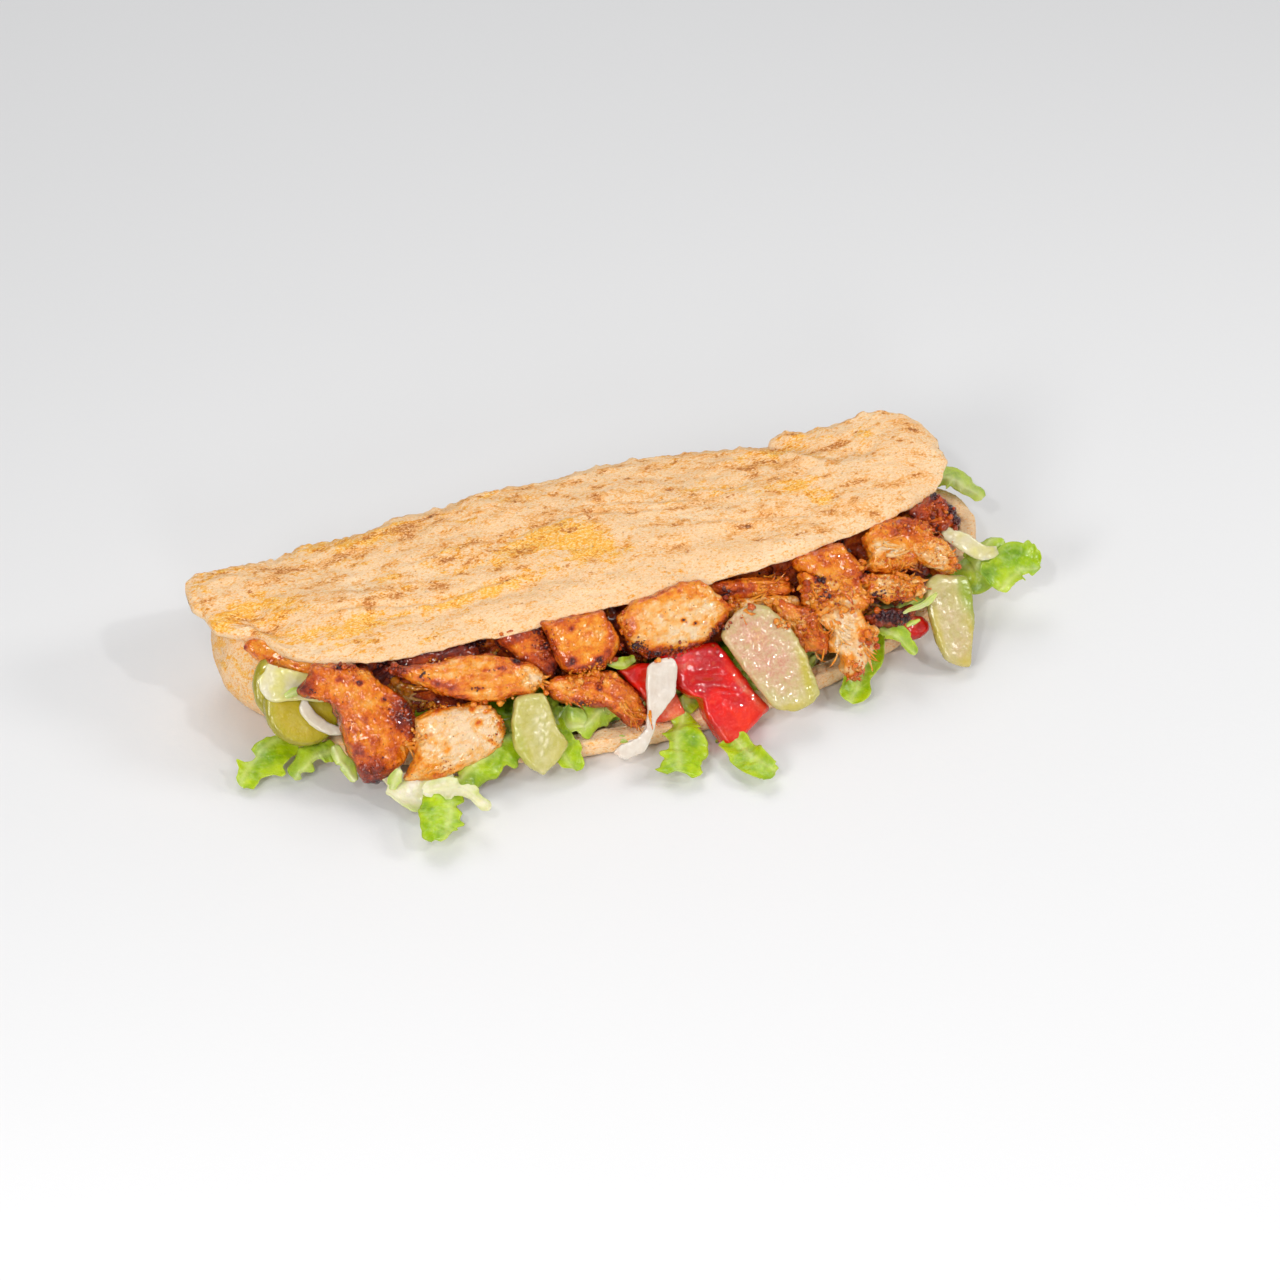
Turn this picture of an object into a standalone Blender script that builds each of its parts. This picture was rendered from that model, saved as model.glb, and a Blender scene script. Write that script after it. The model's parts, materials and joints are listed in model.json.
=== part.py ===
"""Chicken doner sandwich in an oval pocket flatbread, slit along one long side.

Lengths are written in millimetres and turned into metres when a mesh is made.
X runs along the bread, -Y is the open side, +Z is up, the flat base is at z = 0.
"""
import bpy
import bmesh
import math
from mathutils import Vector, Matrix, noise
from mathutils.bvhtree import BVHTree

for ob in list(bpy.data.objects):
    bpy.data.objects.remove(ob, do_unlink=True)

MM = 0.001
GAP = 0.42                 # air left between two touching pieces

# ---------------------------------------------------------------- bread sizes
BOAT_HALF_LEN = 130.5      # lower bread, from the middle to the open right end
BOAT_LEFT_LEN = 127.2      # and to the closed left end
BOAT_FRONT = 49.0          # half width toward the open side
BOAT_BACK = 44.0           # half width toward the hinge
BOAT_FRONT_POW = 1.7       # pointed oval in front
BOAT_BACK_POW = 3.2        # squarer oval behind
FLOOR = 5.0                # thickness of the lower crumb
LIP = 8.0                  # height of the front lip
END_RIM = 19.0             # height of the open right end
BULGE = 18.0               # height of the widest line of the closed sides
WALL = 5.0                 # wall thickness
SHEET_C = -7.3             # upper sheet, x of its middle
SHEET_HALF_LEN = 124.9
SHEET_FRONT = 34.0
SHEET_BACK = 30.5
SHEET_MID = 8.0            # y of its long axis
SHEET_T = 3.0              # thickness
BOAT_N = 70                # samples round the lower bread
SHEET_NX = 38              # stations along the upper sheet
ACROSS = (0.0, 0.04, 0.14, 0.26, 0.42, 0.6, 0.78, 0.92, 1.0)


def clamp01(t):
    return 0.0 if t < 0 else 1.0 if t > 1 else t


def smooth(a, b, x):
    t = clamp01((x - a) / (b - a))
    return t * t * (3 - 2 * t)


def mix(a, b, t):
    return a + (b - a) * t


def bump(x, c, w):
    return math.exp(-((x - c) / w) ** 2)


def wave(x, y, scale, seed):
    return noise.noise(Vector((x / scale, y / scale, seed * 7.31)))


def push(p, scale, seed):
    """A steady, smooth offset for a point: three noises, one for each axis."""
    q = Vector(p) / scale + Vector((seed * 9.13, seed * 3.71, seed * 5.37))
    return Vector((noise.noise(q), noise.noise(q + Vector((31.4, 0, 0))), noise.noise(q + Vector((0, 47.2, 0)))))


# ------------------------------------------------------------- mesh utilities
def set_material(ob, name, rgb, rough):
    mat = bpy.data.materials.get(name)
    if mat is None:
        mat = bpy.data.materials.new(name)
        mat.use_nodes = True
        bsdf = mat.node_tree.nodes["Principled BSDF"]
        bsdf.inputs["Base Color"].default_value = (*rgb, 1.0)
        bsdf.inputs["Roughness"].default_value = rough
        mat.diffuse_color = (*rgb, 1.0)
    ob.data.materials.clear()
    ob.data.materials.append(mat)


def object_from(bm, name):
    bmesh.ops.remove_doubles(bm, verts=bm.verts, dist=1e-6)
    bmesh.ops.dissolve_degenerate(bm, edges=bm.edges, dist=2e-6)
    bmesh.ops.recalc_face_normals(bm, faces=bm.faces)
    if bm.calc_volume(signed=True) < 0:
        bmesh.ops.reverse_faces(bm, faces=bm.faces)
    me = bpy.data.meshes.new(name)
    bm.to_mesh(me)
    bm.free()
    ob = bpy.data.objects.new(name, me)
    bpy.context.scene.collection.objects.link(ob)
    for p in me.polygons:
        p.use_smooth = True
    return ob


def ring_solid(name, rings, close_ends=True):
    """Skin over closed rings of equal count; the two ends are capped."""
    bm = bmesh.new()
    rows = [[bm.verts.new(p * MM) for p in ring] for ring in rings]
    n = len(rows[0])
    for a, b in zip(rows, rows[1:]):
        for i in range(n):
            j = (i + 1) % n
            bm.faces.new((a[i], a[j], b[j], b[i]))
    if close_ends:
        bm.faces.new(list(reversed(rows[0])))
        bm.faces.new(rows[-1])
    return object_from(bm, name)


def volume_of(me):
    bm = bmesh.new()
    bm.from_mesh(me)
    v = bm.calc_volume(signed=True) if bm.faces and all(len(e.link_faces) == 2 for e in bm.edges) else -1.0
    bm.free()
    return v * 1e9


def boolean(ob, other, kind, clear_of=None):
    """Exact Boolean; later passes allow for a cutter that folds over itself or lies
    awkwardly on an edge, which is nudged by about a hundredth of a millimetre."""
    before = volume_of(ob.data)
    best = None
    for folded, nudge in ((False, 0.0), (True, 0.0), (False, 1.0), (True, 1.0), (False, -1.6), (True, -1.6)):
        other.location = Vector((0.011, -0.013, 0.017)) * nudge * MM
        mod = ob.modifiers.new("cut", "BOOLEAN")
        mod.operation = kind
        mod.solver = "EXACT"
        mod.use_self = folded
        mod.object = other
        deps = bpy.context.evaluated_depsgraph_get()
        me = bpy.data.meshes.new_from_object(ob.evaluated_get(deps))
        ob.modifiers.remove(mod)
        after = volume_of(me)
        good = after > 0.2 * before if kind == "DIFFERENCE" else after > 0.9 * before
        if good and clear_of is not None and tree_of(me).overlap(clear_of):
            good, after = False, after - before
        if good or best is None or after > best[0]:
            best = (after, me)
        if good:
            break
    other.location = (0.0, 0.0, 0.0)
    if not good:
        return False
    old = ob.data
    ob.data = best[1]
    bpy.data.meshes.remove(old)
    return True


def triangulate(ob):
    bm = bmesh.new()
    bm.from_mesh(ob.data)
    bmesh.ops.triangulate(bm, faces=bm.faces)
    bm.to_mesh(ob.data)
    bm.free()


def tree_of(me):
    bm = bmesh.new()
    bm.from_mesh(me)
    tree = BVHTree.FromBMesh(bm)
    bm.free()
    return tree


def simplify(ob, target):
    """Collapse short edges of a cut piece, as far as it still clears its neighbours."""
    count = sum(len(p.vertices) - 2 for p in ob.data.polygons)
    for wanted in (target, target * 1.35, target * 1.8, target * 2.3):
        if count <= wanted:
            return
        mod = ob.modifiers.new("collapse", "DECIMATE")
        mod.decimate_type = "COLLAPSE"
        mod.ratio = wanted / count
        deps = bpy.context.evaluated_depsgraph_get()
        me = bpy.data.meshes.new_from_object(ob.evaluated_get(deps))
        ob.modifiers.remove(mod)
        tree = tree_of(me)
        if volume_of(me) > 0 and not any(tree.overlap(tree_of(o.data)) for o in placed):
            old = ob.data
            ob.data = me
            bpy.data.meshes.remove(old)
            return


def islands(bm):
    seen, groups = set(), []
    for v in bm.verts:
        if v in seen:
            continue
        stack, group = [v], []
        seen.add(v)
        while stack:
            w = stack.pop()
            group.append(w)
            for e in w.link_edges:
                o = e.other_vert(w)
                if o not in seen:
                    seen.add(o)
                    stack.append(o)
        groups.append(group)
    return groups


def keep_largest(bm):
    groups = islands(bm)
    if len(groups) > 1:
        def size(g):
            lo = [min(v.co[i] for v in g) for i in range(3)]
            hi = [max(v.co[i] for v in g) for i in range(3)]
            return (hi[0] - lo[0] + 1e-5) * (hi[1] - lo[1] + 1e-5) * (hi[2] - lo[2] + 1e-5)
        groups.sort(key=size, reverse=True)
        bmesh.ops.delete(bm, geom=[v for g in groups[1:] for v in g], context="VERTS")


def is_closed(bm):
    return all(len(e.link_faces) == 2 for e in bm.edges) and all(v.is_manifold for v in bm.verts)


def tidy(ob, weld=4e-5):
    """Weld slivers as far as the surface stays closed; keep the largest island."""
    for dist in (weld, weld * 0.5, weld * 0.2, weld * 0.05, 1e-7):
        bm = bmesh.new()
        bm.from_mesh(ob.data)
        bmesh.ops.triangulate(bm, faces=[f for f in bm.faces if len(f.verts) > 4])
        bmesh.ops.remove_doubles(bm, verts=bm.verts, dist=dist)
        bmesh.ops.dissolve_degenerate(bm, edges=bm.edges, dist=dist)
        loose = [e for e in bm.edges if not e.link_faces]
        bmesh.ops.delete(bm, geom=loose, context="EDGES")
        bmesh.ops.delete(bm, geom=[v for v in bm.verts if not v.link_edges], context="VERTS")
        keep_largest(bm)
        if is_closed(bm):
            break
        if dist > 1e-7:
            bm.free()
    bmesh.ops.recalc_face_normals(bm, faces=bm.faces)
    if bm.calc_volume(signed=True) < 0:
        bmesh.ops.reverse_faces(bm, faces=bm.faces)
    bm.to_mesh(ob.data)
    bm.free()
    for p in ob.data.polygons:
        p.use_smooth = True


placed = []                # every piece that already has its place


# ---------------------------------------------------------------- upper sheet
def sheet_axis(x):
    s = abs(x - SHEET_C) / SHEET_HALF_LEN
    return SHEET_MID + (14.0 * s ** 6 if x < SHEET_C else 0.0)


def sheet_front(x):
    s = clamp01(abs(x - SHEET_C) / SHEET_HALF_LEN)
    y = sheet_axis(x) - SHEET_FRONT * (1 - s ** 2.4) ** (1 / 2.4)
    y += 1.1 * wave(x, 0, 26, 1) + 0.5 * wave(x, 0, 8, 2)
    y += 1.6 * bump(x, -115.5, 2.6) - 1.2 * bump(x, -105, 6) - 2.9 * bump(x, -83, 20)
    y += 4.6 * smooth(-122, -130, x) + 0.8 * math.sin(x * 1.05) * smooth(-104, -114, x)
    return y


def sheet_back(x):
    s = clamp01(abs(x - SHEET_C) / SHEET_HALF_LEN)
    half = SHEET_BACK - 4.0 * smooth(20, 110, x)
    y = sheet_axis(x) + half * (1 - s ** 3.2) ** (1 / 3.2)
    y += 1.0 * wave(x, 40, 17, 3) + 0.7 * wave(x, 40, 6, 4)
    y += 2.6 * bump(x, 106, 8) - 2.4 * bump(x, 50, 15)
    return y


def sheet_top(x, y):
    """Height of the upper face of the upper sheet."""
    yf, yb = sheet_front(x), sheet_back(x)
    q = (y - yf) / max(yb - yf, 1e-3)
    q = min(1.25, max(-0.25, q))
    zf = 36.7 + 7.4 * smooth(-112, 122, x)
    zb = 38.0 + 8.0 * smooth(-126, 6, x) + 4.6 * bump(x, 104, 17)
    z = mix(zf, zb, q) + 2.6 * (1 - (2 * q - 1) ** 2)
    z -= 1.3 * bump(q, 0.25, 0.085) * (bump(x, -52, 30) + bump(x, 48, 26))
    z += 0.7 * bump(q, 0.12, 0.09) * (bump(x, -52, 34) + bump(x, 48, 30))
    z -= 2.4 * math.exp(-((x + 114) / 5.5) ** 2 - ((y - 5) / 11) ** 2)
    z -= 1.5 * math.exp(-((x + 81) / 8.0) ** 2 - ((y - 10) / 6.0) ** 2)
    fold = (x - 70) * 0.55 + (y - 22) * 0.83
    along = -(x - 70) * 0.83 + (y - 22) * 0.55
    z += (1.5 * bump(fold, -2.5, 3.2) - 2.0 * bump(fold, 4.0, 5.0)) * bump(along, 4, 15)
    z += 1.3 * wave(x, y, 34, 5) + 0.55 * wave(x, y, 13, 6)
    return z - 1.6 * smooth(0.93, 1.04, q) - 0.7 * smooth(0.04, -0.02, q)


def make_sheet():
    x0, x1 = SHEET_C - SHEET_HALF_LEN * 0.9975, SHEET_C + SHEET_HALF_LEN * 0.9975
    bm = bmesh.new()
    top, low = [], []
    for i in range(SHEET_NX):
        t = i / (SHEET_NX - 1)
        t = 0.42 * t + 0.58 * 0.5 * (1 - math.cos(math.pi * t))
        x = mix(x0, x1, t)
        yf, yb = sheet_front(x), sheet_back(x)
        end = smooth(0.0, 4.0, min(x - x0, x1 - x))
        rt, rl = [], []
        for q in ACROSS:
            y = mix(yf, yb, q)
            edge = min(q, 1 - q) * (yb - yf)
            th = SHEET_T * mix(0.55, 1.0, smooth(0, 4.0, edge) * mix(0.4, 1.0, end))
            z = sheet_top(x, y) - (SHEET_T - th) * 0.35
            rt.append(bm.verts.new(Vector((x, y, z)) * MM))
            rl.append(bm.verts.new(Vector((x, y, z - th)) * MM))
        top.append(rt)
        low.append(rl)
    nx, ny = len(top), len(top[0])
    for i in range(nx - 1):
        for j in range(ny - 1):
            bm.faces.new((top[i][j], top[i + 1][j], top[i + 1][j + 1], top[i][j + 1]))
            bm.faces.new((low[i][j], low[i][j + 1], low[i + 1][j + 1], low[i + 1][j]))
    for i in range(nx - 1):
        bm.faces.new((top[i][0], low[i][0], low[i + 1][0], top[i + 1][0]))
        bm.faces.new((top[i][-1], top[i + 1][-1], low[i + 1][-1], low[i][-1]))
    for j in range(ny - 1):
        bm.faces.new((top[0][j], top[0][j + 1], low[0][j + 1], low[0][j]))
        bm.faces.new((top[-1][j], low[-1][j], low[-1][j + 1], top[-1][j + 1]))
    return object_from(bm, "upper_sheet")


# ---------------------------------------------------------------- lower bread
def boat_axis(x):
    s = (abs(x) / 130.0) ** 4
    return -3.0 + (15.0 if x < 0 else 8.0) * s


def boat_outline(a):
    """Point of the plan outline for an angle; the back half is squarer."""
    c, s = math.cos(a), math.sin(a)
    p = BOAT_BACK_POW if s > 0 else BOAT_FRONT_POW
    x = (BOAT_HALF_LEN if c > 0 else BOAT_LEFT_LEN) * math.copysign(abs(c) ** (2 / p), c)
    half = BOAT_BACK - 8.0 * smooth(50, 125, x) if s > 0 else BOAT_FRONT
    y = boat_axis(x) + half * math.copysign(abs(s) ** (2 / p), s)
    return x, y


def boat_samples(count):
    dense = [boat_outline(2 * math.pi * k / 1440) for k in range(1440)]
    run = [0.0]
    for k in range(1440):
        (xa, ya), (xb, yb) = dense[k], dense[(k + 1) % 1440]
        finer = 1.0 + 1.6 * smooth(-98, -108, xa) * smooth(20, 5, ya) + 0.4 * smooth(95, 118, xa)
        run.append(run[-1] + math.hypot(xb - xa, yb - ya) * finer)
    out, k = [], 0
    for i in range(count):
        s = run[-1] * i / count
        while run[k + 1] < s:
            k += 1
        t = (s - run[k]) / max(run[k + 1] - run[k], 1e-9)
        (xa, ya), (xb, yb) = dense[k], dense[(k + 1) % 1440]
        out.append((mix(xa, xb, t), mix(ya, yb, t)))
    return out


def boat_frame(count):
    """Outline points, inward normals and wall sizes round the lower bread."""
    pts = boat_samples(count)
    rows = []
    for i, (x, y) in enumerate(pts):
        xa, ya = pts[i - 1]
        xb, yb = pts[(i + 1) % count]
        tx, ty = xb - xa, yb - ya
        ln = math.hypot(tx, ty)
        nx, ny = -ty / ln, tx / ln
        lift = (y - boat_axis(x)) / BOAT_BACK
        left = smooth(-111.5, -118.5, x)
        back = smooth(0.28, 0.74, lift) * (1 - smooth(106, 124, x))
        right = smooth(100, 127, x)
        closed = max(left, back)
        wob = 0.8 * wave(x, y, 15, 8)
        x, y = x + nx * wob, y + ny * wob
        tuck = mix(0.8, 5.0, closed) + 3.0 * left
        rb = mix(6.0, 16.0, max(closed, right * 0.9)) + 2.0 * left
        h = LIP + 0.7 * wave(x, y, 12, 9)
        h = max(h, mix(h, END_RIM, right))
        hb = mix(min(4.2, h * 0.5), BULGE, closed)
        hb = max(hb, mix(4.2, 9.0, right))
        rows.append(dict(x=x, y=y, nx=nx, ny=ny, closed=closed, tuck=tuck, rb=rb, h=h, hb=hb, right=right))
    return rows


def boat_rings(count, grow=0.0):
    """Rings from the base edge, up the outer wall, over the rim, down to the floor."""
    rows = boat_frame(count)
    rings = []

    def place(r, d, z):
        return Vector((r["x"] + r["nx"] * d, r["y"] + r["ny"] * d, z))

    def rim(r):
        px = r["x"] + r["nx"] * (r["tuck"] + WALL * 0.5)
        py = r["y"] + r["ny"] * (r["tuck"] + WALL * 0.5)
        return mix(r["h"], sheet_top(px, py) - 1.5, r["closed"])

    def wall(r):
        return WALL - 0.6 * r["closed"]

    for phi in (0, 34, 68):
        a = math.radians(phi)
        rings.append([place(r, r["rb"] * (1 - math.sin(a)), r["hb"] * (1 - math.cos(a))) for r in rows])
    for t in (0.12, 0.5, 0.86):
        rings.append([place(r, r["tuck"] * t ** 2, mix(r["hb"], rim(r), t)) for r in rows])
    rings.append([place(r, r["tuck"] + 1.1, rim(r)) for r in rows])
    rings.append([place(r, r["tuck"] + wall(r) - 1.1, rim(r)) for r in rows])
    for t in (0.75, 0.2):
        rings.append([place(r, wall(r) + r["tuck"] * t ** 2,
                            mix(max(r["hb"], FLOOR + 1.2), rim(r), t)) for r in rows])
    for phi in (52, 0):
        a = math.radians(phi)
        rings.append([place(r, wall(r) + (r["rb"] - 0.5) * (1 - math.sin(a)),
                            FLOOR + (max(r["hb"], FLOOR + 1.2) - FLOOR) * (1 - math.cos(a))) for r in rows])
    return rings


def make_bread():
    boat = ring_solid("bread", boat_rings(BOAT_N))
    sheet = make_sheet()
    boolean(boat, sheet, "UNION")
    bpy.data.objects.remove(sheet, do_unlink=True)
    tidy(boat, 2e-5)
    simplify(boat, 2500)
    set_material(boat, "flatbread", (0.80, 0.58, 0.34), 0.75)
    return boat



# ------------------------------------------------------- frame of the open side
# a runs along the bread, b climbs the sloping open face, out points away from it.
FACE_AT = Vector((0.0, -24.0, 37.0))
FACE_A = Vector((1.0, 0.0, 0.0))
FACE_B = Vector((0.0, 0.618, 0.786))
FACE_OUT = Vector((0.0, -0.786, 0.618))
CHICKEN = ("roast_chicken", (0.78, 0.38, 0.12), 0.45)
PICKLE = ("pickled_cucumber", (0.55, 0.58, 0.14), 0.3)
TOMATO = ("tomato", (0.75, 0.07, 0.03), 0.25)
ONION = ("white_onion", (0.85, 0.85, 0.72), 0.3)
LETTUCE = ("lettuce", (0.33, 0.62, 0.08), 0.4)


def on_face(a, b, out):
    return FACE_AT + FACE_A * a + FACE_B * b + FACE_OUT * out


def catmull(p0, p1, p2, p3, t):
    return 0.5 * ((2 * p1) + (p2 - p0) * t + (2 * p0 - 5 * p1 + 4 * p2 - p3) * t * t
                  + (3 * p1 - p0 - 3 * p2 + p3) * t ** 3)


def closed_curve(points, count):
    """Even samples on a smooth closed curve through the corner points."""
    pts = [Vector(p) for p in points]
    n = len(pts)
    dense = [catmull(pts[i - 1], pts[i], pts[(i + 1) % n], pts[(i + 2) % n], k / 12)
             for i in range(n) for k in range(12)]
    run = [0.0]
    for i in range(len(dense)):
        run.append(run[-1] + (dense[(i + 1) % len(dense)] - dense[i]).length)
    out, k = [], 0
    for i in range(count):
        s = run[-1] * i / count
        while run[k + 1] < s:
            k += 1
        t = (s - run[k]) / max(run[k + 1] - run[k], 1e-9)
        out.append(dense[k % len(dense)].lerp(dense[(k + 1) % len(dense)], t))
    return out


def open_curve(points, count):
    pts = [Vector(p) for p in points]
    pts = [pts[0] * 2 - pts[1]] + pts + [pts[-1] * 2 - pts[-2]]
    segs = len(pts) - 3
    out = []
    for i in range(count):
        t = i / (count - 1) * segs
        k = min(int(t), segs - 1)
        out.append(catmull(pts[k], pts[k + 1], pts[k + 2], pts[k + 3], t - k))
    return out


def cut_piece(name, look, outline, out, thick, dome=0.55, tilt=0.0, lean=0.0, bow=0.0,
              rough=0.0, seed=1, count=14):
    """A flat cut of food lying on the open face.

    outline: corners (a, b); out: height of its middle over the face; dome: how far
    the faces round off; tilt / lean: change of out along b / a; bow: arch of the cut.
    """
    curve = closed_curve(outline, count)
    mid = sum(curve, Vector((0, 0))) / count
    reach = max((p - mid).length for p in curve)
    profile = ((-0.5, 0.62), (-0.40, 0.88), (-0.05, 1.0), (0.34, 0.90), (0.5, 0.60))
    bm = bmesh.new()

    def point(q, level):
        d = q - mid
        h = out + tilt * d.y + lean * d.x - bow * (d.length / reach) ** 2 + level * thick
        p = on_face(q.x, q.y, h)
        if rough:
            p = p + push(p, 5.5, seed) * rough * 1.6 + push(p, 2.6, seed + 5) * rough * 0.6
        return bm.verts.new(p * MM)

    rows = []
    for level, scale in profile:
        k = 1.0 - (1.0 - scale) * dome / 0.55
        rows.append([point(mid + (q - mid) * k, level) for q in curve])
    for r0, r1 in zip(rows, rows[1:]):
        for i in range(count):
            j = (i + 1) % count
            bm.faces.new((r0[i], r0[j], r1[j], r1[i]))
    for row, level in ((rows[0], -0.5 - 0.06 * dome), (rows[-1], 0.5 + 0.10 * dome)):
        pole = point(mid, level)
        for i in range(count):
            bm.faces.new((row[i], row[(i + 1) % count], pole))
    ob = object_from(bm, name)
    set_material(ob, *look)
    return ob


def disc(name, look, at, radius, thick, tip, turn, count=26):
    """A round slice with a small bevel, tipped from level and turned."""
    bm = bmesh.new()
    bmesh.ops.create_cone(bm, cap_ends=True, segments=count, radius1=radius * MM,
                          radius2=radius * MM, depth=thick * MM)
    rims = [e for e in bm.edges if abs(e.verts[0].co.z - e.verts[1].co.z) < 1e-9]
    bmesh.ops.bevel(bm, geom=rims, offset=0.55 * MM, segments=1, profile=0.5, affect="EDGES")
    m = Matrix.Translation(Vector(at) * MM) @ Matrix.Rotation(math.radians(turn), 4, "Z") \
        @ Matrix.Rotation(math.radians(tip), 4, "X")
    bmesh.ops.transform(bm, matrix=m, verts=bm.verts)
    ob = object_from(bm, name)
    set_material(ob, *look)
    return ob


def ribbon(name, look, path, widths, facing, thick=1.1, cup=1.2, ruffle=1.0, seed=1, steps=7):
    """A shred: a thin strip that follows a path, cupped across and ruffled along."""
    line = open_curve(path, steps)
    face = Vector(facing).normalized()
    rings = []
    for i, p in enumerate(line):
        t = i / (steps - 1)
        tan = (line[min(i + 1, steps - 1)] - line[max(i - 1, 0)]).normalized()
        side = tan.cross(face).normalized()
        up = side.cross(tan).normalized()
        seg = t * (len(widths) - 1)
        k = min(int(seg), len(widths) - 2)
        w = mix(widths[k], widths[k + 1], seg - k) * 0.5
        lift = ruffle * wave(p.x, p.y, 6.0, seed)
        sway = ruffle * 0.8 * wave(p.x, p.z, 7.0, seed + 4)
        c = p + up * lift
        left = c - side * (w + sway) + up * (cup + ruffle * wave(p.x, p.y, 4.0, seed + 1))
        right = c + side * (w - sway) + up * (cup + ruffle * wave(p.x, p.y, 4.5, seed + 2))
        h = up * thick * 0.5
        rings.append([left + h * 0.6, c + h, right + h * 0.6, right - h * 0.6, c - h, left - h * 0.6])
    ob = ring_solid(name, rings)
    set_material(ob, *look)
    return ob


def inflated(ob, by, rounder=False):
    """A copy grown along its normals; the rounder one is its plain hull, grown."""
    bm = bmesh.new()
    bm.from_mesh(ob.data)
    if rounder:
        hull = bmesh.ops.convex_hull(bm, input=bm.verts)
        bmesh.ops.delete(bm, geom=[g for g in hull["geom_interior"] + hull["geom_unused"]
                                   if isinstance(g, bmesh.types.BMVert)], context="VERTS")
        skin = {f for f in hull["geom"] if isinstance(f, bmesh.types.BMFace)}
        bmesh.ops.delete(bm, geom=[f for f in bm.faces if f not in skin], context="FACES")
        bmesh.ops.delete(bm, geom=[e for e in bm.edges if not e.link_faces], context="EDGES")
        bmesh.ops.recalc_face_normals(bm, faces=bm.faces)
    bm.normal_update()
    moves = []
    for v in bm.verts:
        n = Vector((0, 0, 0))
        for f in v.link_faces:
            n += f.normal * f.calc_area()
        n = n.normalized() if n.length > 0 else v.normal
        least = min((n.dot(f.normal) for f in v.link_faces), default=1.0)
        moves.append(n * by * MM / max(0.55, least))
    for v, m in zip(bm.verts, moves):
        v.co += m
    me = bpy.data.meshes.new("grown")
    bm.to_mesh(me)
    bm.free()
    grown = bpy.data.objects.new("grown", me)
    grown.hide_render = True
    grown.display_type = "WIRE"
    bpy.context.scene.collection.objects.link(grown)
    return grown


def box_of(ob, pad=0.0):
    xs = [v.co for v in ob.data.vertices]
    lo = Vector([min((p[i] for p in xs), default=9.0) - pad for i in range(3)])
    hi = Vector([max((p[i] for p in xs), default=9.0) + pad for i in range(3)])
    return lo, hi


def keep_above(ob, z):
    """Flatten whatever would go under the base plane."""
    if box_of(ob)[0].z >= z * MM:
        return
    bm = bmesh.new()
    bmesh.ops.create_cube(bm, size=1.0)
    bmesh.ops.scale(bm, vec=Vector((0.5, 0.5, 0.1)), verts=bm.verts)
    bmesh.ops.translate(bm, vec=Vector((0, 0, z * MM - 0.05)), verts=bm.verts)
    slab = object_from(bm, "ground")
    slab.hide_render = True
    slab.display_type = "WIRE"
    boolean(ob, slab, "DIFFERENCE")
    bpy.data.objects.remove(slab, do_unlink=True)


def settle(ob, most=118):
    """Give way to every piece already placed, leaving a hair of air between."""
    keep_above(ob, 0.8)
    cut = False
    for other in placed:
        lo, hi = box_of(ob)
        l2, h2 = box_of(other, (GAP + 0.1) * MM)
        if any(lo[i] > h2[i] or hi[i] < l2[i] for i in range(3)):
            continue
        triangulate(ob)
        near = tree_of(other.data)
        for rounder in (False, True):
            grown = inflated(other, GAP, rounder)
            done = boolean(ob, grown, "DIFFERENCE", near)
            bpy.data.objects.remove(grown, do_unlink=True)
            if done:
                break
        tidy(ob, 1e-5)
        cut = True
    tidy(ob, 9e-5 if cut else 1e-6)
    simplify(ob, most)
    placed.append(ob)
    return ob


def join(a, b):
    boolean(a, b, "UNION")
    bpy.data.objects.remove(b, do_unlink=True)
    return a


# ------------------------------------------------------------------- the bread
placed.append(make_bread())

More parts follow.
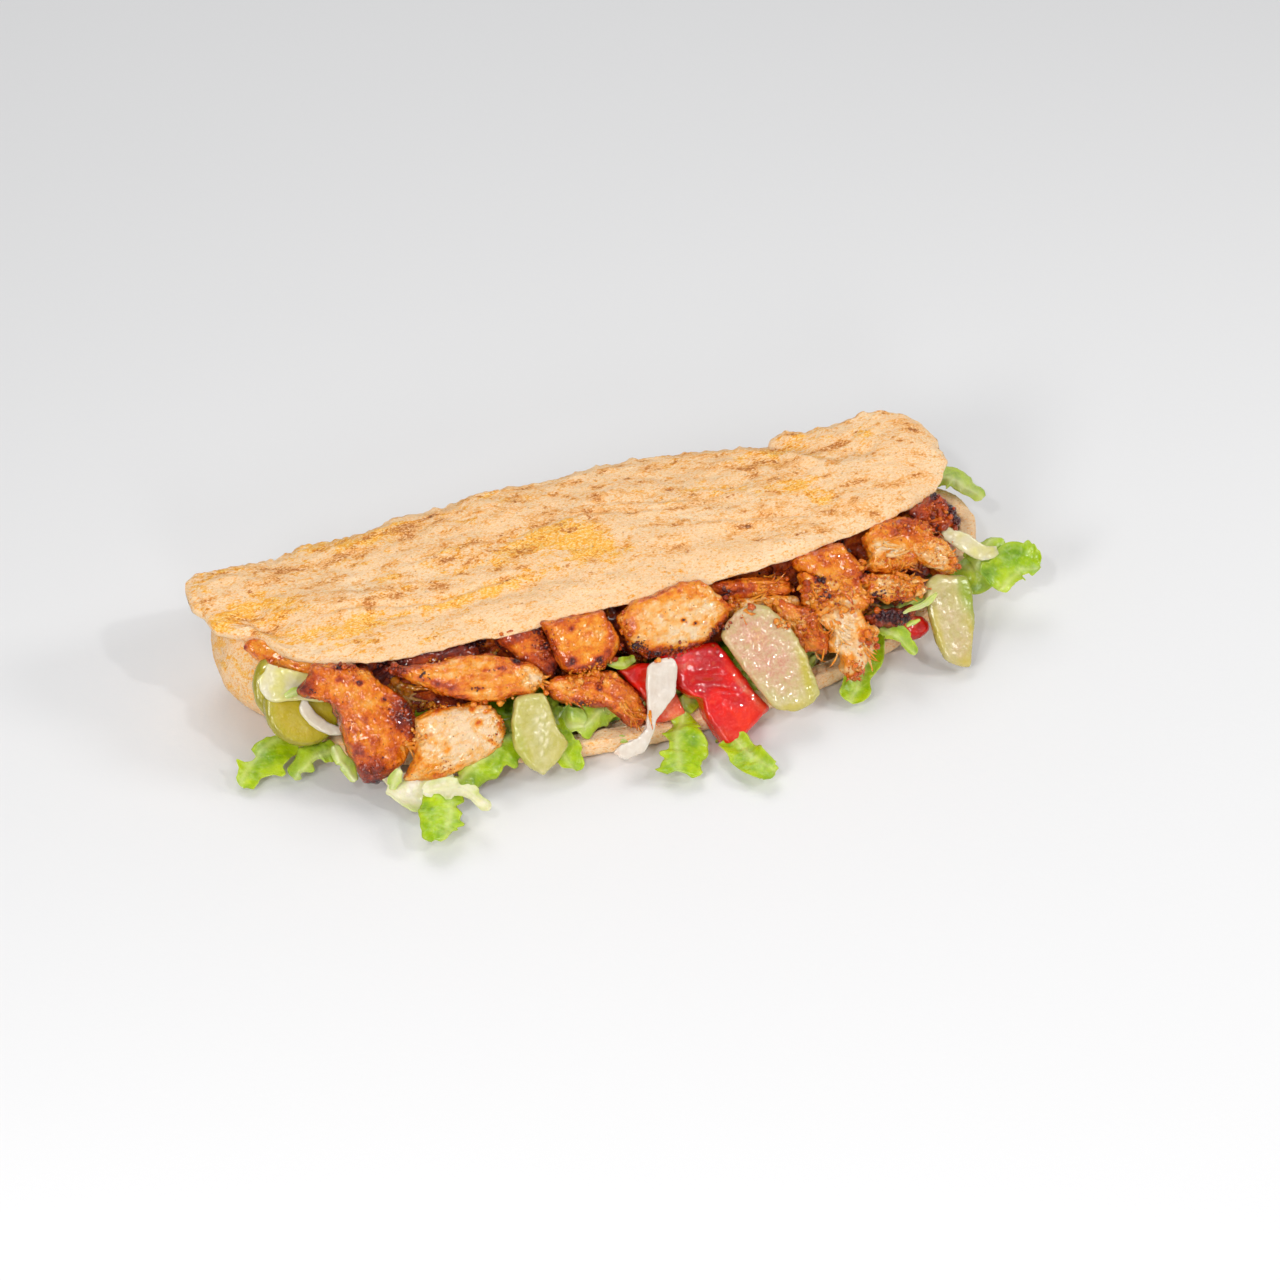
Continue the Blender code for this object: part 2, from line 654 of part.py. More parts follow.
# ------------------------------------------------------------- lettuce shreds
SHREDS = (
    # name, path (x, y, z), widths along it, facing, cup, ruffle, seed
    ("lettuce_01", ((-87, -41, 12), (-91, -48, 8), (-84, -53, 6), (-72, -53, 7)), (5, 9, 12, 8), (0, -0.5, 0.9), 1.2, 1.0, 1),
    ("lettuce_03", ((-69, -55, 7), (-59, -51, 10), (-47, -46, 12)), (8, 12, 9), (0, -0.7, 0.7), -1.2, 1.2, 3),
    ("lettuce_04", ((-35, -35, 16), (-31, -42, 13), (-24, -45, 12)), (5, 9, 6), (0.1, -0.7, 0.7), 1.0, 1.0, 4),
    ("lettuce_05", ((-27, -48, 10), (-19, -44, 13), (-12, -44, 13)), (6, 9, 5), (0.0, -0.7, 0.7), -1.0, 0.8, 5),
    ("lettuce_06", ((-34.5, -37.5, 14), (-33, -48, 10), (-31.5, -57.5, 4)), (5, 7, 6), (0.1, -0.7, 0.7), 0.8, 0.8, 6),
    ("lettuce_07", ((8, -49, 10), (4, -59, 9), (-2, -72, 7)), (6, 13, 12), (0, -0.5, 0.9), -1.4, 1.6, 7),
    ("lettuce_08", ((18, -60, 4), (20, -70, 5), (24, -82, 5)), (8, 11, 8), (0, -0.5, 0.9), 1.2, 1.0, 8),
    ("lettuce_09", ((80, -31, 12), (72, -43, 8), (61, -55, 3.5)), (6, 9, 8), (0, -0.6, 0.8), 1.0, 0.8, 9),
    ("lettuce_10", ((73, -37, 18), (80, -43, 18), (84, -53, 15)), (3, 6, 3), (0, -0.5, 0.9), 0.8, 0.8, 10),
    ("lettuce_11", ((86, -36, 20), (94, -33, 22), (101, -30, 23)), (2.5, 4, 3), (0, -0.5, 0.9), 0.5, 0.4, 11),
    ("lettuce_12", ((111, -17, 18), (118, -24, 17), (124, -22, 23), (129, -19, 26)), (8, 14, 12, 6), (-0.2, -0.6, 0.8), -2.0, 1.0, 12),
    ("lettuce_13", ((122, -30, 15), (130, -27, 21), (138, -30, 20)), (9, 14, 7), (0, -0.5, 0.9), 1.6, 1.0, 13),
    ("lettuce_14", ((119, 23, 22), (128, 19, 25), (135, 8, 22)), (5, 9, 5), (0, -0.3, 0.9), -1.0, 1.2, 14),
    ("lettuce_15", ((-112, -17, 8), (-122, -22, 6), (-131, -28, 2.5)), (8, 10, 7), (0, -0.4, 0.9), 1.2, 1.0, 15),
    ("lettuce_16", ((-100, -26, 9), (-108, -28, 9), (-116, -31, 5)), (6, 8, 5), (0, -0.4, 0.9), -1.0, 0.8, 16),
)
for nm, path, widths, facing, cup, ruffle, seed in SHREDS:
    ob = ribbon(nm, LETTUCE, path, widths, facing, cup=cup, ruffle=ruffle, seed=seed)
    if nm == "lettuce_01":
        settle(ob)
        leaf = ribbon("lettuce_02", LETTUCE, ((-75, -57, 12), (-79, -67, 10.5), (-84, -77, 8)), (10, 16, 9),
                      (-0.2, -0.5, 0.9), cup=-1.4, ruffle=1.2, seed=2)
        rib = ribbon("rib", LETTUCE, ((-82, -59, 12), (-72, -62, 13), (-65, -73, 11)), (5, 6, 4),
                     (0, -0.5, 0.9), cup=0.8, ruffle=0.6, seed=21)
        settle(join(leaf, rib))
    else:
        settle(ob)

# ---------------------------------------------------------------------- onion
settle(cut_piece("onion_01", ONION, ((-5, -18), (3, -19), (2, -27), (-4, -34), (-10, -43), (-19, -47),
                                     (-22, -43), (-13, -38), (-7, -28)), 10.0, 1.9, dome=0.35, count=20))
settle(ribbon("onion_02", ONION, (on_face(-109, -7, -10.5), on_face(-108.5, -13, -9.5), on_face(-104, -18, -9),
                                  on_face(-98, -19, -9.5)), (2.4, 3.2, 3.4, 2.6), (0, -0.786, 0.618),
              thick=1.4, cup=0.3, ruffle=0.0))
settle(cut_piece("onion_03", ONION, ((-122, 2), (-119, -3), (-111, -6), (-101, -7), (-104, -2), (-112, 1)),
                 -12.0, 1.1, dome=0.3, bow=1.0))
settle(ribbon("onion_04", ONION, (on_face(107, 1, -5), on_face(113, -4, -4.5), on_face(119, -9, -5),
                                  on_face(125, -9, -8)), (4, 6, 5, 3), (0, -0.786, 0.618), thick=1.3, cup=0.8, ruffle=0.3))

# -------------------------------------------------------------------- pickles
settle(disc("pickle_01", PICKLE, (-107.8, -18.0, 21.4), 12.6, 3.4, 52, 14))
settle(disc("pickle_02", PICKLE, (-109.45, -10.9, 24.1), 12.4, 3.2, 52, 14))
settle(cut_piece("pickle_03", PICKLE, ((-45, -21), (-37, -22), (-32, -39), (-42, -47), (-48, -41), (-50, -30)),
                 6.0, 4.6, dome=0.35, rough=0.25, seed=3))
settle(cut_piece("pickle_04", PICKLE, ((27, -8), (36, -7), (42, -15), (46, -27), (47, -39), (38, -44), (30, -41),
                                       (25, -31), (20, -17)), 10.0, 4.2, dome=0.4, tilt=-0.10, rough=0.2, seed=4, count=18))
settle(cut_piece("pickle_05", PICKLE, ((95, -16), (103, -12), (110, -15), (111, -27), (106, -43), (97, -42), (95, -26)),
                 -0.5, 4.6, dome=0.4, tilt=-0.05, lean=-0.10, rough=0.2, seed=5, count=16))

# ------------------------------------------------------------------- tomatoes
settle(cut_piece("tomato_01", TOMATO, ((3, -18), (22, -18), (27, -31), (33, -42), (19, -50), (13, -44), (10, -33),
                                       (5, -27)), 3.6, 9.0, dome=0.22, tilt=-0.08, lean=-0.04, rough=0.3, seed=6, count=18))
settle(cut_piece("tomato_02", TOMATO, ((-9, -19), (6, -20), (9, -33), (8, -38), (-3, -39), (-6, -28)),
                 0.6, 7.0, dome=0.25, rough=0.25, seed=7))
settle(cut_piece("tomato_03", TOMATO, ((85, -24), (93, -24), (96, -29), (88, -31)), -5.0, 4.0, dome=0.3,
                 rough=0.2, seed=8, count=10))

# -------------------------------------------------------------------- chicken
CUTS = (
    # name, outline, out, thick, dome, tilt, lean, bow, rough, seed, count
    ("chicken_03", ((-77, -23), (-68, -18), (-56, -19), (-50, -27), (-54, -35), (-72, -39), (-86, -40), (-82, -31)), 2.5, 9.0, 0.5, -0.04, 0, 1.5, 0.8, 3, 16),
    ("chicken_04", ((-83, -2), (-67, -2), (-47, -6), (-35, -13), (-37, -20), (-50, -21), (-62, -17), (-75, -9)), 4.0, 9.0, 0.6, 0, 0.03, 1.5, 0.9, 4, 16),
    ("chicken_08", ((-8, 1), (9, 2), (22, 2), (29, -8), (21, -18), (5, -19), (-6, -14)), 4.6, 10.0, 0.55, 0, 0, 2.0, 0.9, 8, 16),
    ("chicken_06", ((-32, -1), (-11, 0), (-8, -11), (-13, -19), (-25, -19), (-31, -9)), 2.4, 10.0, 0.5, 0, 0, 1.2, 0.8, 6, 14),
    ("chicken_07", ((-36, -18), (-26, -17), (-14, -20), (-8, -27), (-7, -38), (-14, -34), (-22, -28), (-34, -24)), 3.2, 7.0, 0.6, -0.05, 0, 1.0, 0.7, 7, 16),
    ("chicken_10", ((57, -16), (70, -17), (73, -27), (67, -39), (60, -36), (57, -26)), 4.0, 7.5, 0.6, -0.05, 0, 0.6, 1.0, 10, 14),
    ("chicken_11", ((53, 4), (71, 4), (77, -4), (75, -11), (66, -8), (56, -2)), 1.0, 8.0, 0.55, 0, -0.05, 1.5, 0.7, 11, 12),
    ("chicken_13", ((94, 1), (107, 2), (110, -6), (106, -13), (97, -9), (93, -3)), -2.0, 8.0, 0.6, 0, -0.10, 1.5, 0.9, 13, 12),
    ("chicken_12", ((81, 6), (93, 7), (100, 5), (97, -4), (85, -9), (78, -5)), -2.5, 8.0, 0.6, 0, -0.06, 1.5, 0.9, 12, 12),
    ("chicken_14", ((100, 11), (110, 12), (115, 7), (115, 2), (109, 0), (101, 3)), -7.0, 9.0, 0.6, 0, -0.15, 1.0, 1.2, 14, 12),
    ("chicken_15", ((75, -9), (84, -8), (92, -13), (91, -17), (80, -17)), 0.4, 7.0, 0.6, 0, -0.1, 0.8, 1.0, 15, 10),
    ("chicken_16", ((73, -15), (84, -17), (95, -20), (89, -26), (79, -25), (74, -20)), 0.6, 7.0, 0.6, 0, -0.1, 0.8, 1.2, 16, 12),
    ("chicken_17", ((54, -2), (67, -3), (74, -12), (72, -19), (57, -17), (54, -9)), 1.6, 8.0, 0.6, 0, 0, 1.0, 1.2, 17, 12),
    ("chicken_18", ((38, -13), (50, -14), (57, -23), (56, -33), (47, -31), (40, -21)), 0.6, 8.0, 0.6, -0.05, 0, 1.0, 1.1, 18, 12),
    ("chicken_05", ((-46, 0), (-34, 1), (-26, -13), (-31, -18), (-41, -9)), -2.6, 8.0, 0.55, 0, 0, 1.0, 0.9, 5, 12),
    ("chicken_09", ((22, 1), (36, 0), (52, -3), (51, -8), (36, -6), (23, -3)), -1.0, 5.5, 0.55, 0, 0, 0.6, 0.7, 9, 12),
    ("chicken_19", ((27, -6), (40, -6), (54, -9), (53, -14), (40, -13), (28, -10)), -1.0, 6.0, 0.6, 0, 0, 0.6, 0.8, 19, 12),
    ("chicken_20", ((-77, 1), (-55, 0), (-50, -5), (-60, -10), (-76, -8)), -5.0, 7.0, 0.55, 0, 0, 0.8, 0.9, 20, 12),
)
# the long browned strip that comes out from under the upper sheet at the left
strip = cut_piece("chicken_02", CHICKEN, ((-101, 1), (-88, -2), (-79, -12), (-75, -23), (-79, -33), (-91, -37), (-98, -29),
                                          (-101, -12)), -0.4, 9.5, dome=0.6, bow=2.2, tilt=0.02, rough=0.9, seed=2, count=18)
hook = cut_piece("hook", CHICKEN, ((-109, -4), (-104, 0), (-95, 0), (-94, -8), (-106, -7)), -5.0, 6.0, dome=0.6,
                 rough=0.5, seed=22, count=10)
settle(join(strip, hook))
settle(ribbon("chicken_01", CHICKEN, ((-121.0, -1.0, 31.4), (-109.5, -11.5, 30.8), (-98, -20, 30.0)), (3.5, 5.5, 6),
              (0, -0.786, 0.618), thick=4.2, cup=-0.4, ruffle=0.5, seed=23, steps=7))
for nm, outline, out, thick, dome, tilt, lean, bow, rough, seed, count in CUTS:
    settle(cut_piece(nm, CHICKEN, outline, out, thick, dome, tilt, lean, bow, rough, seed, count))


# ----------------------------------------------- filling that runs right through
def inner_back(x, z, zt):
    """y of the inside of the hinge wall at a height."""
    s = clamp01(abs(x) / (BOAT_HALF_LEN if x > 0 else BOAT_LEFT_LEN))
    half = BOAT_BACK - 8.0 * smooth(50, 125, x)
    y = boat_axis(x) + half * (1 - s ** BOAT_BACK_POW) ** (1 / BOAT_BACK_POW)
    t = clamp01((z - BULGE) / (zt - BULGE))
    return y - WALL - 1.4 - 5.0 * t ** 2


def make_chicken_core():
    rings = []
    x0, x1, n = -108.0, 112.0, 22
    for i in range(n):
        t = i / (n - 1)
        x = mix(x0, x1, t)
        end = (1 - (abs(2 * t - 1)) ** 8)
        shift = 14.0 * smooth(-86, -112, x) + 9.0 * smooth(72, 112, x)
        zlow = 14.6 + 0.4 * wave(x, 9, 9, 31) + (1 - end) * 2.0

        def face(z):
            return FACE_AT.y + 9.0 / 0.786 + (z - FACE_AT.z) * 0.786 + shift + 1.2 * wave(x, z, 9, 32)

        zt = sheet_top(x, 12.0) - SHEET_T - 1.0
        lid = []
        yb = inner_back(x, 36, zt) - 0.4
        yf = face(33.5) + 1.5
        for q in (0.0, 0.3, 0.62, 1.0):
            y = mix(yf, yb, q)
            lid.append(Vector((x, y, sheet_top(x, y) - SHEET_T - 1.1 - (1 - end) * 6.0 - (1.5 if q in (0.0, 1.0) else 0.0))))
        rings.append([Vector((x, face(zlow) + 1.0, zlow)), Vector((x, face(22), 22.0)), Vector((x, face(29), 29.0))]
                     + lid + [Vector((x, inner_back(x, 26, zt), 26.0)), Vector((x, inner_back(x, zlow, zt) - 1.0, zlow)),
                              Vector((x, 0.5 * (face(zlow) + inner_back(x, zlow, zt)), zlow - 0.2))])
    ob = ring_solid("chicken_filling", rings)
    set_material(ob, *CHICKEN)
    return ob


def make_lettuce_bed():
    rows = boat_frame(34)
    rings = []
    for z, extra in ((6.1, 2.4), (9.6, 2.2), (13.5, 2.9)):
        ring = []
        for r in rows:
            hb = max(r["hb"], FLOOR + 1.2)
            k = clamp01((z - FLOOR) / max(hb - FLOOR, 0.1))
            inset = WALL + (r["rb"] - 0.5) * (1 - math.sqrt(max(0.0, 1 - (1 - k) ** 2))) + r["tuck"] * 0.35
            inset += extra + (5.0 if r["x"] > 100 else 0.0) * smooth(100, 125, r["x"])
            inset += (z - 6.1) * 0.35 * (1 - r["closed"])
            wob = 0.9 * wave(r["x"], r["y"] + z, 7, 33)
            ring.append(Vector((r["x"] + r["nx"] * (inset + wob), r["y"] + r["ny"] * (inset + wob), z)))
        rings.append(ring)
    ob = ring_solid("lettuce_bed", rings)
    set_material(ob, *LETTUCE)
    return ob


settle(make_lettuce_bed(), 340)
settle(make_chicken_core(), 500)

# ------------------------------------ centre of the whole over the base at origin
nodes = list(placed)
boxes = [box_of(ob) for ob in nodes]
low = Vector([min(b[0][i] for b in boxes) for i in range(3)])
high = Vector([max(b[1][i] for b in boxes) for i in range(3)])
move = Vector((-(low.x + high.x) / 2, -(low.y + high.y) / 2, -low.z))
for ob in nodes:
    ob.data.transform(Matrix.Translation(move))
    ob.data.update()
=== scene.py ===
"""Looks of the chicken doner sandwich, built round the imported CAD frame.

Lengths are in millimetres in the part's own working frame (before it was centred)
and become metres when a mesh is made.
"""
import json
import math
import bpy
import bmesh
import numpy as np
from mathutils import Vector, Matrix, noise
from mathutils.bvhtree import BVHTree

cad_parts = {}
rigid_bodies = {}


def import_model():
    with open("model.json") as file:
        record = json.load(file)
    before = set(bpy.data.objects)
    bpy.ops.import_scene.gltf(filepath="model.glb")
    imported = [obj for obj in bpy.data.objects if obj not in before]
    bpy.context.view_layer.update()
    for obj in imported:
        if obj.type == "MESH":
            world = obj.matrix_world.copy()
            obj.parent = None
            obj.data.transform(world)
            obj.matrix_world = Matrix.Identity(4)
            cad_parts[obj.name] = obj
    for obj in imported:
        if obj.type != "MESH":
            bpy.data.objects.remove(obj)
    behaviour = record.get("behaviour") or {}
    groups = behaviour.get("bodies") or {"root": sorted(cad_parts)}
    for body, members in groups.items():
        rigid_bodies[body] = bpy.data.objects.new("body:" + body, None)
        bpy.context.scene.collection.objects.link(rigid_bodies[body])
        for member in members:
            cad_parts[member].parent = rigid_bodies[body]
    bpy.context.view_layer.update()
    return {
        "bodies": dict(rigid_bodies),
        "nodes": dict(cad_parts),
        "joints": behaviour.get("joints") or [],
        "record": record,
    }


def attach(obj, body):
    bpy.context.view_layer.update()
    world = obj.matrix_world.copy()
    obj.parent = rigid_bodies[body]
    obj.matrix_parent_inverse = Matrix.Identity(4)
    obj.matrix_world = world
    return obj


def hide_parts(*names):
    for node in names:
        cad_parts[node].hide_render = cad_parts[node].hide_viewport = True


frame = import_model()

MM = 0.001
MOVE = np.array([-3.227, 21.099, 0.003])      # working frame to row frame


# ------------------------------------------------------------------ small maths
def clamp(t, a=0.0, b=1.0):
    return np.minimum(np.maximum(t, a), b)


def smooth(a, b, x):
    t = clamp((np.asarray(x, float) - a) / (b - a))
    return t * t * (3 - 2 * t)


def mix(a, b, t):
    return a + (b - a) * t


def bump(x, c, w):
    return np.exp(-((np.asarray(x, float) - c) / w) ** 2)


def blob(x, y, cx, cy, rx, ry, turn=0.0, hard=1.0):
    """Soft ellipse, 1 in the middle."""
    a = math.radians(turn)
    u = ((x - cx) * math.cos(a) + (y - cy) * math.sin(a)) / rx
    v = (-(x - cx) * math.sin(a) + (y - cy) * math.cos(a)) / ry
    return np.exp(-(u * u + v * v) ** hard)


def _hash(i, j, k, seed):
    with np.errstate(over="ignore"):
        h = (i.astype(np.uint32) * np.uint32(374761393)) ^ (j.astype(np.uint32) * np.uint32(668265263)) \
            ^ (k.astype(np.uint32) * np.uint32(2246822519)) ^ np.uint32((seed * 3266489917) & 0xFFFFFFFF)
        h ^= h >> np.uint32(15)
        h *= np.uint32(2246822519)
        h ^= h >> np.uint32(13)
        h *= np.uint32(3266489917)
        h ^= h >> np.uint32(16)
    return h


def perlin(p, seed=0):
    """Smooth gradient noise, about -1 to 1, at rows of three coordinates."""
    p = np.asarray(p, float)
    i = np.floor(p).astype(np.int64)
    f = p - i
    u = f * f * f * (f * (f * 6 - 15) + 10)
    out = np.zeros(len(p))
    for dx in (0, 1):
        wx = u[:, 0] if dx else 1 - u[:, 0]
        for dy in (0, 1):
            wy = u[:, 1] if dy else 1 - u[:, 1]
            for dz in (0, 1):
                wz = u[:, 2] if dz else 1 - u[:, 2]
                h = _hash(i[:, 0] + dx, i[:, 1] + dy, i[:, 2] + dz, seed)
                g = ((h & np.uint32(1023)) / 511.5 - 1) * (f[:, 0] - dx)
                g += (((h >> np.uint32(10)) & np.uint32(1023)) / 511.5 - 1) * (f[:, 1] - dy)
                g += (((h >> np.uint32(20)) & np.uint32(1023)) / 511.5 - 1) * (f[:, 2] - dz)
                out += wx * wy * wz * g
    return out * 1.7


def fbm(p, octaves=3, seed=0, gain=0.5):
    p = np.asarray(p, float)
    out, amp, total = 0.0, 1.0, 0.0
    for o in range(octaves):
        out = out + amp * perlin(p * 2.03 ** o + o * 17.7, seed + o * 101)
        total += amp
        amp *= gain
    return out / total


def ridge(p, seed=0):
    return 1 - np.abs(perlin(p, seed)) * 1.6


def worley(p, seed=0):
    """Distances to the nearest and second nearest cell points, and the nearest cell's number."""
    p = np.asarray(p, float)
    i = np.floor(p).astype(np.int64)
    best = np.full(len(p), 9.0)
    second = np.full(len(p), 9.0)
    cell = np.zeros(len(p), np.uint32)
    for dx in (-1, 0, 1):
        for dy in (-1, 0, 1):
            for dz in (-1, 0, 1):
                c = i + np.array([dx, dy, dz])
                h = _hash(c[:, 0], c[:, 1], c[:, 2], seed)
                q = c + np.stack([(h & np.uint32(1023)) / 1023.0, ((h >> np.uint32(10)) & np.uint32(1023)) / 1023.0,
                                  ((h >> np.uint32(20)) & np.uint32(1023)) / 1023.0], 1)
                d = np.sqrt(((q - p) ** 2).sum(1))
                near = d < best
                second = np.where(near, best, np.minimum(second, d))
                cell = np.where(near, h, cell)
                best = np.where(near, d, best)
    return best, second, (cell % np.uint32(9973)) / 9973.0


def pts(x, y, z=0.0):
    x = np.asarray(x, float)
    return np.stack([x, np.broadcast_to(np.asarray(y, float), x.shape), np.broadcast_to(np.asarray(z, float), x.shape)], -1)


def n2(x, y, sx, sy, seed=0):
    """Noise over a plane, with its own grain size each way."""
    x = np.asarray(x, float)
    shape = x.shape
    return perlin(pts((x / sx).ravel(), (np.broadcast_to(y, shape) / sy).ravel(), seed * 3.7), seed).reshape(shape)


def wave(x, y, scale, seed):
    """The part's own wave, so that these surfaces follow the CAD ones."""
    x, y = np.broadcast_arrays(np.asarray(x, float), np.asarray(y, float))
    out = np.empty(x.size)
    for n, (a, b) in enumerate(zip(x.ravel(), y.ravel())):
        out[n] = noise.noise(Vector((a / scale, b / scale, seed * 7.31)))
    return out.reshape(x.shape)


def rng(seed):
    return np.random.default_rng(seed)


# --------------------------------------------------------------- mesh utilities
def vertex_normals(v, f):
    tri = f if f.shape[1] == 3 else np.concatenate([f[:, [0, 1, 2]], f[:, [0, 2, 3]]])
    n = np.cross(v[tri[:, 1]] - v[tri[:, 0]], v[tri[:, 2]] - v[tri[:, 0]])
    out = np.stack([sum(np.bincount(tri[:, c], n[:, k], len(v)) for c in range(3)) for k in range(3)], 1)
    return out / np.maximum(np.linalg.norm(out, axis=1), 1e-12)[:, None]


def edges_of(f):
    k = f.shape[1]
    e = np.concatenate([f[:, [a, (a + 1) % k]] for a in range(k)])
    e.sort(axis=1)
    return np.unique(e, axis=0)


def relax(v, f, times, strength=0.5, keep=0.0):
    """Laplacian smoothing; keep above 0 pushes the shape back out afterwards."""
    e = edges_of(f)
    deg = np.maximum(np.bincount(e.ravel(), minlength=len(v)), 1)[:, None]
    for _ in range(times):
        s = np.stack([np.bincount(e[:, 0], v[e[:, 1], k], len(v)) + np.bincount(e[:, 1], v[e[:, 0], k], len(v))
                      for k in range(3)], 1)
        v = v + strength * (s / deg - v)
    if keep:
        v = v + vertex_normals(v, f) * keep
    return v


PIECES = []


def make(name, v, f, material, replaces=(), attrs=None, shade=True, world=False):
    """A mesh piece from points in millimetres; it rides on the one body."""
    me = bpy.data.meshes.new(name)
    co = np.asarray(v, float) if world else (np.asarray(v, float) + MOVE) * MM
    co = np.stack([co[:, 0], co[:, 1], np.maximum(co[:, 2], 0.0)], 1)
    if isinstance(f, np.ndarray):
        f = f.tolist()
    me.from_pydata(co.tolist(), [], f)
    for key, values in (attrs or {}).items():
        a = me.attributes.new(key, "FLOAT", "POINT")
        a.data.foreach_set("value", np.asarray(values, np.float32))
    me.polygons.foreach_set("use_smooth", [shade] * len(me.polygons))
    me.materials.append(material)
    me.update()
    me.validate()
    ob = bpy.data.objects.new(name, me)
    bpy.context.scene.collection.objects.link(ob)
    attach(ob, "root")
    if replaces:
        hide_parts(*replaces)
    PIECES.append(ob)
    return ob


def grid_faces(nu, nv, wrap_u=False, wrap_v=False, flip=False):
    iu = np.arange(nu if wrap_u else nu - 1)
    iv = np.arange(nv if wrap_v else nv - 1)
    a, b = np.meshgrid(iu, iv, indexing="ij")
    a2, b2 = (a + 1) % nu, (b + 1) % nv
    f = np.stack([a * nv + b, a2 * nv + b, a2 * nv + b2, a * nv + b2], -1).reshape(-1, 4)
    return f[:, ::-1].copy() if flip else f


def node_mesh(name, voxel, times=40, keep=0.5):
    """A CAD node's shape as an even fine mesh, its facets blurred away."""
    src = frame["nodes"][name]
    bm = bmesh.new()
    bm.from_mesh(src.data)
    bmesh.ops.remove_doubles(bm, verts=bm.verts, dist=1e-6)
    me = bpy.data.meshes.new("tmp")
    bm.to_mesh(me)
    bm.free()
    ob = bpy.data.objects.new("tmp", me)
    bpy.context.scene.collection.objects.link(ob)
    mod = ob.modifiers.new("remesh", "REMESH")
    mod.mode = "VOXEL"
    mod.voxel_size = voxel * MM
    deps = bpy.context.evaluated_depsgraph_get()
    out = bpy.data.meshes.new_from_object(ob.evaluated_get(deps))
    co = np.empty(len(out.vertices) * 3)
    out.vertices.foreach_get("co", co)
    v = co.reshape(-1, 3) / MM - MOVE
    f = np.array([list(p.vertices) for p in out.polygons if len(p.vertices) == 4])
    bpy.data.objects.remove(ob, do_unlink=True)
    bpy.data.meshes.remove(me)
    bpy.data.meshes.remove(out)
    return relax(v, f, times, 0.5, keep), f


# ------------------------------------------------------------- material building
class Look:
    """A Principled material with short calls for its nodes."""

    def __init__(self, name, **sockets):
        self.m = bpy.data.materials.new(name)
        self.m.use_nodes = True
        self.t = self.m.node_tree
        self.t.nodes.clear()
        self.out = self.t.nodes.new("ShaderNodeOutputMaterial")
        self.b = self.t.nodes.new("ShaderNodeBsdfPrincipled")
        self.t.links.new(self.b.outputs[0], self.out.inputs["Surface"])
        self.co = self.t.nodes.new("ShaderNodeTexCoord").outputs["Object"]
        for key, value in sockets.items():
            self.b.inputs[key.replace("_", " ")].default_value = value

    def n(self, kind, **props):
        node = self.t.nodes.new("ShaderNode" + kind)
        for k, val in props.items():
            setattr(node, k, val)
        return node

    def put(self, socket, value):
        if hasattr(value, "is_output") or hasattr(value, "links"):
            self.t.links.new(value, socket)
        elif isinstance(value, (tuple, list)) and len(value) == 3 and socket.type == "RGBA":
            socket.default_value = (*value, 1.0)
        else:
            socket.default_value = value

    def attr(self, name):
        return self.n("Attribute", attribute_name=name).outputs["Fac"]

    def scaled(self, sx, sy, sz, turn=(0.0, 0.0, 0.0), vec=None):
        m = self.n("Mapping")
        self.put(m.inputs["Vector"], vec or self.co)
        m.inputs["Scale"].default_value = (sx, sy, sz)
        m.inputs["Rotation"].default_value = turn
        return m.outputs[0]

    def noise(self, scale, detail=3.0, rough=0.5, vec=None, warp=0.0):
        t = self.n("TexNoise")
        self.put(t.inputs["Vector"], vec or self.co)
        t.inputs["Scale"].default_value = scale
        t.inputs["Detail"].default_value = detail
        t.inputs["Roughness"].default_value = rough
        t.inputs["Distortion"].default_value = warp
        return t.outputs["Fac"]

    def voronoi(self, scale, vec=None, feature="F1", out="Distance"):
        t = self.n("TexVoronoi", feature=feature)
        self.put(t.inputs["Vector"], vec or self.co)
        t.inputs["Scale"].default_value = scale
        return t.outputs[out]

    def math(self, op, a, b=0.5, c=None, clamp=False):
        t = self.n("Math", operation=op, use_clamp=clamp)
        self.put(t.inputs[0], a)
        self.put(t.inputs[1], b)
        if c is not None:
            self.put(t.inputs[2], c)
        return t.outputs[0]

    def step(self, x, lo, hi, a=0.0, b=1.0):
        t = self.n("MapRange", interpolation_type="SMOOTHSTEP")
        self.put(t.inputs["Value"], x)
        t.inputs["From Min"].default_value = lo
        t.inputs["From Max"].default_value = hi
        t.inputs["To Min"].default_value = a
        t.inputs["To Max"].default_value = b
        return t.outputs[0]

    def blend(self, fac, a, b, mode="MIX"):
        t = self.n("Mix", data_type="RGBA", blend_type=mode, clamp_factor=True)
        self.put(t.inputs[0], fac)
        self.put(t.inputs[6], a)
        self.put(t.inputs[7], b)
        return t.outputs[2]

    def ramp(self, fac, stops):
        t = self.n("ValToRGB")
        self.put(t.inputs[0], fac)
        e = t.color_ramp.elements
        while len(e) < len(stops):
            e.new(0.5)
        for el, (pos, col) in zip(e, stops):
            el.position = pos
            el.color = (*col, 1.0)
        return t.outputs[0]

    def relief(self, height, distance, strength=1.0, normal=None):
        t = self.n("Bump")
        t.inputs["Strength"].default_value = strength
        t.inputs["Distance"].default_value = distance
        self.put(t.inputs["Height"], height)
        if normal is not None:
            self.put(t.inputs["Normal"], normal)
        return t.outputs[0]

    def set(self, **links):
        for key, value in links.items():
            self.put(self.b.inputs[key.replace("_", " ")], value)
        return self.m


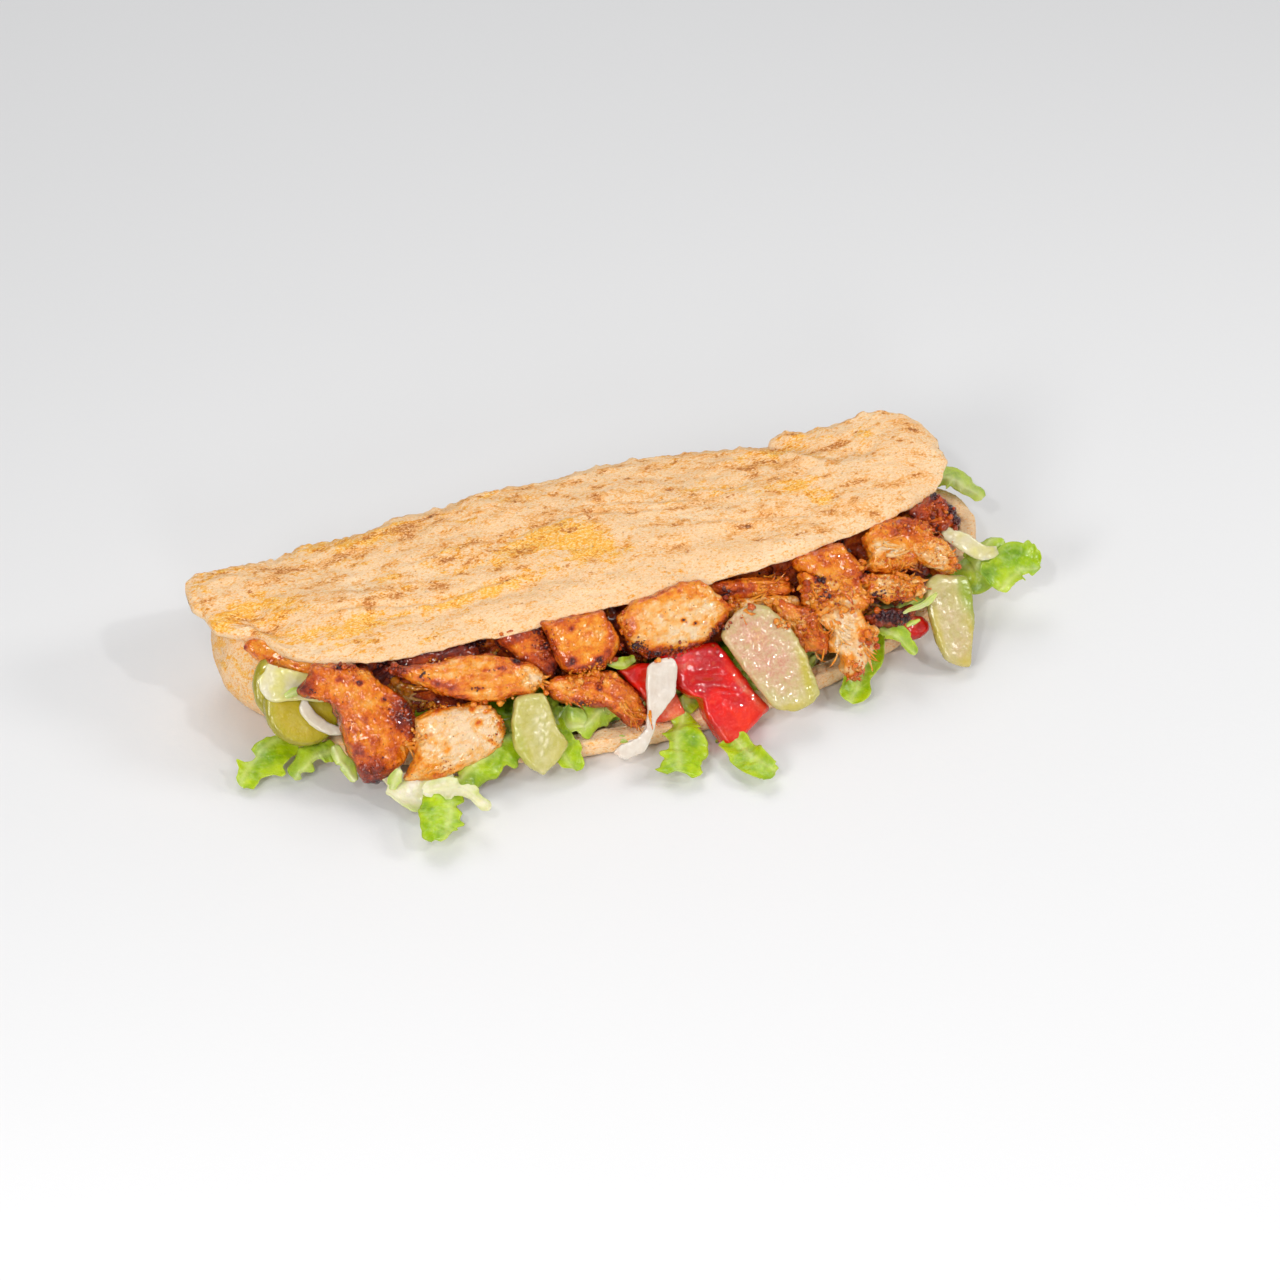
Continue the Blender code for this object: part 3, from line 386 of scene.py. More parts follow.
# ------------------------------------------------------------- the bread's shape
BOAT_HALF_LEN, BOAT_LEFT_LEN = 130.5, 127.2
BOAT_FRONT, BOAT_BACK = 49.0, 44.0
BOAT_FRONT_POW, BOAT_BACK_POW = 1.7, 3.2
FLOOR, LIP, END_RIM, BULGE, WALL = 5.0, 8.0, 19.0, 18.0, 5.0
SHEET_C, SHEET_HALF_LEN, SHEET_FRONT, SHEET_BACK, SHEET_MID, SHEET_T = -7.3, 124.9, 34.0, 30.5, 8.0, 3.0


def sheet_axis(x):
    s = np.abs(x - SHEET_C) / SHEET_HALF_LEN
    return SHEET_MID + np.where(x < SHEET_C, 14.0 * s ** 6, 0.0)


def sheet_front(x):
    s = clamp(np.abs(x - SHEET_C) / SHEET_HALF_LEN)
    y = sheet_axis(x) - SHEET_FRONT * (1 - s ** 2.4) ** (1 / 2.4)
    y = y + 1.1 * wave(x, 0, 26, 1) + 0.5 * wave(x, 0, 8, 2)
    y = y + 1.6 * bump(x, -115.5, 2.6) - 1.2 * bump(x, -105, 6) - 2.9 * bump(x, -83, 20)
    return y + 4.6 * smooth(-122, -130, x) + 0.8 * np.sin(x * 1.05) * smooth(-104, -114, x)


def sheet_back(x):
    s = clamp(np.abs(x - SHEET_C) / SHEET_HALF_LEN)
    half = SHEET_BACK - 4.0 * smooth(20, 110, x)
    y = sheet_axis(x) + half * (1 - s ** 3.2) ** (1 / 3.2)
    y = y + 1.0 * wave(x, 40, 17, 3) + 0.7 * wave(x, 40, 6, 4)
    return y + 2.6 * bump(x, 106, 8) - 2.4 * bump(x, 50, 15)


def sheet_top(x, y, q=None):
    x, y = np.broadcast_arrays(np.asarray(x, float), np.asarray(y, float))
    if q is None:
        yf, yb = sheet_front(x), sheet_back(x)
        q = clamp((y - yf) / np.maximum(yb - yf, 1e-3), -0.25, 1.25)
    zf = 36.7 + 7.4 * smooth(-112, 122, x)
    zb = 38.0 + 8.0 * smooth(-126, 6, x) + 4.6 * bump(x, 104, 17)
    z = mix(zf, zb, q) + 2.6 * (1 - (2 * q - 1) ** 2)
    z = z - 1.3 * bump(q, 0.25, 0.085) * (bump(x, -52, 30) + bump(x, 48, 26))
    z = z + 0.7 * bump(q, 0.12, 0.09) * (bump(x, -52, 34) + bump(x, 48, 30))
    z = z - 2.4 * np.exp(-((x + 114) / 5.5) ** 2 - ((y - 5) / 11) ** 2)
    z = z - 1.5 * np.exp(-((x + 81) / 8.0) ** 2 - ((y - 10) / 6.0) ** 2)
    fold = (x - 70) * 0.55 + (y - 22) * 0.83
    along = -(x - 70) * 0.83 + (y - 22) * 0.55
    z = z + (1.5 * bump(fold, -2.5, 3.2) - 2.0 * bump(fold, 4.0, 5.0)) * bump(along, 4, 15)
    z = z + 1.3 * wave(x, y, 34, 5) + 0.55 * wave(x, y, 13, 6)
    return z - 1.6 * smooth(0.93, 1.04, q) - 0.7 * smooth(0.04, -0.02, q)


def boat_axis(x):
    return -3.0 + np.where(np.asarray(x) < 0, 15.0, 8.0) * (np.abs(x) / 130.0) ** 4


# creases pressed into the upper sheet: line of points, half width, depth, ridge beside it
CREASES = (
    (((-99, 2.5), (-90, 1), (-82, -0.5), (-72, -3.5), (-62, -6.3), (-52, -5.6), (-40, -4.6), (-27, -4.2)), 1.0, 0.75, 0.45),
    (((-79, -7.5), (-70, -8.8), (-60, -8.6)), 0.8, 0.35, 0.2),
    (((26, -0.5), (36, -1.8), (46, -4.2), (56, -6.4), (66, -9.5)), 1.1, 0.65, 0.5),
    (((64.5, 32), (68, 26.5), (71, 22), (74.5, 15.5), (78, 12.5)), 1.0, 1.9, 1.3),
    (((74.5, 16.5), (84, 12.5), (97, 12)), 2.4, 0.95, 0.5),
    (((-68, 15.5), (-60, 13.5), (-50, 15.8), (-38, 15)), 0.9, 0.3, 0.3),
    (((-40, 14.2), (-30, 12), (-16, 15.4), (0, 14.2), (12, 10), (24, 8.6), (38, 7.2)), 0.8, 0.38, 0.35),
    (((-8, 18.4), (6, 17.6), (22, 12.6), (36, 9.6), (50, 10.6)), 0.8, 0.3, 0.3),
    (((34, 15), (44, 12.5), (54, 11)), 0.7, 0.28, 0.25),
    (((-112, 12.5), (-104, 8), (-99, 3.5)), 1.2, 0.35, 0.3),
    (((-119, 8), (-113, 3), (-109, -4)), 1.3, 0.7, 0.5),
    (((84, 18), (92, 20.5), (101, 22)), 1.0, 0.3, 0.3),
)


def line_field(x, y, line):
    """Signed distance from a polyline and how far along it, for arrays of points."""
    best = np.full(x.shape, 1e9)
    sign = np.zeros(x.shape)
    fade = np.zeros(x.shape)
    total = sum(math.dist(a, b) for a, b in zip(line, line[1:]))
    run = 0.0
    for (xa, ya), (xb, yb) in zip(line, line[1:]):
        dx, dy = xb - xa, yb - ya
        ln = math.hypot(dx, dy)
        t = clamp(((x - xa) * dx + (y - ya) * dy) / ln ** 2)
        ex, ey = x - (xa + dx * t), y - (ya + dy * t)
        d = np.hypot(ex, ey)
        near = d < best
        best = np.where(near, d, best)
        sign = np.where(near, np.sign(dx * ey - dy * ex), sign)
        fade = np.where(near, (run + t * ln) / total, fade)
        run += ln
    return best * sign, fade


def sheet_relief(x, y):
    """Fine relief of the upper face, in mm, and how deep it lies in a crease (0..1); the colour uses that depth as
    painted shade in the creases.
    """
    wx = x + 2.5 * n2(x, y, 9, 9, 31)
    wy = y + 1.3 * n2(x, y, 12, 7, 32) + 0.05 * x
    z = np.zeros(x.shape)
    deep = np.zeros(x.shape)
    for line, width, depth, lip in CREASES:
        d, fade = line_field(x + 0.5 * n2(x, y, 3, 3, 33), y + 0.8 * n2(x, y, 6, 4, 34), line)
        live = smooth(0.0, 0.16, fade) * smooth(1.0, 0.84, fade)
        z = z - depth * bump(d, 0, width) * live + lip * bump(d, -2.1 * width, 1.6 * width) * live
        deep = np.maximum(deep, bump(d, 0, width * 0.8) * live * min(1.0, depth * 1.6))
    streaky = 0.35 + 0.65 * smooth(-4, 4, y) * smooth(30, 20, y) * smooth(-118, -80, x) * smooth(86, 60, x)
    z = z + 0.13 * streaky * (ridge(pts(wx / 9, wy / 3.6, 0.3), 35) - 0.6)
    z = z + 0.95 * n2(x, y, 20, 12, 30) + 0.40 * n2(x, y, 7.5, 5.5, 37) + 0.20 * n2(x, y, 3.0, 2.5, 38) + 0.13 * n2(x, y, 1.5, 1.35, 39)
    f1, f2, cell = worley(pts((x / 6.0).ravel(), (y / 4.2).ravel(), 0.5), 40)
    blister = (clamp(1 - (f1 / 0.42) ** 2) * (cell > 0.62)).reshape(x.shape)
    z = z + 0.32 * blister ** 0.8
    return z, deep


# where the oven has coloured the upper face: x, y, half length, half width, turn, strength
GOLD = (
    (-118, 33, 8, 3.5, 8, 0.75), (-129, 25, 3, 7, 0, 0.55), (-119, 12, 9, 4.2, 15, 1.0), (-128, 8, 4, 3.5, -20, 0.8),
    (-105, 9, 9, 5, -30, 0.75), (-112, 2, 5, 3.4, 50, 0.6), (-104, -5, 8, 3, -12, 0.75), (-85, -7.5, 9, 3.8, -8, 1.05),
    (-95, -12, 6, 2.4, -8, 0.45), (-84, -16, 7, 2, -8, 0.5), (-84, 34, 9, 5, -12, 0.85), (-72, 29, 7, 3.6, -18, 0.6),
    (-65, 31, 6, 2.6, 12, 0.7), (-79, 21, 10, 2.6, -8, 0.5), (-71, 11, 4, 4.4, 0, 0.65), (-71, 2, 11, 2.2, 6, 0.65),
    (-53, 11.5, 7, 2.6, 8, 0.6), (-42, -7.2, 18, 2.7, 5, 1.0), (-60, -8.4, 8, 1.9, -3, 0.6), (-25, 7.5, 15, 5.0, 6, 1.1),
    (-8, 4, 8, 4.6, 0, 1.0), (-5, -4, 7, 3.6, 0, 1.1), (-46, 15, 9, 1.6, 4, 0.5), (-34, 35, 10, 3.6, 6, 0.5),
    (-40, 25, 10, 2.4, -4, 0.38), (-17, 30, 8, 2.6, -10, 0.35), (5, -8.5, 6, 2.4, -5, 0.4), (24, 10.8, 5, 1.5, 0, 0.65),
    (36, 15, 5, 2.0, -10, 0.55), (45, 10, 6, 2.6, -24, 0.65), (54, 25, 6, 2.8, 0, 0.6), (58, 5, 7, 2.6, -8, 0.6),
    (67, 4, 6, 3.2, -18, 0.85), (71, -3.2, 4, 2.3, -12, 1.15), (66, 24, 3.4, 4.6, -58, 0.75), (76, 28, 7, 4.4, 10, 0.65),
    (75, 18, 4.5, 2.2, -45, 0.65), (90, 18, 9, 3.0, 12, 0.42), (98, 20, 5, 2, 10, 0.42), (33, 32, 7, 2, 12, 0.55),
    (60, 20, 6, 3, 0, 0.35), (20, 18, 9, 2.2, -4, 0.32), (5, 28, 9, 3, 4, 0.28), (-96, 26, 7, 3, 0, 0.25),
    (-55, 33, 8, 3, 5, 0.3), (101, 29, 5, 2, 10, 0.4), (-66, -20.5, 4, 1.6, 0, 0.6), (-92, -18.5, 8, 1.2, -6, 0.35),
    (-50, 4, 7, 2, 0, 0.3), (-15, 12, 8, 1.6, 4, 0.5), (104, 6, 4, 3, 60, 0.3), (13, -20.5, 6, 1.4, 0, 0.25),
)
# small scorched places
SCORCH = (
    (-50.5, 33, 3.0, 0.75, 12, 1.0), (-33, 35, 2.2, 0.9, 0, 0.55), (-21, 32.5, 2.2, 0.8, 0, 0.6), (-32, 15.6, 2.6, 0.6, 3, 0.95),
    (-29.5, 12.8, 1.8, 0.6, 8, 0.95), (-15, 16.1, 2.6, 0.6, -4, 0.85), (-2.5, 15.3, 2.8, 0.6, -3, 1.0), (-2.5, 11.8, 2.0, 1.1, 10, 0.85),
    (-14, 23, 1.2, 0.9, 0, 0.6), (-15, 20.8, 2.7, 0.55, -4, 0.65), (-55, 13, 2.0, 1.1, 10, 0.7), (-51, 9.6, 3.0, 0.8, 3, 0.75),
    (-59, 2.3, 0.8, 0.6, 0, 0.95), (-57, -3.3, 0.7, 0.5, 0, 0.7), (-36, -5.7, 5.5, 0.45, 3, 0.75), (-17, -6.2, 2.3, 0.55, 5, 0.8),
    (-113, 20.5, 1.1, 0.8, 0, 0.85), (-95, 15.5, 1.0, 0.7, 10, 0.95), (-92, 16, 0.7, 0.6, 0, 0.95), (-98.5, 20.3, 0.6, 0.5, 0, 0.85),
    (-103, 23, 0.9, 0.6, 30, 0.75), (-89, 3.2, 1.3, 0.4, -20, 0.85), (-114, 9, 1.8, 1.0, 0, 0.6), (-112, 36, 0.8, 0.7, 0, 0.6),
    (-66, 29.8, 0.9, 0.6, 0, 0.7), (-87, 24, 1.2, 0.7, 0, 0.5), (-79, 20, 2.2, 0.6, 0, 0.55), (-105, -5, 1.2, 0.7, 0, 0.6),
    (-110, -3, 0.6, 0.4, 0, 0.75), (-84, -13.6, 1.5, 0.8, 0, 0.5), (-83, -16.6, 1.6, 0.7, 0, 0.6), (-88, -15, 1.1, 0.8, 0, 0.5),
    (-65, -21, 1.5, 0.9, 0, 0.5), (-35, -16.6, 1.6, 0.9, 0, 0.5), (-10, -11.6, 1.2, 0.8, 0, 0.5), (-5, -16, 1.2, 0.7, 0, 0.5),
    (-15, -14, 1.4, 0.9, 0, 0.4), (10.5, 10, 2.7, 0.6, 0, 0.85), (31, 8.7, 1.6, 0.6, 0, 0.75), (35, 7.5, 3.2, 0.6, 0, 0.55),
    (26.5, 17.8, 1.9, 0.7, -8, 0.65), (32, 21.2, 1.5, 0.6, 0, 0.6), (15, 27.5, 2.0, 0.8, 8, 0.65), (34, 32, 3.0, 0.8, 12, 0.7),
    (27, 30, 2.1, 0.8, 10, 0.55), (47, 29, 2.1, 0.8, -12, 0.5), (46, 12, 1.3, 0.9, 0, 0.6), (43, 7.5, 3.0, 0.7, -5, 0.6),
    (41, 2.2, 1.0, 0.8, 0, 0.75), (57.5, 3, 1.3, 0.6, 0, 0.95), (76, 5.4, 0.9, 0.6, 0, 1.0), (43.5, -7.3, 1.9, 0.6, 0, 1.1),
    (42.5, -7, 4.2, 1.2, -8, 0.5), (53.5, -5.5, 3.2, 0.9, -8, 0.5), (52, -8, 3.2, 0.9, -16, 0.5), (21.5, -12.3, 1.2, 1.0, 0, 0.95),
    (45.5, -14.7, 2.7, 0.9, -12, 0.8), (58, -17, 3.7, 0.7, 10, 0.65), (64, -14, 1.5, 1.6, 0, 0.42), (73, -14, 1.3, 1.4, 0, 0.4),
    (14, -8.8, 3.2, 0.7, -8, 0.5), (63.5, 18.5, 1.6, 0.9, -58, 0.85), (67, 16.5, 1.1, 0.7, 0, 0.75), (64, 13.6, 2.1, 0.7, 0, 0.6),
    (111, 15.5, 1.7, 1.2, -20, 1.15), (93, 21.5, 1.3, 0.45, 8, 0.95), (102.5, 13, 0.8, 0.5, 0, 0.6), (108, 9.5, 0.7, 0.6, 0, 0.65),
    (93.5, -3, 0.9, 0.5, 0, 0.75), (98.5, -4.5, 0.9, 0.5, 0, 0.75), (81, 9.3, 1.1, 0.5, 0, 0.6), (85, 2.5, 1.3, 0.7, 0, 0.4),
    (103, 5, 0.7, 1.4, 0, 0.5), (58, -10, 1.1, 0.6, 0, 0.55), (71, 22, 0.5, 3.2, 28, 0.8), (-71, 20, 1.0, 0.6, 0, 0.4),
    (-8, -8, 1.0, 0.6, 0, 0.4), (11, 2, 1.2, 0.7, 0, 0.35), (27, 24, 1.6, 0.6, 0, 0.5), (44, 25, 1.8, 0.6, 0, 0.45),
)
# broad warmer and paler places
TOAST = (
    (88, -12, 22, 7, 14, 0.75), (45, -9, 18, 6, -4, 0.6), (58, -15, 12, 3.5, 6, 0.45), (78, -13, 9, 3.5, 8, 0.45), (30, 14, 34, 9, -4, 0.35), (-15, -14, 30, 5, 0, 0.3), (-80, -13, 16, 5, 0, 0.35),
    (13, -20.5, 6, 1.6, 0, 0.7), (10, 22, 30, 6, 0, 0.35), (-100, 20, 14, 8, 0, 0.3), (70, 20, 16, 9, -30, 0.4),
    (-50, 20, 20, 8, 0, 0.3), (110, 10, 7, 14, 0, 0.3), (-115, 10, 8, 4, 0, 0.3), (-20, 35, 40, 3, 0, 0.45), (40, 30, 30, 3, -4, 0.45),
)
PALE = (
    (-81, 9, 5, 6.5, 0, 0.9), (-118, 3, 6, 3.5, 10, 0.9), (-60, 8, 9, 4, 0, 0.35), (0, 0, 9, 2.5, 0, 0.35), (25, 2, 18, 3, 0, 0.5),
    (-38, 3, 6, 4, 0, 0.3), (60, -19, 30, 2.4, 10, 0.75), (35, -22, 18, 2.0, 3, 0.6), (-100, -14, 12, 3.4, -28, 0.7), (-30, -20, 30, 2.4, 0, 0.45),
    (80, 8, 10, 5, 0, 0.35), (112, 2, 5, 8, 0, 0.5), (-130, 17, 4, 5, 0, 0.4), (88, 27, 8, 3, 0, 0.5),
)


def scatter_freckles():
    """Small toasted blisters, thickest over the middle and the hinge side."""
    r = rng(7)
    out = []
    while len(out) < 640:
        x, y, pick = r.uniform(-130, 116), r.uniform(-26, 38), r.random()
        lift = smooth(-16, 0, y + 0.05 * x) * (1 - 0.35 * bump(y, 4, 4) * (x > -20))
        if pick < 0.10 + 0.90 * lift:
            size = r.uniform(0.45, 1.0) ** 1.5
            out.append((x, y, 4.6 * size * r.uniform(0.5, 1.2), 1.75 * size * r.uniform(0.6, 1.3), r.uniform(-16, 10), r.uniform(0.4, 1.1)))
    return out


FRECKLES = scatter_freckles()


def gather(x, y, table, hard=1.0):
    out = np.zeros(x.shape)
    for cx, cy, rx, ry, turn, k in table:
        near = (np.abs(x - cx) < 3.2 * max(rx, ry)) & (np.abs(y - cy) < 3.2 * max(rx, ry))
        if near.any():
            out[near] += k * blob(x[near], y[near], cx, cy, rx, ry, turn, hard)
    return out


def sheet_marks(x, y, deep):
    wx, wy = x + 2.2 * n2(x, y, 6, 6, 51), y + 0.05 * x + 1.0 * n2(x, y, 8, 5, 52)
    streak = n2(wx, wy, 5.0, 1.8, 53)
    fine = n2(x, y, 1.7, 0.9, 54) * 0.6 + n2(x, y, 0.85, 0.6, 55) * 0.4
    patch = n2(wx, wy, 3.4, 2.1, 59)
    g = gather(x, y, [(p, q, r * 1.15, t * 1.25, e, k) for p, q, r, t, e, k in GOLD])
    gold = smooth(0.14, 0.98, 0.95 * g + 0.42 * streak + 0.45 * fine + 0.42 * patch)
    faint = smooth(0.10, 0.85, 0.55 * streak + 0.6 * fine + 0.45 * patch + 0.40 * n2(x, y, 16, 9, 56))
    broad = 0.42 * gather(x, y, TOAST) * (0.7 + 0.7 * patch + 0.4 * fine)
    s = gather(x + 0.35 * n2(x, y, 1.2, 1.2, 57), y + 0.25 * n2(x, y, 1.2, 0.9, 58), SCORCH, 1.25)
    freckle = gather(x + 0.6 * n2(x, y, 1.6, 1.4, 48), y + 0.45 * n2(x, y, 1.4, 1.0, 49), FRECKLES, 1.1)
    halo = gather(x, y, [(a, b, c * 1.9, d * 1.9, e, k) for a, b, c, d, e, k in SCORCH])
    # besides real toasting, the 0.25 * deep term paints shade into the crease bottoms
    toast = clamp(broad + 0.62 * faint + 0.35 * smooth(0.3, 1.0, g) * smooth(0.0, 0.6, patch + 0.6 * fine)
                  + 0.95 * freckle * (0.8 + 0.7 * fine) + 0.6 * halo + 0.25 * deep)
    scorch = clamp(0.85 * clamp(s * (0.80 + 0.7 * fine)) + 0.42 * smooth(0.70, 1.3, freckle + 0.5 * fine))
    pale = clamp(gather(x, y, PALE) - 0.3 * streak) * (1 - gold)
    return gold, toast, scorch, pale


def hinge_wall(x, z):
    """y of the outside of the closed back wall."""
    s = clamp(np.abs(x) / np.where(x > 0, BOAT_HALF_LEN, BOAT_LEFT_LEN))
    half = BOAT_BACK - 8.0 * smooth(50, 125, x)
    y = boat_axis(x) + half * (1 - s ** BOAT_BACK_POW) ** (1 / BOAT_BACK_POW)
    y = y - 0.8 * wave(x, y, 15, 8)
    top = 44.0
    t = clamp((z - BULGE) / (top - BULGE))
    low = clamp(1 - z / BULGE)
    return y - 5.0 * t ** 2 - 16.0 * (1 - np.sqrt(np.maximum(0.0, 1 - low ** 2)))


# the lobed front edge of the sheet at its left end: x, y
LEFT_X = (-132.3, -131.2, -130.3, -129.4, -128.9, -128.4, -127.4, -126.2, -123.7, -120.4, -117.4, -116.0, -115.3, -114.2, -112.3, -110.1, -107.7, -103.4, -100.4, -96.5)
LEFT_Y = (20.5, 17.6, 16.3, 15.2, 12.0, 8.6, 7.0, 6.2, 4.2, 2.8, 1.6, -0.4, -2.6, -4.6, -7.2, -10.0, -12.8, -16.2, -18.2, -20.0)


def make_sheet(material):
    nx, nq, ns, nin, nb = 410, 100, 16, 4, 24
    t = np.linspace(-1, 1, nx)
    xs = SHEET_C + SHEET_HALF_LEN * 0.99993 * (0.62 * t + 0.38 * np.sin(t * math.pi / 2))
    yf, yb = sheet_front(xs), sheet_back(xs)
    inside = clamp((SHEET_HALF_LEN - np.abs(xs - SHEET_C)) / 6.0)
    # ragged edges: fine teeth, a torn notch by the fold and a few raised flakes
    yf = yf + inside * (0.22 * n2(xs, 0, 2.2, 1, 61) + 0.07 * n2(xs, 0, 0.9, 1, 62) + 0.5 * n2(xs, 3, 5.5, 1, 63))
    yf = mix(np.interp(xs, LEFT_X, LEFT_Y) + 0.25 * n2(xs, 0, 1.3, 1, 60), yf, smooth(-101, -94, xs))
    yf = yf - 0.9 * bump(xs, -65.5, 4.0) - 0.7 * bump(xs, 64, 7) + 1.0 * bump(xs, 16, 4.5) - 0.5 * bump(xs, 23, 3)
    yb = yb + inside * (0.9 * n2(xs, 0, 5.2, 1, 64) + 0.55 * n2(xs, 5, 2.1, 1, 65) + 0.25 * n2(xs, 7, 0.9, 1, 66))
    yb = yb - 3.4 * bump(xs, 65.0, 2.0) + 1.5 * bump(xs, 73, 4.5) + 1.8 * bump(xs, 21, 2.4) - 1.4 * bump(xs, -70, 6) \
        + 1.0 * bump(xs, -88, 4) + 0.9 * bump(xs, -28, 9) - 1.2 * bump(xs, -8, 9) - 1.0 * bump(xs, 88, 4) \
        + 1.3 * bump(xs, -91.5, 2.2) + 1.2 * bump(xs, -21, 1.0) + 1.0 * bump(xs, 106, 5)
    q = np.linspace(0, 1, nq)
    q = 0.5 * q + 0.5 * (1 - np.cos(math.pi * q)) / 2
    X = np.repeat(xs[:, None], nq, 1)
    Y = mix(yf[:, None], yb[:, None], q[None, :])
    edge = np.minimum(np.minimum(q, 1 - q)[None, :] * (yb - yf)[:, None],
                      (SHEET_HALF_LEN - np.abs(X - SHEET_C)) * 1.2 + 0.2)
    # scalloped ends
    pull = smooth(5.0, 0.0, SHEET_HALF_LEN - np.abs(X - SHEET_C))
    side = np.sign(X - SHEET_C)
    X = X + side * pull * (X > 0) * (1.5 * n2(Y, X * 0, 5.0, 1, 67) + 1.0 * n2(Y, X * 0, 2.2, 1, 68) + 0.9 * bump(Y, 8, 5))
    # towards the tips the sheet is narrow: its slope and belly fade with its width
    span = (yb - yf)[:, None]
    Q = 0.5 + (q[None, :] - 0.5) * span / np.maximum(span, 34.0)
    sink = 2.6 * clamp(1 - span / 34.0) * np.ones_like(Q)
    Z = sheet_top(X, Y, Q) - sink
    Z = Z + (2.3 * np.exp(-((X + 114) / 6.5) ** 2) + 0.7) * np.exp(-((Y - yf[:, None]) / 6.0) ** 2) * smooth(-98, -108, X)
    relief, deep = (a.reshape(X.shape) for a in sheet_relief(X.ravel(), Y.ravel()))
    # deep also darkens the creases in colour: painted shade
    gold, toast, scorch, pale = (a.reshape(X.shape) for a in sheet_marks(X.ravel(), Y.ravel(), deep.ravel()))
    body = smooth(0.0, 2.5, edge)
    Z = Z + relief * (0.35 + 0.65 * body) - 0.25 * scorch * body
    # the rim curls and flakes a little
    Z = Z + (1 - smooth(0.0, 3.2, edge)) * (0.55 * n2(X, Y, 4.2, 3.0, 69) + 0.25 * n2(X, Y, 1.5, 1.2, 70))
    back = smooth(0.9, 1.0, q)[None, :] * inside[:, None]
    Z = Z + back * (0.9 * clamp(n2(X, X * 0, 4.0, 1, 71)) + 0.5 * clamp(n2(X, X * 0 + 3, 1.7, 1, 72)))
    th = SHEET_T * mix(0.30, 1.0, smooth(0, 5.0, edge))
    rows = [np.stack([X, Y, Z], -1)]
    at = [dict(gold=gold, toast=toast, scorch=scorch, pale=pale, inner=X * 0, edge=1 - smooth(0.0, 0.9, edge))]
    # the skin goes on over the hinge, down the back wall
    s = np.linspace(0, 1, ns + 1)[1:]
    reach = smooth(-121, -108, xs) * smooth(112, 98, xs)
    ze, ye = Z[:, -1], Y[:, -1]
    tip = clamp((yb - yf) / 10.0)
    low = mix(ze - 1.4 * tip, 9.0, reach)
    Sz = mix(ze[:, None] - 0.2, low[:, None], s[None, :] ** 1.15)
    Sx = np.repeat(xs[:, None], ns, 1)
    wall = hinge_wall(Sx, Sz) + 0.9 * (1 - s[None, :]) - 0.9 * s[None, :] ** 3
    blend = smooth(0, 0.30, s)[None, :] * reach[:, None]
    Sy = mix(ye[:, None] + 0.25 * np.sin(s[None, :] * math.pi), wall, blend)
    Sy = Sy + reach[:, None] * (0.45 * n2(Sx, Sz, 7, 4, 73) + 0.2 * n2(Sx, Sz, 2.4, 1.4, 74)) * smooth(0, 0.2, s)[None, :] * (1 - s[None, :] ** 4)
    rows.append(np.stack([Sx, Sy, Sz], -1))
    sg = smooth(0.15, 0.8, n2(Sx, Sz, 13, 6, 75) + 0.5 * n2(Sx, Sz, 3, 2, 76) + 0.15)
    stain = smooth(0.0, 1.0, n2(Sx, Sz, 9, 7, 77) + 0.4 * n2(Sx, Sz, 2, 1.4, 78))
    dabs = smooth(0.30, 0.75, n2(Sx, Sz, 3.6, 1.5, 86) + 0.5 * n2(Sx, Sz, 1.5, 0.9, 87))
    at.append(dict(gold=sg * 0.95, toast=clamp(stain * 0.75 + 0.65 * dabs), scorch=smooth(0.62, 0.95, n2(Sx, Sz, 3.2, 1.4, 79)) * 0.8,
                   pale=smooth(0.2, 0.8, n2(Sx, Sz, 15, 8, 80)) * 0.5, inner=Sx * 0, edge=Sx * 0))
    # its inside, hidden in the wall, then the underside back to the front edge
    si = np.linspace(0.96, 0.1, nin)
    Iz = mix((ze - 0.8 - 1.4 * tip)[:, None], low[:, None], si[None, :] ** 1.15)
    Ix = np.repeat(xs[:, None], nin, 1)
    Iy = mix((ye - tip)[:, None], hinge_wall(Ix, Iz) - 1.6, smooth(0, 0.30, si)[None, :] * reach[:, None])
    rows.append(np.stack([Ix, Iy, Iz], -1))
    at.append(dict(gold=Ix * 0, toast=Ix * 0, scorch=Ix * 0, pale=Ix * 0 + 1, inner=Ix * 0 + 1, edge=Ix * 0))
    qb = np.linspace(0.985, 0.0, nb)
    idx = np.searchsorted(q, qb).clip(0, nq - 1)
    Bx, By = X[:, idx], Y[:, idx]
    Bz = sheet_top(Bx, By, Q[:, idx]) - sink[:, idx] - th[:, idx] + 0.35 * n2(Bx, By, 5, 4, 81) + 0.14 * n2(Bx, By, 1.8, 1.6, 82)
    Bz = np.minimum(Bz, Z[:, idx] - 0.45 * SHEET_T * mix(0.55, 1.0, smooth(0, 3, edge[:, idx])))
    rows.append(np.stack([Bx, By, Bz], -1))
    at.append(dict(gold=Bx * 0, toast=smooth(0.2, 1, n2(Bx, By, 8, 6, 83)) * 0.5, scorch=Bx * 0, pale=Bx * 0 + 0.8,
                   inner=Bx * 0 + 1, edge=Bx * 0))
    # the front rim bulges out between the two faces
    F = []
    for k, out in ((0.70, 0.22), (0.35, 0.26)):
        p = mix(rows[0][:, 0], rows[-1][:, -1], k).copy()
        p[:, 1] -= out * inside * (1 + 0.4 * n2(xs, k * 9, 1.6, 1, 84))
        F.append(p)
    rows.append(np.stack(F, 1))
    Fx = rows[-1][..., 0]
    at.append(dict(gold=Fx * 0, toast=smooth(-0.2, 1, n2(Fx, Fx * 0, 3, 1, 85)) * 0.6, scorch=Fx * 0, pale=Fx * 0 + 0.3,
                   inner=Fx * 0 + 0.5, edge=Fx * 0 + 1))
    P = np.concatenate(rows, 1)
    nv = P.shape[1]
    f = grid_faces(nx, nv, wrap_v=True, flip=True).tolist()
    f.append(list(range(nv)))
    f.append([(nx - 1) * nv + k for k in range(nv - 1, -1, -1)])
    attrs = {k: np.concatenate([a[k] for a in at], 1).ravel() for k in at[0]}
    return make("bread_top", P.reshape(-1, 3), f, material, ["bread"], attrs)


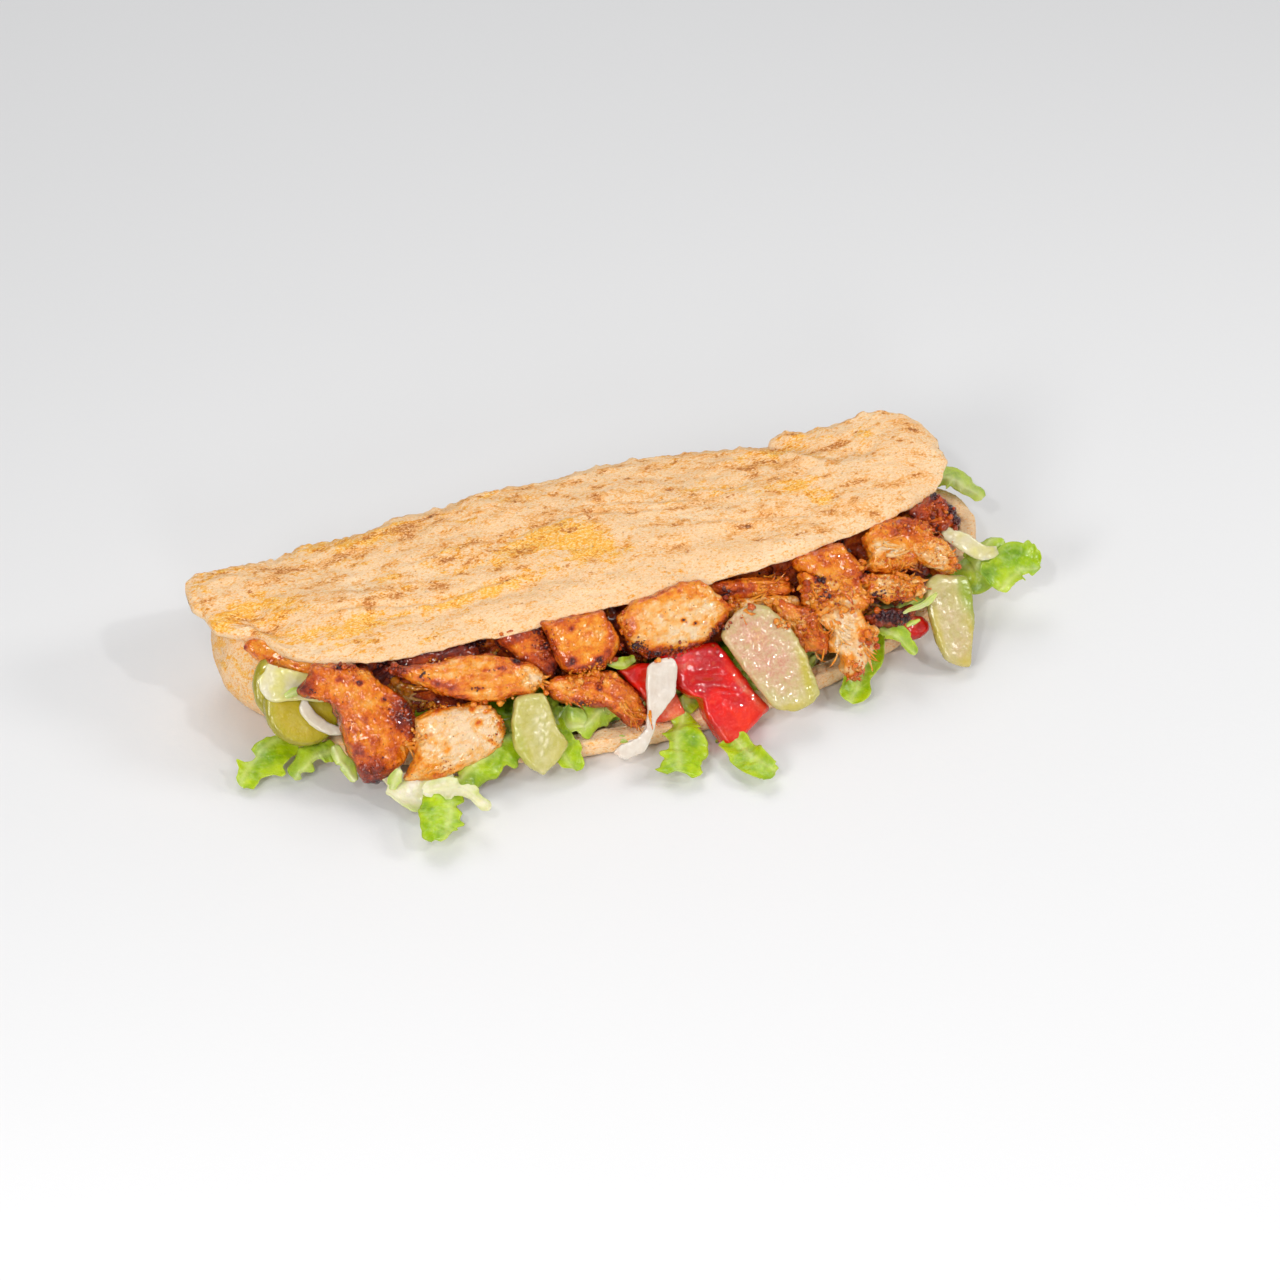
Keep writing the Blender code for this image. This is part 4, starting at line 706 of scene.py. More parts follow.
def boat_rows(count):
    k = np.arange(2880)
    a = 2 * math.pi * k / 2880
    c, s = np.cos(a), np.sin(a)
    p = np.where(s > 0, BOAT_BACK_POW, BOAT_FRONT_POW)
    x = np.where(c > 0, BOAT_HALF_LEN, BOAT_LEFT_LEN) * np.sign(c) * np.abs(c) ** (2 / p)
    half = np.where(s > 0, BOAT_BACK - 8.0 * smooth(50, 125, x), BOAT_FRONT)
    y = boat_axis(x) + half * np.sign(s) * np.abs(s) ** (2 / p)
    step = np.hypot(np.roll(x, -1) - x, np.roll(y, -1) - y)
    run = np.concatenate([[0], np.cumsum(step)])
    want = run[-1] * np.arange(count) / count
    x = np.interp(want, run, np.append(x, x[0]))
    y = np.interp(want, run, np.append(y, y[0]))
    tx = np.roll(x, -1) - np.roll(x, 1)
    ty = np.roll(y, -1) - np.roll(y, 1)
    ln = np.hypot(tx, ty)
    nx, ny = -ty / ln, tx / ln
    lift = (y - boat_axis(x)) / BOAT_BACK
    left = smooth(-111.5, -118.5, x)
    back = smooth(0.28, 0.74, lift) * (1 - smooth(106, 124, x))
    right = smooth(100, 127, x)
    closed = np.maximum(left, back)
    wob = 0.8 * wave(x, y, 15, 8)
    x, y = x + nx * wob, y + ny * wob
    tuck = mix(0.8, 5.0, closed) + 3.0 * left
    rb = mix(6.0, 16.0, np.maximum(closed, right * 0.9)) + 2.0 * left
    h = LIP + 0.7 * wave(x, y, 12, 9)
    h = np.maximum(h, mix(h, END_RIM, right))
    hb = mix(np.minimum(4.2, h * 0.5), BULGE, closed)
    hb = np.maximum(hb, mix(4.2, 9.0, right))
    px, py = x + nx * (tuck + WALL / 2), y + ny * (tuck + WALL / 2)
    rim = mix(h, sheet_top(px, py) - 1.5, closed)
    return dict(x=x, y=y, nx=nx, ny=ny, closed=closed, tuck=tuck, rb=rb, hb=hb, rim=rim, right=right, left=left)


def make_boat(material):
    n = 560
    r = boat_rows(n)
    C = np.array([0.0, -3.0])
    rings, kind = [], []

    def put(d, z, what):
        rings.append(np.stack([r["x"] + r["nx"] * d, r["y"] + r["ny"] * d, z + 0 * r["x"]], -1))
        kind.append(what)

    for k in (0.06, 0.2, 0.36, 0.52, 0.68, 0.82, 0.93):
        d = r["rb"]
        bx, by = r["x"] + r["nx"] * d, r["y"] + r["ny"] * d
        rings.append(np.stack([C[0] + (bx - C[0]) * k, C[1] + (by - C[1]) * k, 0 * bx], -1))
        kind.append("base")
    for phi in np.linspace(0, 90, 12):
        a = math.radians(phi)
        put(r["rb"] * (1 - math.sin(a)), r["hb"] * (1 - math.cos(a)), "out")
    for t in np.linspace(0, 0.90, 22)[1:]:
        put(r["tuck"] * t ** 2, mix(r["hb"], r["rim"], t), "out")
    top0 = mix(r["hb"], r["rim"], 0.90)
    wall = WALL - 0.6 * r["closed"]
    for psi in np.linspace(0, 180, 11)[1:-1]:
        a = math.radians(psi)
        put(r["tuck"] * 0.9 + wall / 2 * (1 - math.cos(a)), top0 + (r["rim"] - top0) * math.sin(a) ** 0.7, "rim")
    inner = np.maximum(r["hb"], FLOOR + 1.2)
    for t in np.linspace(0.86, 0.0, 14):
        put(wall + r["tuck"] * t ** 2, mix(inner, r["rim"], t), "in")
    for phi in np.linspace(78, 0, 6):
        a = math.radians(phi)
        put(wall + (r["rb"] - 0.5) * (1 - math.sin(a)), FLOOR + (inner - FLOOR) * (1 - math.cos(a)), "in")
    for k in (0.9, 0.7, 0.45, 0.2, 0.05):
        d = wall + r["rb"] - 0.5
        bx, by = r["x"] + r["nx"] * d, r["y"] + r["ny"] * d
        rings.append(np.stack([C[0] + (bx - C[0]) * k, C[1] + (by - C[1]) * k, 0 * bx + FLOOR], -1))
        kind.append("floor")
    m = len(rings)
    v = np.stack(rings, 0).reshape(-1, 3)
    f = grid_faces(m, n, wrap_v=True)
    nor = vertex_normals(v, f)
    kinds = np.repeat(np.array(kind), n)
    col = {k: np.tile(r[k], m) for k in ("closed", "right", "left", "rim", "hb")}
    out, rim, inn = kinds == "out", kinds == "rim", (kinds == "in") | (kinds == "floor")
    x, y, z = v.T
    big = fbm(v / 9.0, 3, 101)
    mid = fbm(v / 3.0, 3, 102)
    f1, f2, cell = worley(v / 2.1, 103)
    pits = clamp(1 - f1 / 0.42) * (cell > 0.45)
    grain = fbm(v / 1.0, 2, 104)
    d = 0.55 * big + 0.22 * mid + 0.07 * grain - 0.30 * pits * np.where(out, 1, 0.4)
    d = d + np.where(rim, 0.35 * mid + 0.15 * grain, 0)
    d = d * np.where(kinds == "base", 0.0, 1.0) * smooth(-0.1, 1.5, z)
    v = v + nor * d[:, None]
    v[:, 2] = np.maximum(v[:, 2], 0.0)
    height = z / np.maximum(col["rim"], 1.0)
    wallish = col["closed"] * out
    streak = fbm(np.stack([x / 7, y / 7, z / 2.6], 1), 3, 105)
    gold = smooth(0.10, 0.75, 0.75 * streak + 0.35 * mid + 0.20 * wallish) * np.where(out, 1, 0.25)
    gold = gold + 0.6 * np.where(out, 1, 0) * smooth(0.35, 0.0, height) * (0.4 + 0.6 * smooth(-0.4, 0.6, mid))
    gold = gold + 0.80 * col["left"] * np.where(out | rim, 1, 0) * smooth(-0.2, 0.5, mid + 0.4 * streak)
    toast = smooth(-0.1, 0.8, fbm(v / 5.0, 3, 106)) * np.where(inn, 0.15, 0.7) + 0.45 * smooth(2.5, 0.0, z)
    scorch = smooth(0.42, 0.62, fbm(v / 2.2, 3, 107)) * np.where(out | rim, 0.75, 0) + 0.55 * smooth(0.35, 0.6, fbm(v / 7.0, 3, 108)) * (z < 1.5)
    pale = np.where(inn, 0.9, np.where(rim, 0.45, 0.15 + 0.3 * smooth(0.0, 0.7, big)))
    f = f.tolist()
    f.append(list(range(n - 1, -1, -1)))
    f.append([(m - 1) * n + k for k in range(n)])
    inner_attr = np.where(inn, 1.0, np.where(rim, 0.35, 0.0))
    return make("bread_lower", v, f, material, ["bread"],
                dict(gold=clamp(gold), toast=clamp(toast), scorch=clamp(scorch), pale=clamp(pale), inner=inner_attr,
                     edge=np.where(rim, 0.5, 0.0)))


def bread_look():
    L = Look("flatbread", Roughness=0.62, Specular_IOR_Level=0.30, Subsurface_Weight=0.10, Subsurface_Scale=0.003,
             Subsurface_Radius=(1.0, 0.45, 0.2))
    broad = L.noise(38, 4, 0.55)
    mid = L.noise(230, 4, 0.6, L.scaled(1, 1.6, 1.2))
    fine = L.noise(760, 4, 0.62, L.scaled(0.8, 1.4, 1.2))
    grit = L.noise(1500, 3, 0.65, L.scaled(0.75, 1.25, 1.2))
    dust = L.noise(2300, 3, 0.6)

    def off(x, k):
        return L.math("MULTIPLY", L.math("SUBTRACT", x, 0.5), k)

    stipple = L.math("ADD", off(fine, 1.4), off(grit, 2.6))
    rough_up = L.math("ADD", off(mid, 0.5), stipple)
    base = L.blend(L.step(broad, 0.36, 0.66), (0.92, 0.600, 0.325), (0.94, 0.630, 0.355))
    base = L.blend(L.math("MULTIPLY", L.attr("pale"), 0.85), base, (0.96, 0.72, 0.46))
    base = L.blend(L.step(L.math("ADD", mid, stipple), 0.50, 1.05, 0.0, 0.7), base, (0.90, 0.49, 0.17))
    # the toast attribute holds real toasting and, on the upper sheet, painted crease shade
    t = L.math("ADD", L.attr("toast"), rough_up)
    base = L.blend(L.step(t, 0.14, 0.80, 0.0, 0.9), base, (0.89, 0.44, 0.13))
    base = L.blend(L.step(t, 0.74, 1.32, 0.0, 0.9), base, (0.66, 0.225, 0.030))
    g = L.math("ADD", L.attr("gold"), rough_up)
    gold = L.blend(L.step(stipple, -0.22, 0.28), (1.0, 0.585, 0.095), (0.94, 0.375, 0.010))
    gold = L.blend(L.step(t, 0.55, 1.15, 0.0, 0.95), gold, (0.74, 0.235, 0.010))
    base = L.blend(L.step(g, 0.08, 1.02, 0.0, 0.94), base, gold)
    s = L.math("ADD", L.attr("scorch"), L.math("MULTIPLY", rough_up, 0.55))
    base = L.blend(L.step(s, 0.20, 0.60, 0.0, 0.9), base, (0.50, 0.155, 0.022))
    base = L.blend(L.step(s, 0.56, 1.0), base, (0.15, 0.046, 0.014))
    # wheat bran flecks, and pin holes whose dark colour is painted shade
    cells = L.voronoi(430)
    flecks = L.math("MULTIPLY", L.step(cells, 0.16, 0.07), L.step(L.voronoi(430, out="Color"), 0.45, 0.55))
    base = L.blend(L.math("MULTIPLY", flecks, 0.6), base, (0.46, 0.19, 0.06))
    base = L.blend(L.step(dust, 0.54, 0.66, 0.0, 0.36), base, (0.68, 0.34, 0.12))
    base = L.blend(L.step(grit, 0.47, 0.33, 0.0, 0.42), base, (1.0, 0.82, 0.58))
    rough = L.step(L.attr("gold"), 0.0, 1.0, 0.68, 0.46)
    h = L.math("ADD", L.math("MULTIPLY", fine, 0.6), L.math("ADD", L.math("MULTIPLY", grit, 0.5), L.math("MULTIPLY", dust, 0.2)))
    h = L.math("SUBTRACT", L.math("ADD", h, L.math("MULTIPLY", mid, 0.5)), L.math("MULTIPLY", flecks, 0.25))
    return L.set(Base_Color=base, Roughness=rough, Normal=L.relief(h, 0.0008, 0.9))


bread = bread_look()
make_sheet(bread)
make_boat(bread)


# ------------------------------------------------------- frame of the open side
# a runs along the bread, b climbs the sloping open face, out points away from it.
FACE_AT = np.array([0.0, -24.0, 37.0])
FACE_B = np.array([0.0, 0.618, 0.786])
FACE_OUT = np.array([0.0, -0.786, 0.618])


def on_face(a, b, out):
    a, b, out = np.broadcast_arrays(np.asarray(a, float), np.asarray(b, float), np.asarray(out, float))
    return FACE_AT + a[..., None] * np.array([1.0, 0, 0]) + b[..., None] * FACE_B + out[..., None] * FACE_OUT


def face_coords(v):
    r = v - FACE_AT
    return r[:, 0], r @ FACE_B, r @ FACE_OUT


def shift(g, di, dj):
    out = np.zeros_like(g)
    n, m = g.shape
    out[max(di, 0):n + min(di, 0), max(dj, 0):m + min(dj, 0)] = \
        g[max(-di, 0):n + min(-di, 0), max(-dj, 0):m + min(-dj, 0)]
    return out


def inside_depth(a, b, cell=0.45, most=8.0):
    """How far each point of a piece lies inside the piece's own outline on the face."""
    a0, b0 = a.min() - 3 * cell, b.min() - 3 * cell
    fa, fb = (a - a0) / cell, (b - b0) / cell
    grid = np.zeros((int(fa.max()) + 5, int(fb.max()) + 5), bool)
    grid[fa.astype(int), fb.astype(int)] = True
    near = ((1, 0), (-1, 0), (0, 1), (0, -1))
    for _ in range(2):
        for di, dj in near:
            grid = grid | shift(grid, di, dj)
    for _ in range(2):
        solid = grid
        for di, dj in near:
            solid = solid & shift(grid, di, dj)
        grid = solid
    depth, k = np.zeros(grid.shape), 0
    while grid.any() and k < most / cell:
        depth += grid * cell
        solid = grid
        for di, dj in (near if k % 2 else near + ((1, 1), (1, -1), (-1, 1), (-1, -1))):
            solid = solid & shift(grid, di, dj)
        grid = solid
        k += 1
    for _ in range(3):
        depth = (depth * 4 + sum(shift(depth, di, dj) for di, dj in near)) / 8
    i, j = fa.astype(int), fb.astype(int)
    s, t = fa - i, fb - j
    return depth[i, j] * (1 - s) * (1 - t) + depth[i + 1, j] * s * (1 - t) + depth[i, j + 1] * (1 - s) * t + depth[i + 1, j + 1] * s * t


def spots(a, b, table):
    out = np.zeros(a.shape)
    for ca, cb, ra, rb, turn, k in table:
        out += k * blob(a, b, ca, cb, ra, rb, turn, 1.3)
    return out


def remesh(bm, voxel, times, keep):
    """An even fine mesh of a closed shape given in millimetres."""
    me = bpy.data.meshes.new("tmp")
    bm.to_mesh(me)
    bm.free()
    ob = bpy.data.objects.new("tmp", me)
    bpy.context.scene.collection.objects.link(ob)
    mod = ob.modifiers.new("remesh", "REMESH")
    mod.mode = "VOXEL"
    mod.voxel_size = voxel
    deps = bpy.context.evaluated_depsgraph_get()
    out = bpy.data.meshes.new_from_object(ob.evaluated_get(deps))
    co = np.empty(len(out.vertices) * 3)
    out.vertices.foreach_get("co", co)
    f = np.array([list(p.vertices) for p in out.polygons if len(p.vertices) == 4])
    bpy.data.objects.remove(ob, do_unlink=True)
    bpy.data.meshes.remove(me)
    bpy.data.meshes.remove(out)
    return relax(co.reshape(-1, 3), f, times, 0.5, keep), f


def slab(outline, out, thick, dome=0.25, tilt=0.0, lean=0.0, bow=0.0, ragged=0.5, seed=1, voxel=0.4, times=4, soft=1.2, grow=0.0, taper=0.12):
    """A flat cut of food on the open face, true to a detailed outline, with a torn edge."""
    p = np.array(outline, float)
    nxt = np.roll(p, -1, axis=0)
    runs = np.linalg.norm(nxt - p, axis=1)
    steps = np.concatenate([[0], np.cumsum(runs)])
    n = max(90, int(steps[-1] / 0.55))
    at = steps[-1] * np.arange(n) / n
    loop = np.vstack([p, p[:1]])
    q = np.stack([np.interp(at, steps, loop[:, k]) for k in (0, 1)], 1)
    for _ in range(int(soft * 3)):
        q = 0.5 * q + 0.25 * (np.roll(q, 1, axis=0) + np.roll(q, -1, axis=0))
    tan = np.roll(q, -1, axis=0) - np.roll(q, 1, axis=0)
    tan /= np.maximum(np.linalg.norm(tan, axis=1), 1e-9)[:, None]
    side = np.stack([tan[:, 1], -tan[:, 0]], 1)
    area2 = (q[:, 0] * np.roll(q[:, 1], -1) - np.roll(q[:, 0], -1) * q[:, 1]).sum()
    if area2 < 0:
        side = -side
    z = np.stack([q[:, 0], q[:, 1], 0 * q[:, 0] + seed * 2.3], 1)
    tear = 0.9 * perlin(z / 4.5, seed + 400) + 0.65 * perlin(z / 1.9, seed + 401) + 0.4 * perlin(z / 0.9, seed + 402)
    q = q + side * (grow + ragged * tear)[:, None]
    mid = q.mean(axis=0)
    reach = np.linalg.norm(q - mid, axis=1).max()
    bm = bmesh.new()
    rows = []
    prof = ((-0.5, 1 - 2.2 * taper), (-0.46, 1 - taper), (-0.30, 1 - 0.35 * taper), (0.0, 1.0), (0.28, 1 - 0.25 * taper), (0.42, 1 - 0.9 * taper), (0.5, 1 - 2.0 * taper))
    cap = [(0.5 + 0.30 * dome * (1 - k ** 2) , (1 - 2.0 * taper) * k) for k in (0.85, 0.65, 0.42, 0.2)]
    low = [(-0.5 - 0.2 * dome * (1 - k ** 2), (1 - 2.2 * taper) * k) for k in (0.2, 0.5, 0.8)]
    for level, scale in low + list(prof) + cap:
        width = np.minimum(scale, 1.0)
        d = (q - mid) * width
        h = out + tilt * d[:, 1] + lean * d[:, 0] - bow * (np.linalg.norm(d, axis=1) / reach) ** 2 + level * thick
        co = on_face(mid[0] + d[:, 0], mid[1] + d[:, 1], h)
        rows.append([bm.verts.new(c) for c in co])
    for r0, r1 in zip(rows, rows[1:]):
        for k in range(n):
            j = (k + 1) % n
            bm.faces.new((r0[k], r0[j], r1[j], r1[k]))
    bm.faces.new(rows[0][::-1])
    bm.faces.new(rows[-1])
    bmesh.ops.recalc_face_normals(bm, faces=bm.faces)
    return remesh(bm, voxel, times, 0.0)


# ----------------------------------------------------------------- roast chicken
def chicken_look():
    L = Look("roast_chicken", Specular_IOR_Level=0.25, Subsurface_Weight=0.10, Subsurface_Scale=0.003,
             Subsurface_Radius=(1.0, 0.30, 0.08), Coat_Weight=0.80, Coat_Roughness=0.06)
    fine = L.noise(1500, 4, 0.6)
    mid = L.noise(420, 4, 0.6)
    beads = L.math("ADD", L.voronoi(560), L.math("MULTIPLY", L.voronoi(1150), 0.4))
    cook = L.math("ADD", L.attr("cook"), L.math("MULTIPLY", L.math("SUBTRACT", mid, 0.5), 0.36))
    cook = L.math("ADD", cook, L.math("MULTIPLY", L.math("SUBTRACT", fine, 0.5), 0.26), clamp=True)
    base = L.ramp(cook, ((0.0, (0.92, 0.66, 0.40)), (0.12, (0.92, 0.50, 0.165)), (0.25, (0.91, 0.315, 0.014)),
                         (0.40, (0.78, 0.165, 0.004)), (0.54, (0.52, 0.062, 0.002)), (0.70, (0.26, 0.024, 0.004)),
                         (0.85, (0.105, 0.014, 0.011)), (1.0, (0.034, 0.010, 0.018))))
    # pepper and herb specks
    cells = L.voronoi(620)
    pick = L.voronoi(620, out="Color")
    speck = L.math("MULTIPLY", L.step(cells, 0.20, 0.10), L.step(pick, 0.60, 0.68))
    base = L.blend(L.math("MULTIPLY", speck, 0.75), base, (0.16, 0.030, 0.010))
    wide = L.voronoi(300)
    dab = L.math("MULTIPLY", L.step(wide, 0.30, 0.12), L.step(L.voronoi(300, out="Color"), 0.62, 0.70))
    base = L.blend(L.math("MULTIPLY", dab, 0.45), base, (0.62, 0.10, 0.012))
    rough = L.step(L.math("ADD", L.attr("gloss"), L.math("MULTIPLY", L.math("SUBTRACT", mid, 0.5), 0.7)), 0.05, 0.95, 0.56, 0.13)
    h = L.math("ADD", L.math("MULTIPLY", fine, 0.6), L.math("MULTIPLY", mid, 0.9))
    h = L.math("SUBTRACT", h, L.math("MULTIPLY", L.math("MULTIPLY", beads, L.attr("gloss")), 0.85))
    return L.set(Base_Color=base, Roughness=rough, Normal=L.relief(h, 0.0010, 1.0))


MEAT = []


def dress(v, f, seed, turn, cook, split_by=0.35, fibre=0.3, lump=0.6, grit=0.2, rim=0.35, rim_width=1.5, gloss=0.45, marks=(), shine=(), pits=0.0):
    """Fibres, lumps and crust on a smooth piece of meat, and how brown it is, with a painted highlight on the fibre
    ridges and painted shade in the splits between bundles.
    """
    a, b, o = face_coords(v)
    nor = vertex_normals(v, f)
    depth = inside_depth(a, b)
    t = math.radians(turn)
    u, w = a * math.cos(t) + b * math.sin(t), -a * math.sin(t) + b * math.cos(t)
    w = w + 1.3 * perlin(v / 7.0, seed) + 0.35 * perlin(v / 2.4, seed + 1)
    fib = ridge(np.stack([u / 10, w / 1.7, o / 2.4], 1), seed + 2) - 0.55
    thin = ridge(np.stack([u / 5.5, w / 0.85, o / 1.3], 1), seed + 3) - 0.55
    lumps = fbm(v / 6.2 + seed, 2, seed + 4)
    small = fbm(v / 2.3 + seed, 2, seed + 5)
    f1, f2, cell = worley(v / 1.35, seed + 6)
    facing = nor @ FACE_OUT
    rag = fbm(v / 1.7, 2, seed + 7)
    edge = np.exp(-np.maximum(depth + 1.1 * rag, 0) / rim_width)
    # browning, with the -0.10 * fib term making the raised fibre ridges paler: a painted highlight
    heat = 0.05 + cook * 1.04 + rim * edge * (0.75 + 0.7 * small) + 0.15 * lumps + 0.13 * small + 0.05 * rag - 0.10 * fib * min(fibre * 3, 1) \
        + spots(a + 0.5 * small, b + 0.5 * rag, marks) + 0.10 * smooth(0.35, -0.3, facing)
    heat = clamp(heat)
    g1, g2, bundle = worley(np.stack([u / 9.5, w / 3.3, o / 4.5], 1) + 0.10 * perlin(v / 2.0, seed + 9)[:, None], seed + 10)
    split = np.exp(-((g2 - g1) / 0.10) ** 2) * split_by
    # the 0.16 * split term darkens the grooves between fibre bundles: painted shade
    heat = clamp(heat + 0.16 * split + 0.10 * (bundle - 0.5) * min(1.0, split_by * 2))
    crusty = clamp(smooth(0.42, 0.72, heat) + 1.6 * grit - 0.2)
    d = lump * 1.5 * lumps + 0.45 * lump * small + fibre * (fib + 0.55 * thin) * (1 - 0.5 * crusty)
    d = d - 0.75 * split + 0.5 * split_by * (bundle - 0.5)
    d = d + crusty * 0.42 * (0.42 - f1) + 0.06 * rag - edge * 0.15
    if pits:
        d = d - pits * smooth(0.18, 0.5, ridge(np.stack([u / 7, w / 3.1, o / 4], 1), seed + 8) - 0.5) * smooth(1.0, 3.0, depth)
    wet = clamp(gloss + 0.35 * small + 0.25 * lumps + spots(a, b, shine) + 0.25 * smooth(0.7, 0.95, heat))
    # the cook attribute carries the browning together with the painted fibre highlight and split shade
    return v + nor * d[:, None], dict(cook=heat, gloss=wet)


def meat(name, material, seed, turn, cook, voxel=0.54, times=16, plate=None, keep=0.5, **kw):
    """One piece of meat, from its own outline if it has one, else from its CAD solid."""
    if plate:
        v, f = slab(seed=seed, voxel=voxel, **plate)
    else:
        v, f = node_mesh(name, voxel, times, keep)
    v, attrs = dress(v, f, seed, turn, cook, **kw)
    MEAT.append((v, f))
    return make(name + "_meat", v, f, material, [name], attrs)


chicken = chicken_look()
meat("chicken_01", chicken, 201, -38, 0.20,
     plate=dict(outline=((-120.4, 14.2), (-118.2, 15), (-116.1, 14.6), (-114.4, 12.8), (-112.6, 11), (-110, 8.6), (-107, 6.6), (-103.6, 5.2), (-100.2, 4.0), (-98, 0), (-100.8, -2), (-104.3, -0.8), (-107.9, 0.7), (-110.9, 2.3), (-113.8, 4.0), (-116.2, 5.9), (-118.1, 8.1), (-119.8, 10.5), (-121.4, 12.8)),
                out=-14.5, thick=3.6, lean=0.60, bow=0.0, ragged=0.35, dome=0.5, soft=0.8),
     voxel=0.42, fibre=0.22, lump=0.4, rim=0.14, rim_width=0.7, gloss=0.5,
     marks=((-112, 7, 1.0, 0.7, 0, 0.25), (-108, 4, 0.8, 0.6, 0, 0.25), (-120.6, 12.6, 0.9, 0.7, 0, 0.30), (-104, 2.0, 2.4, 1.0, -20, 0.12)))
meat("chicken_02", chicken, 202, -72, 0.26,
     plate=dict(outline=((-92, 0.5), (-88, -1), (-86, -6), (-82, -8.5), (-80, -11), (-78, -14), (-76.8, -19), (-76, -24), (-77, -28), (-80, -30), (-84, -33.5), (-88, -35.2), (-93, -36.8), (-96.4, -35.4), (-98.4, -32), (-99.6, -26), (-100.6, -20), (-101.2, -15), (-101.8, -10), (-102.4, -6.8), (-104, -5.8), (-107, -6), (-110.4, -5), (-111, -3), (-108.4, -1), (-106, 1), (-105, 4), (-97, 2.5)),
                out=-0.4, thick=9.4, bow=2.2, ragged=0.45, dome=0.45, soft=1.6),
     fibre=0.16, lump=0.80, grit=0.05, rim=0.28, rim_width=1.2, gloss=0.95, pits=0.25,
     marks=((-94, -32, 7.0, 4.6, 0, 0.34), (-81.5, -17, 4.6, 6.4, 10, 0.40), (-78.5, -25, 2.2, 3.4, 0, 0.30), (-97, 1, 1.4, 1.1, 0, 0.5),
            (-92, -5, 1.4, 1.0, 0, 0.4), (-86, -11.5, 1.3, 1.0, 0, 0.3), (-98.5, -2.5, 1.3, 1.0, 0, 0.3), (-97, -19, 1.2, 1.1, 0, 0.28),
            (-97, -25, 1.6, 2.2, 0, 0.24), (-101, -14, 1.4, 6.0, 0, 0.22), (-108.5, -3.4, 3.0, 2.2, 0, 0.36), (-104, -1, 4, 2, 0, 0.12),
            (-88, -6, 4.0, 2.0, -20, -0.06), (-88, -24, 3.0, 3.0, 10, 0.12), (-92, -36, 6, 1.4, 6, 0.25)),
     shine=((-84, -17, 5, 6, 0, 0.3), (-93, -30, 6, 5, 0, 0.4), (-95, -14, 4, 5, 0, 0.2)))
meat("chicken_03", chicken, 203, 14, 0.02, plate=dict(outline=((-78, -19), (-70, -17.8), (-62, -18.3), (-56, -19.3), (-52, -21.5), (-50, -26), (-50.3, -31), (-53, -34.5), (-60, -36.5), (-68, -38.5), (-73, -39.8), (-80, -39), (-86, -37.5), (-84, -35), (-80, -31), (-79, -25)), out=2.6, thick=8.6, tilt=-0.04, bow=1.4, ragged=0.28, dome=0.5, soft=2.0), fibre=0.26, lump=0.5, grit=0.0, rim=0.34, rim_width=1.0, gloss=0.35, pits=0.25,
     marks=((-59, -25, 1.2, 0.9, 0, 0.34), (-55, -22, 1.2, 0.8, 0, 0.34), (-71, -31, 1.4, 1.0, 20, 0.28), (-78, -35, 5, 2.6, 10, 0.14),
            (-75, -38, 6, 1.6, 10, 0.22), (-60, -20.5, 1.4, 0.8, 0, 0.45), (-56, -32, 3.0, 0.6, -50, 0.25), (-58, -37, 2.5, 1.4, 20, 0.5),
            (-68, -18, 4.0, 0.9, 10, 0.3), (-52, -28, 1.0, 3.5, 0, 0.25), (-65, -28, 6, 4, 10, -0.06), (-84, -33, 2.5, 5, 20, 0.12)))
meat("chicken_04", chicken, 204, -13, 0.21, plate=dict(outline=((-83.5, -2.2), (-78, -2.4), (-73, -3.2), (-66, -3.8), (-60, -3.6), (-53, -4.6), (-47, -6.6), (-42, -8.8), (-38, -10.8), (-35.2, -14), (-35.6, -18.3), (-40, -20.6), (-45, -19.6), (-50, -20.2), (-56, -19.6), (-62, -17.2), (-68, -14), (-73, -11), (-77, -8), (-81, -5)), out=4.2, thick=8.4, lean=0.03, bow=1.5, ragged=0.40, dome=0.5, soft=1.2), fibre=0.30, lump=0.6, grit=0.02, rim=0.32, rim_width=1.1, gloss=0.5, pits=0.2,
     marks=((-80, -4, 4.0, 1.6, -15, 0.42), (-67, -11.5, 7.5, 1.4, -28, 0.20), (-70, -10, 2.0, 1.0, -20, 0.18), (-66, -13, 1.8, 1.0, -20, 0.22),
            (-57, -15, 1.8, 1.0, -10, 0.28), (-49, -10, 2.0, 0.8, -10, 0.24), (-54, -9.7, 1.6, 0.7, 0, 0.2), (-43, -9.3, 1.8, 1.0, -20, 0.6),
            (-40, -16, 5.5, 4.0, -10, -0.20), (-60, -7, 8.0, 2.6, -8, -0.06), (-72, -4, 5, 1.0, -5, 0.12), (-46, -19, 5, 1.2, -5, 0.2),
            (-63, -16, 4, 0.9, -20, 0.25)), shine=((-60, -8, 10, 3, -10, 0.2),))
meat("chicken_05", chicken, 205, -50, 0.44, plate=dict(outline=((-48, 1), (-40, 2), (-32, 1), (-30, -6), (-27.6, -14), (-31, -18.5), (-37, -13), (-42, -9)), out=-2.4, thick=8.0, bow=0.8, ragged=0.7, dome=0.3, soft=0.8), fibre=0.28, lump=0.7, grit=0.12, gloss=0.35,
     marks=((-32, -6.5, 1.8, 1.2, 0, 0.4), (-40, -2, 4, 2, 0, 0.15), (-30, -14, 2.5, 2.5, 0, 0.2)))
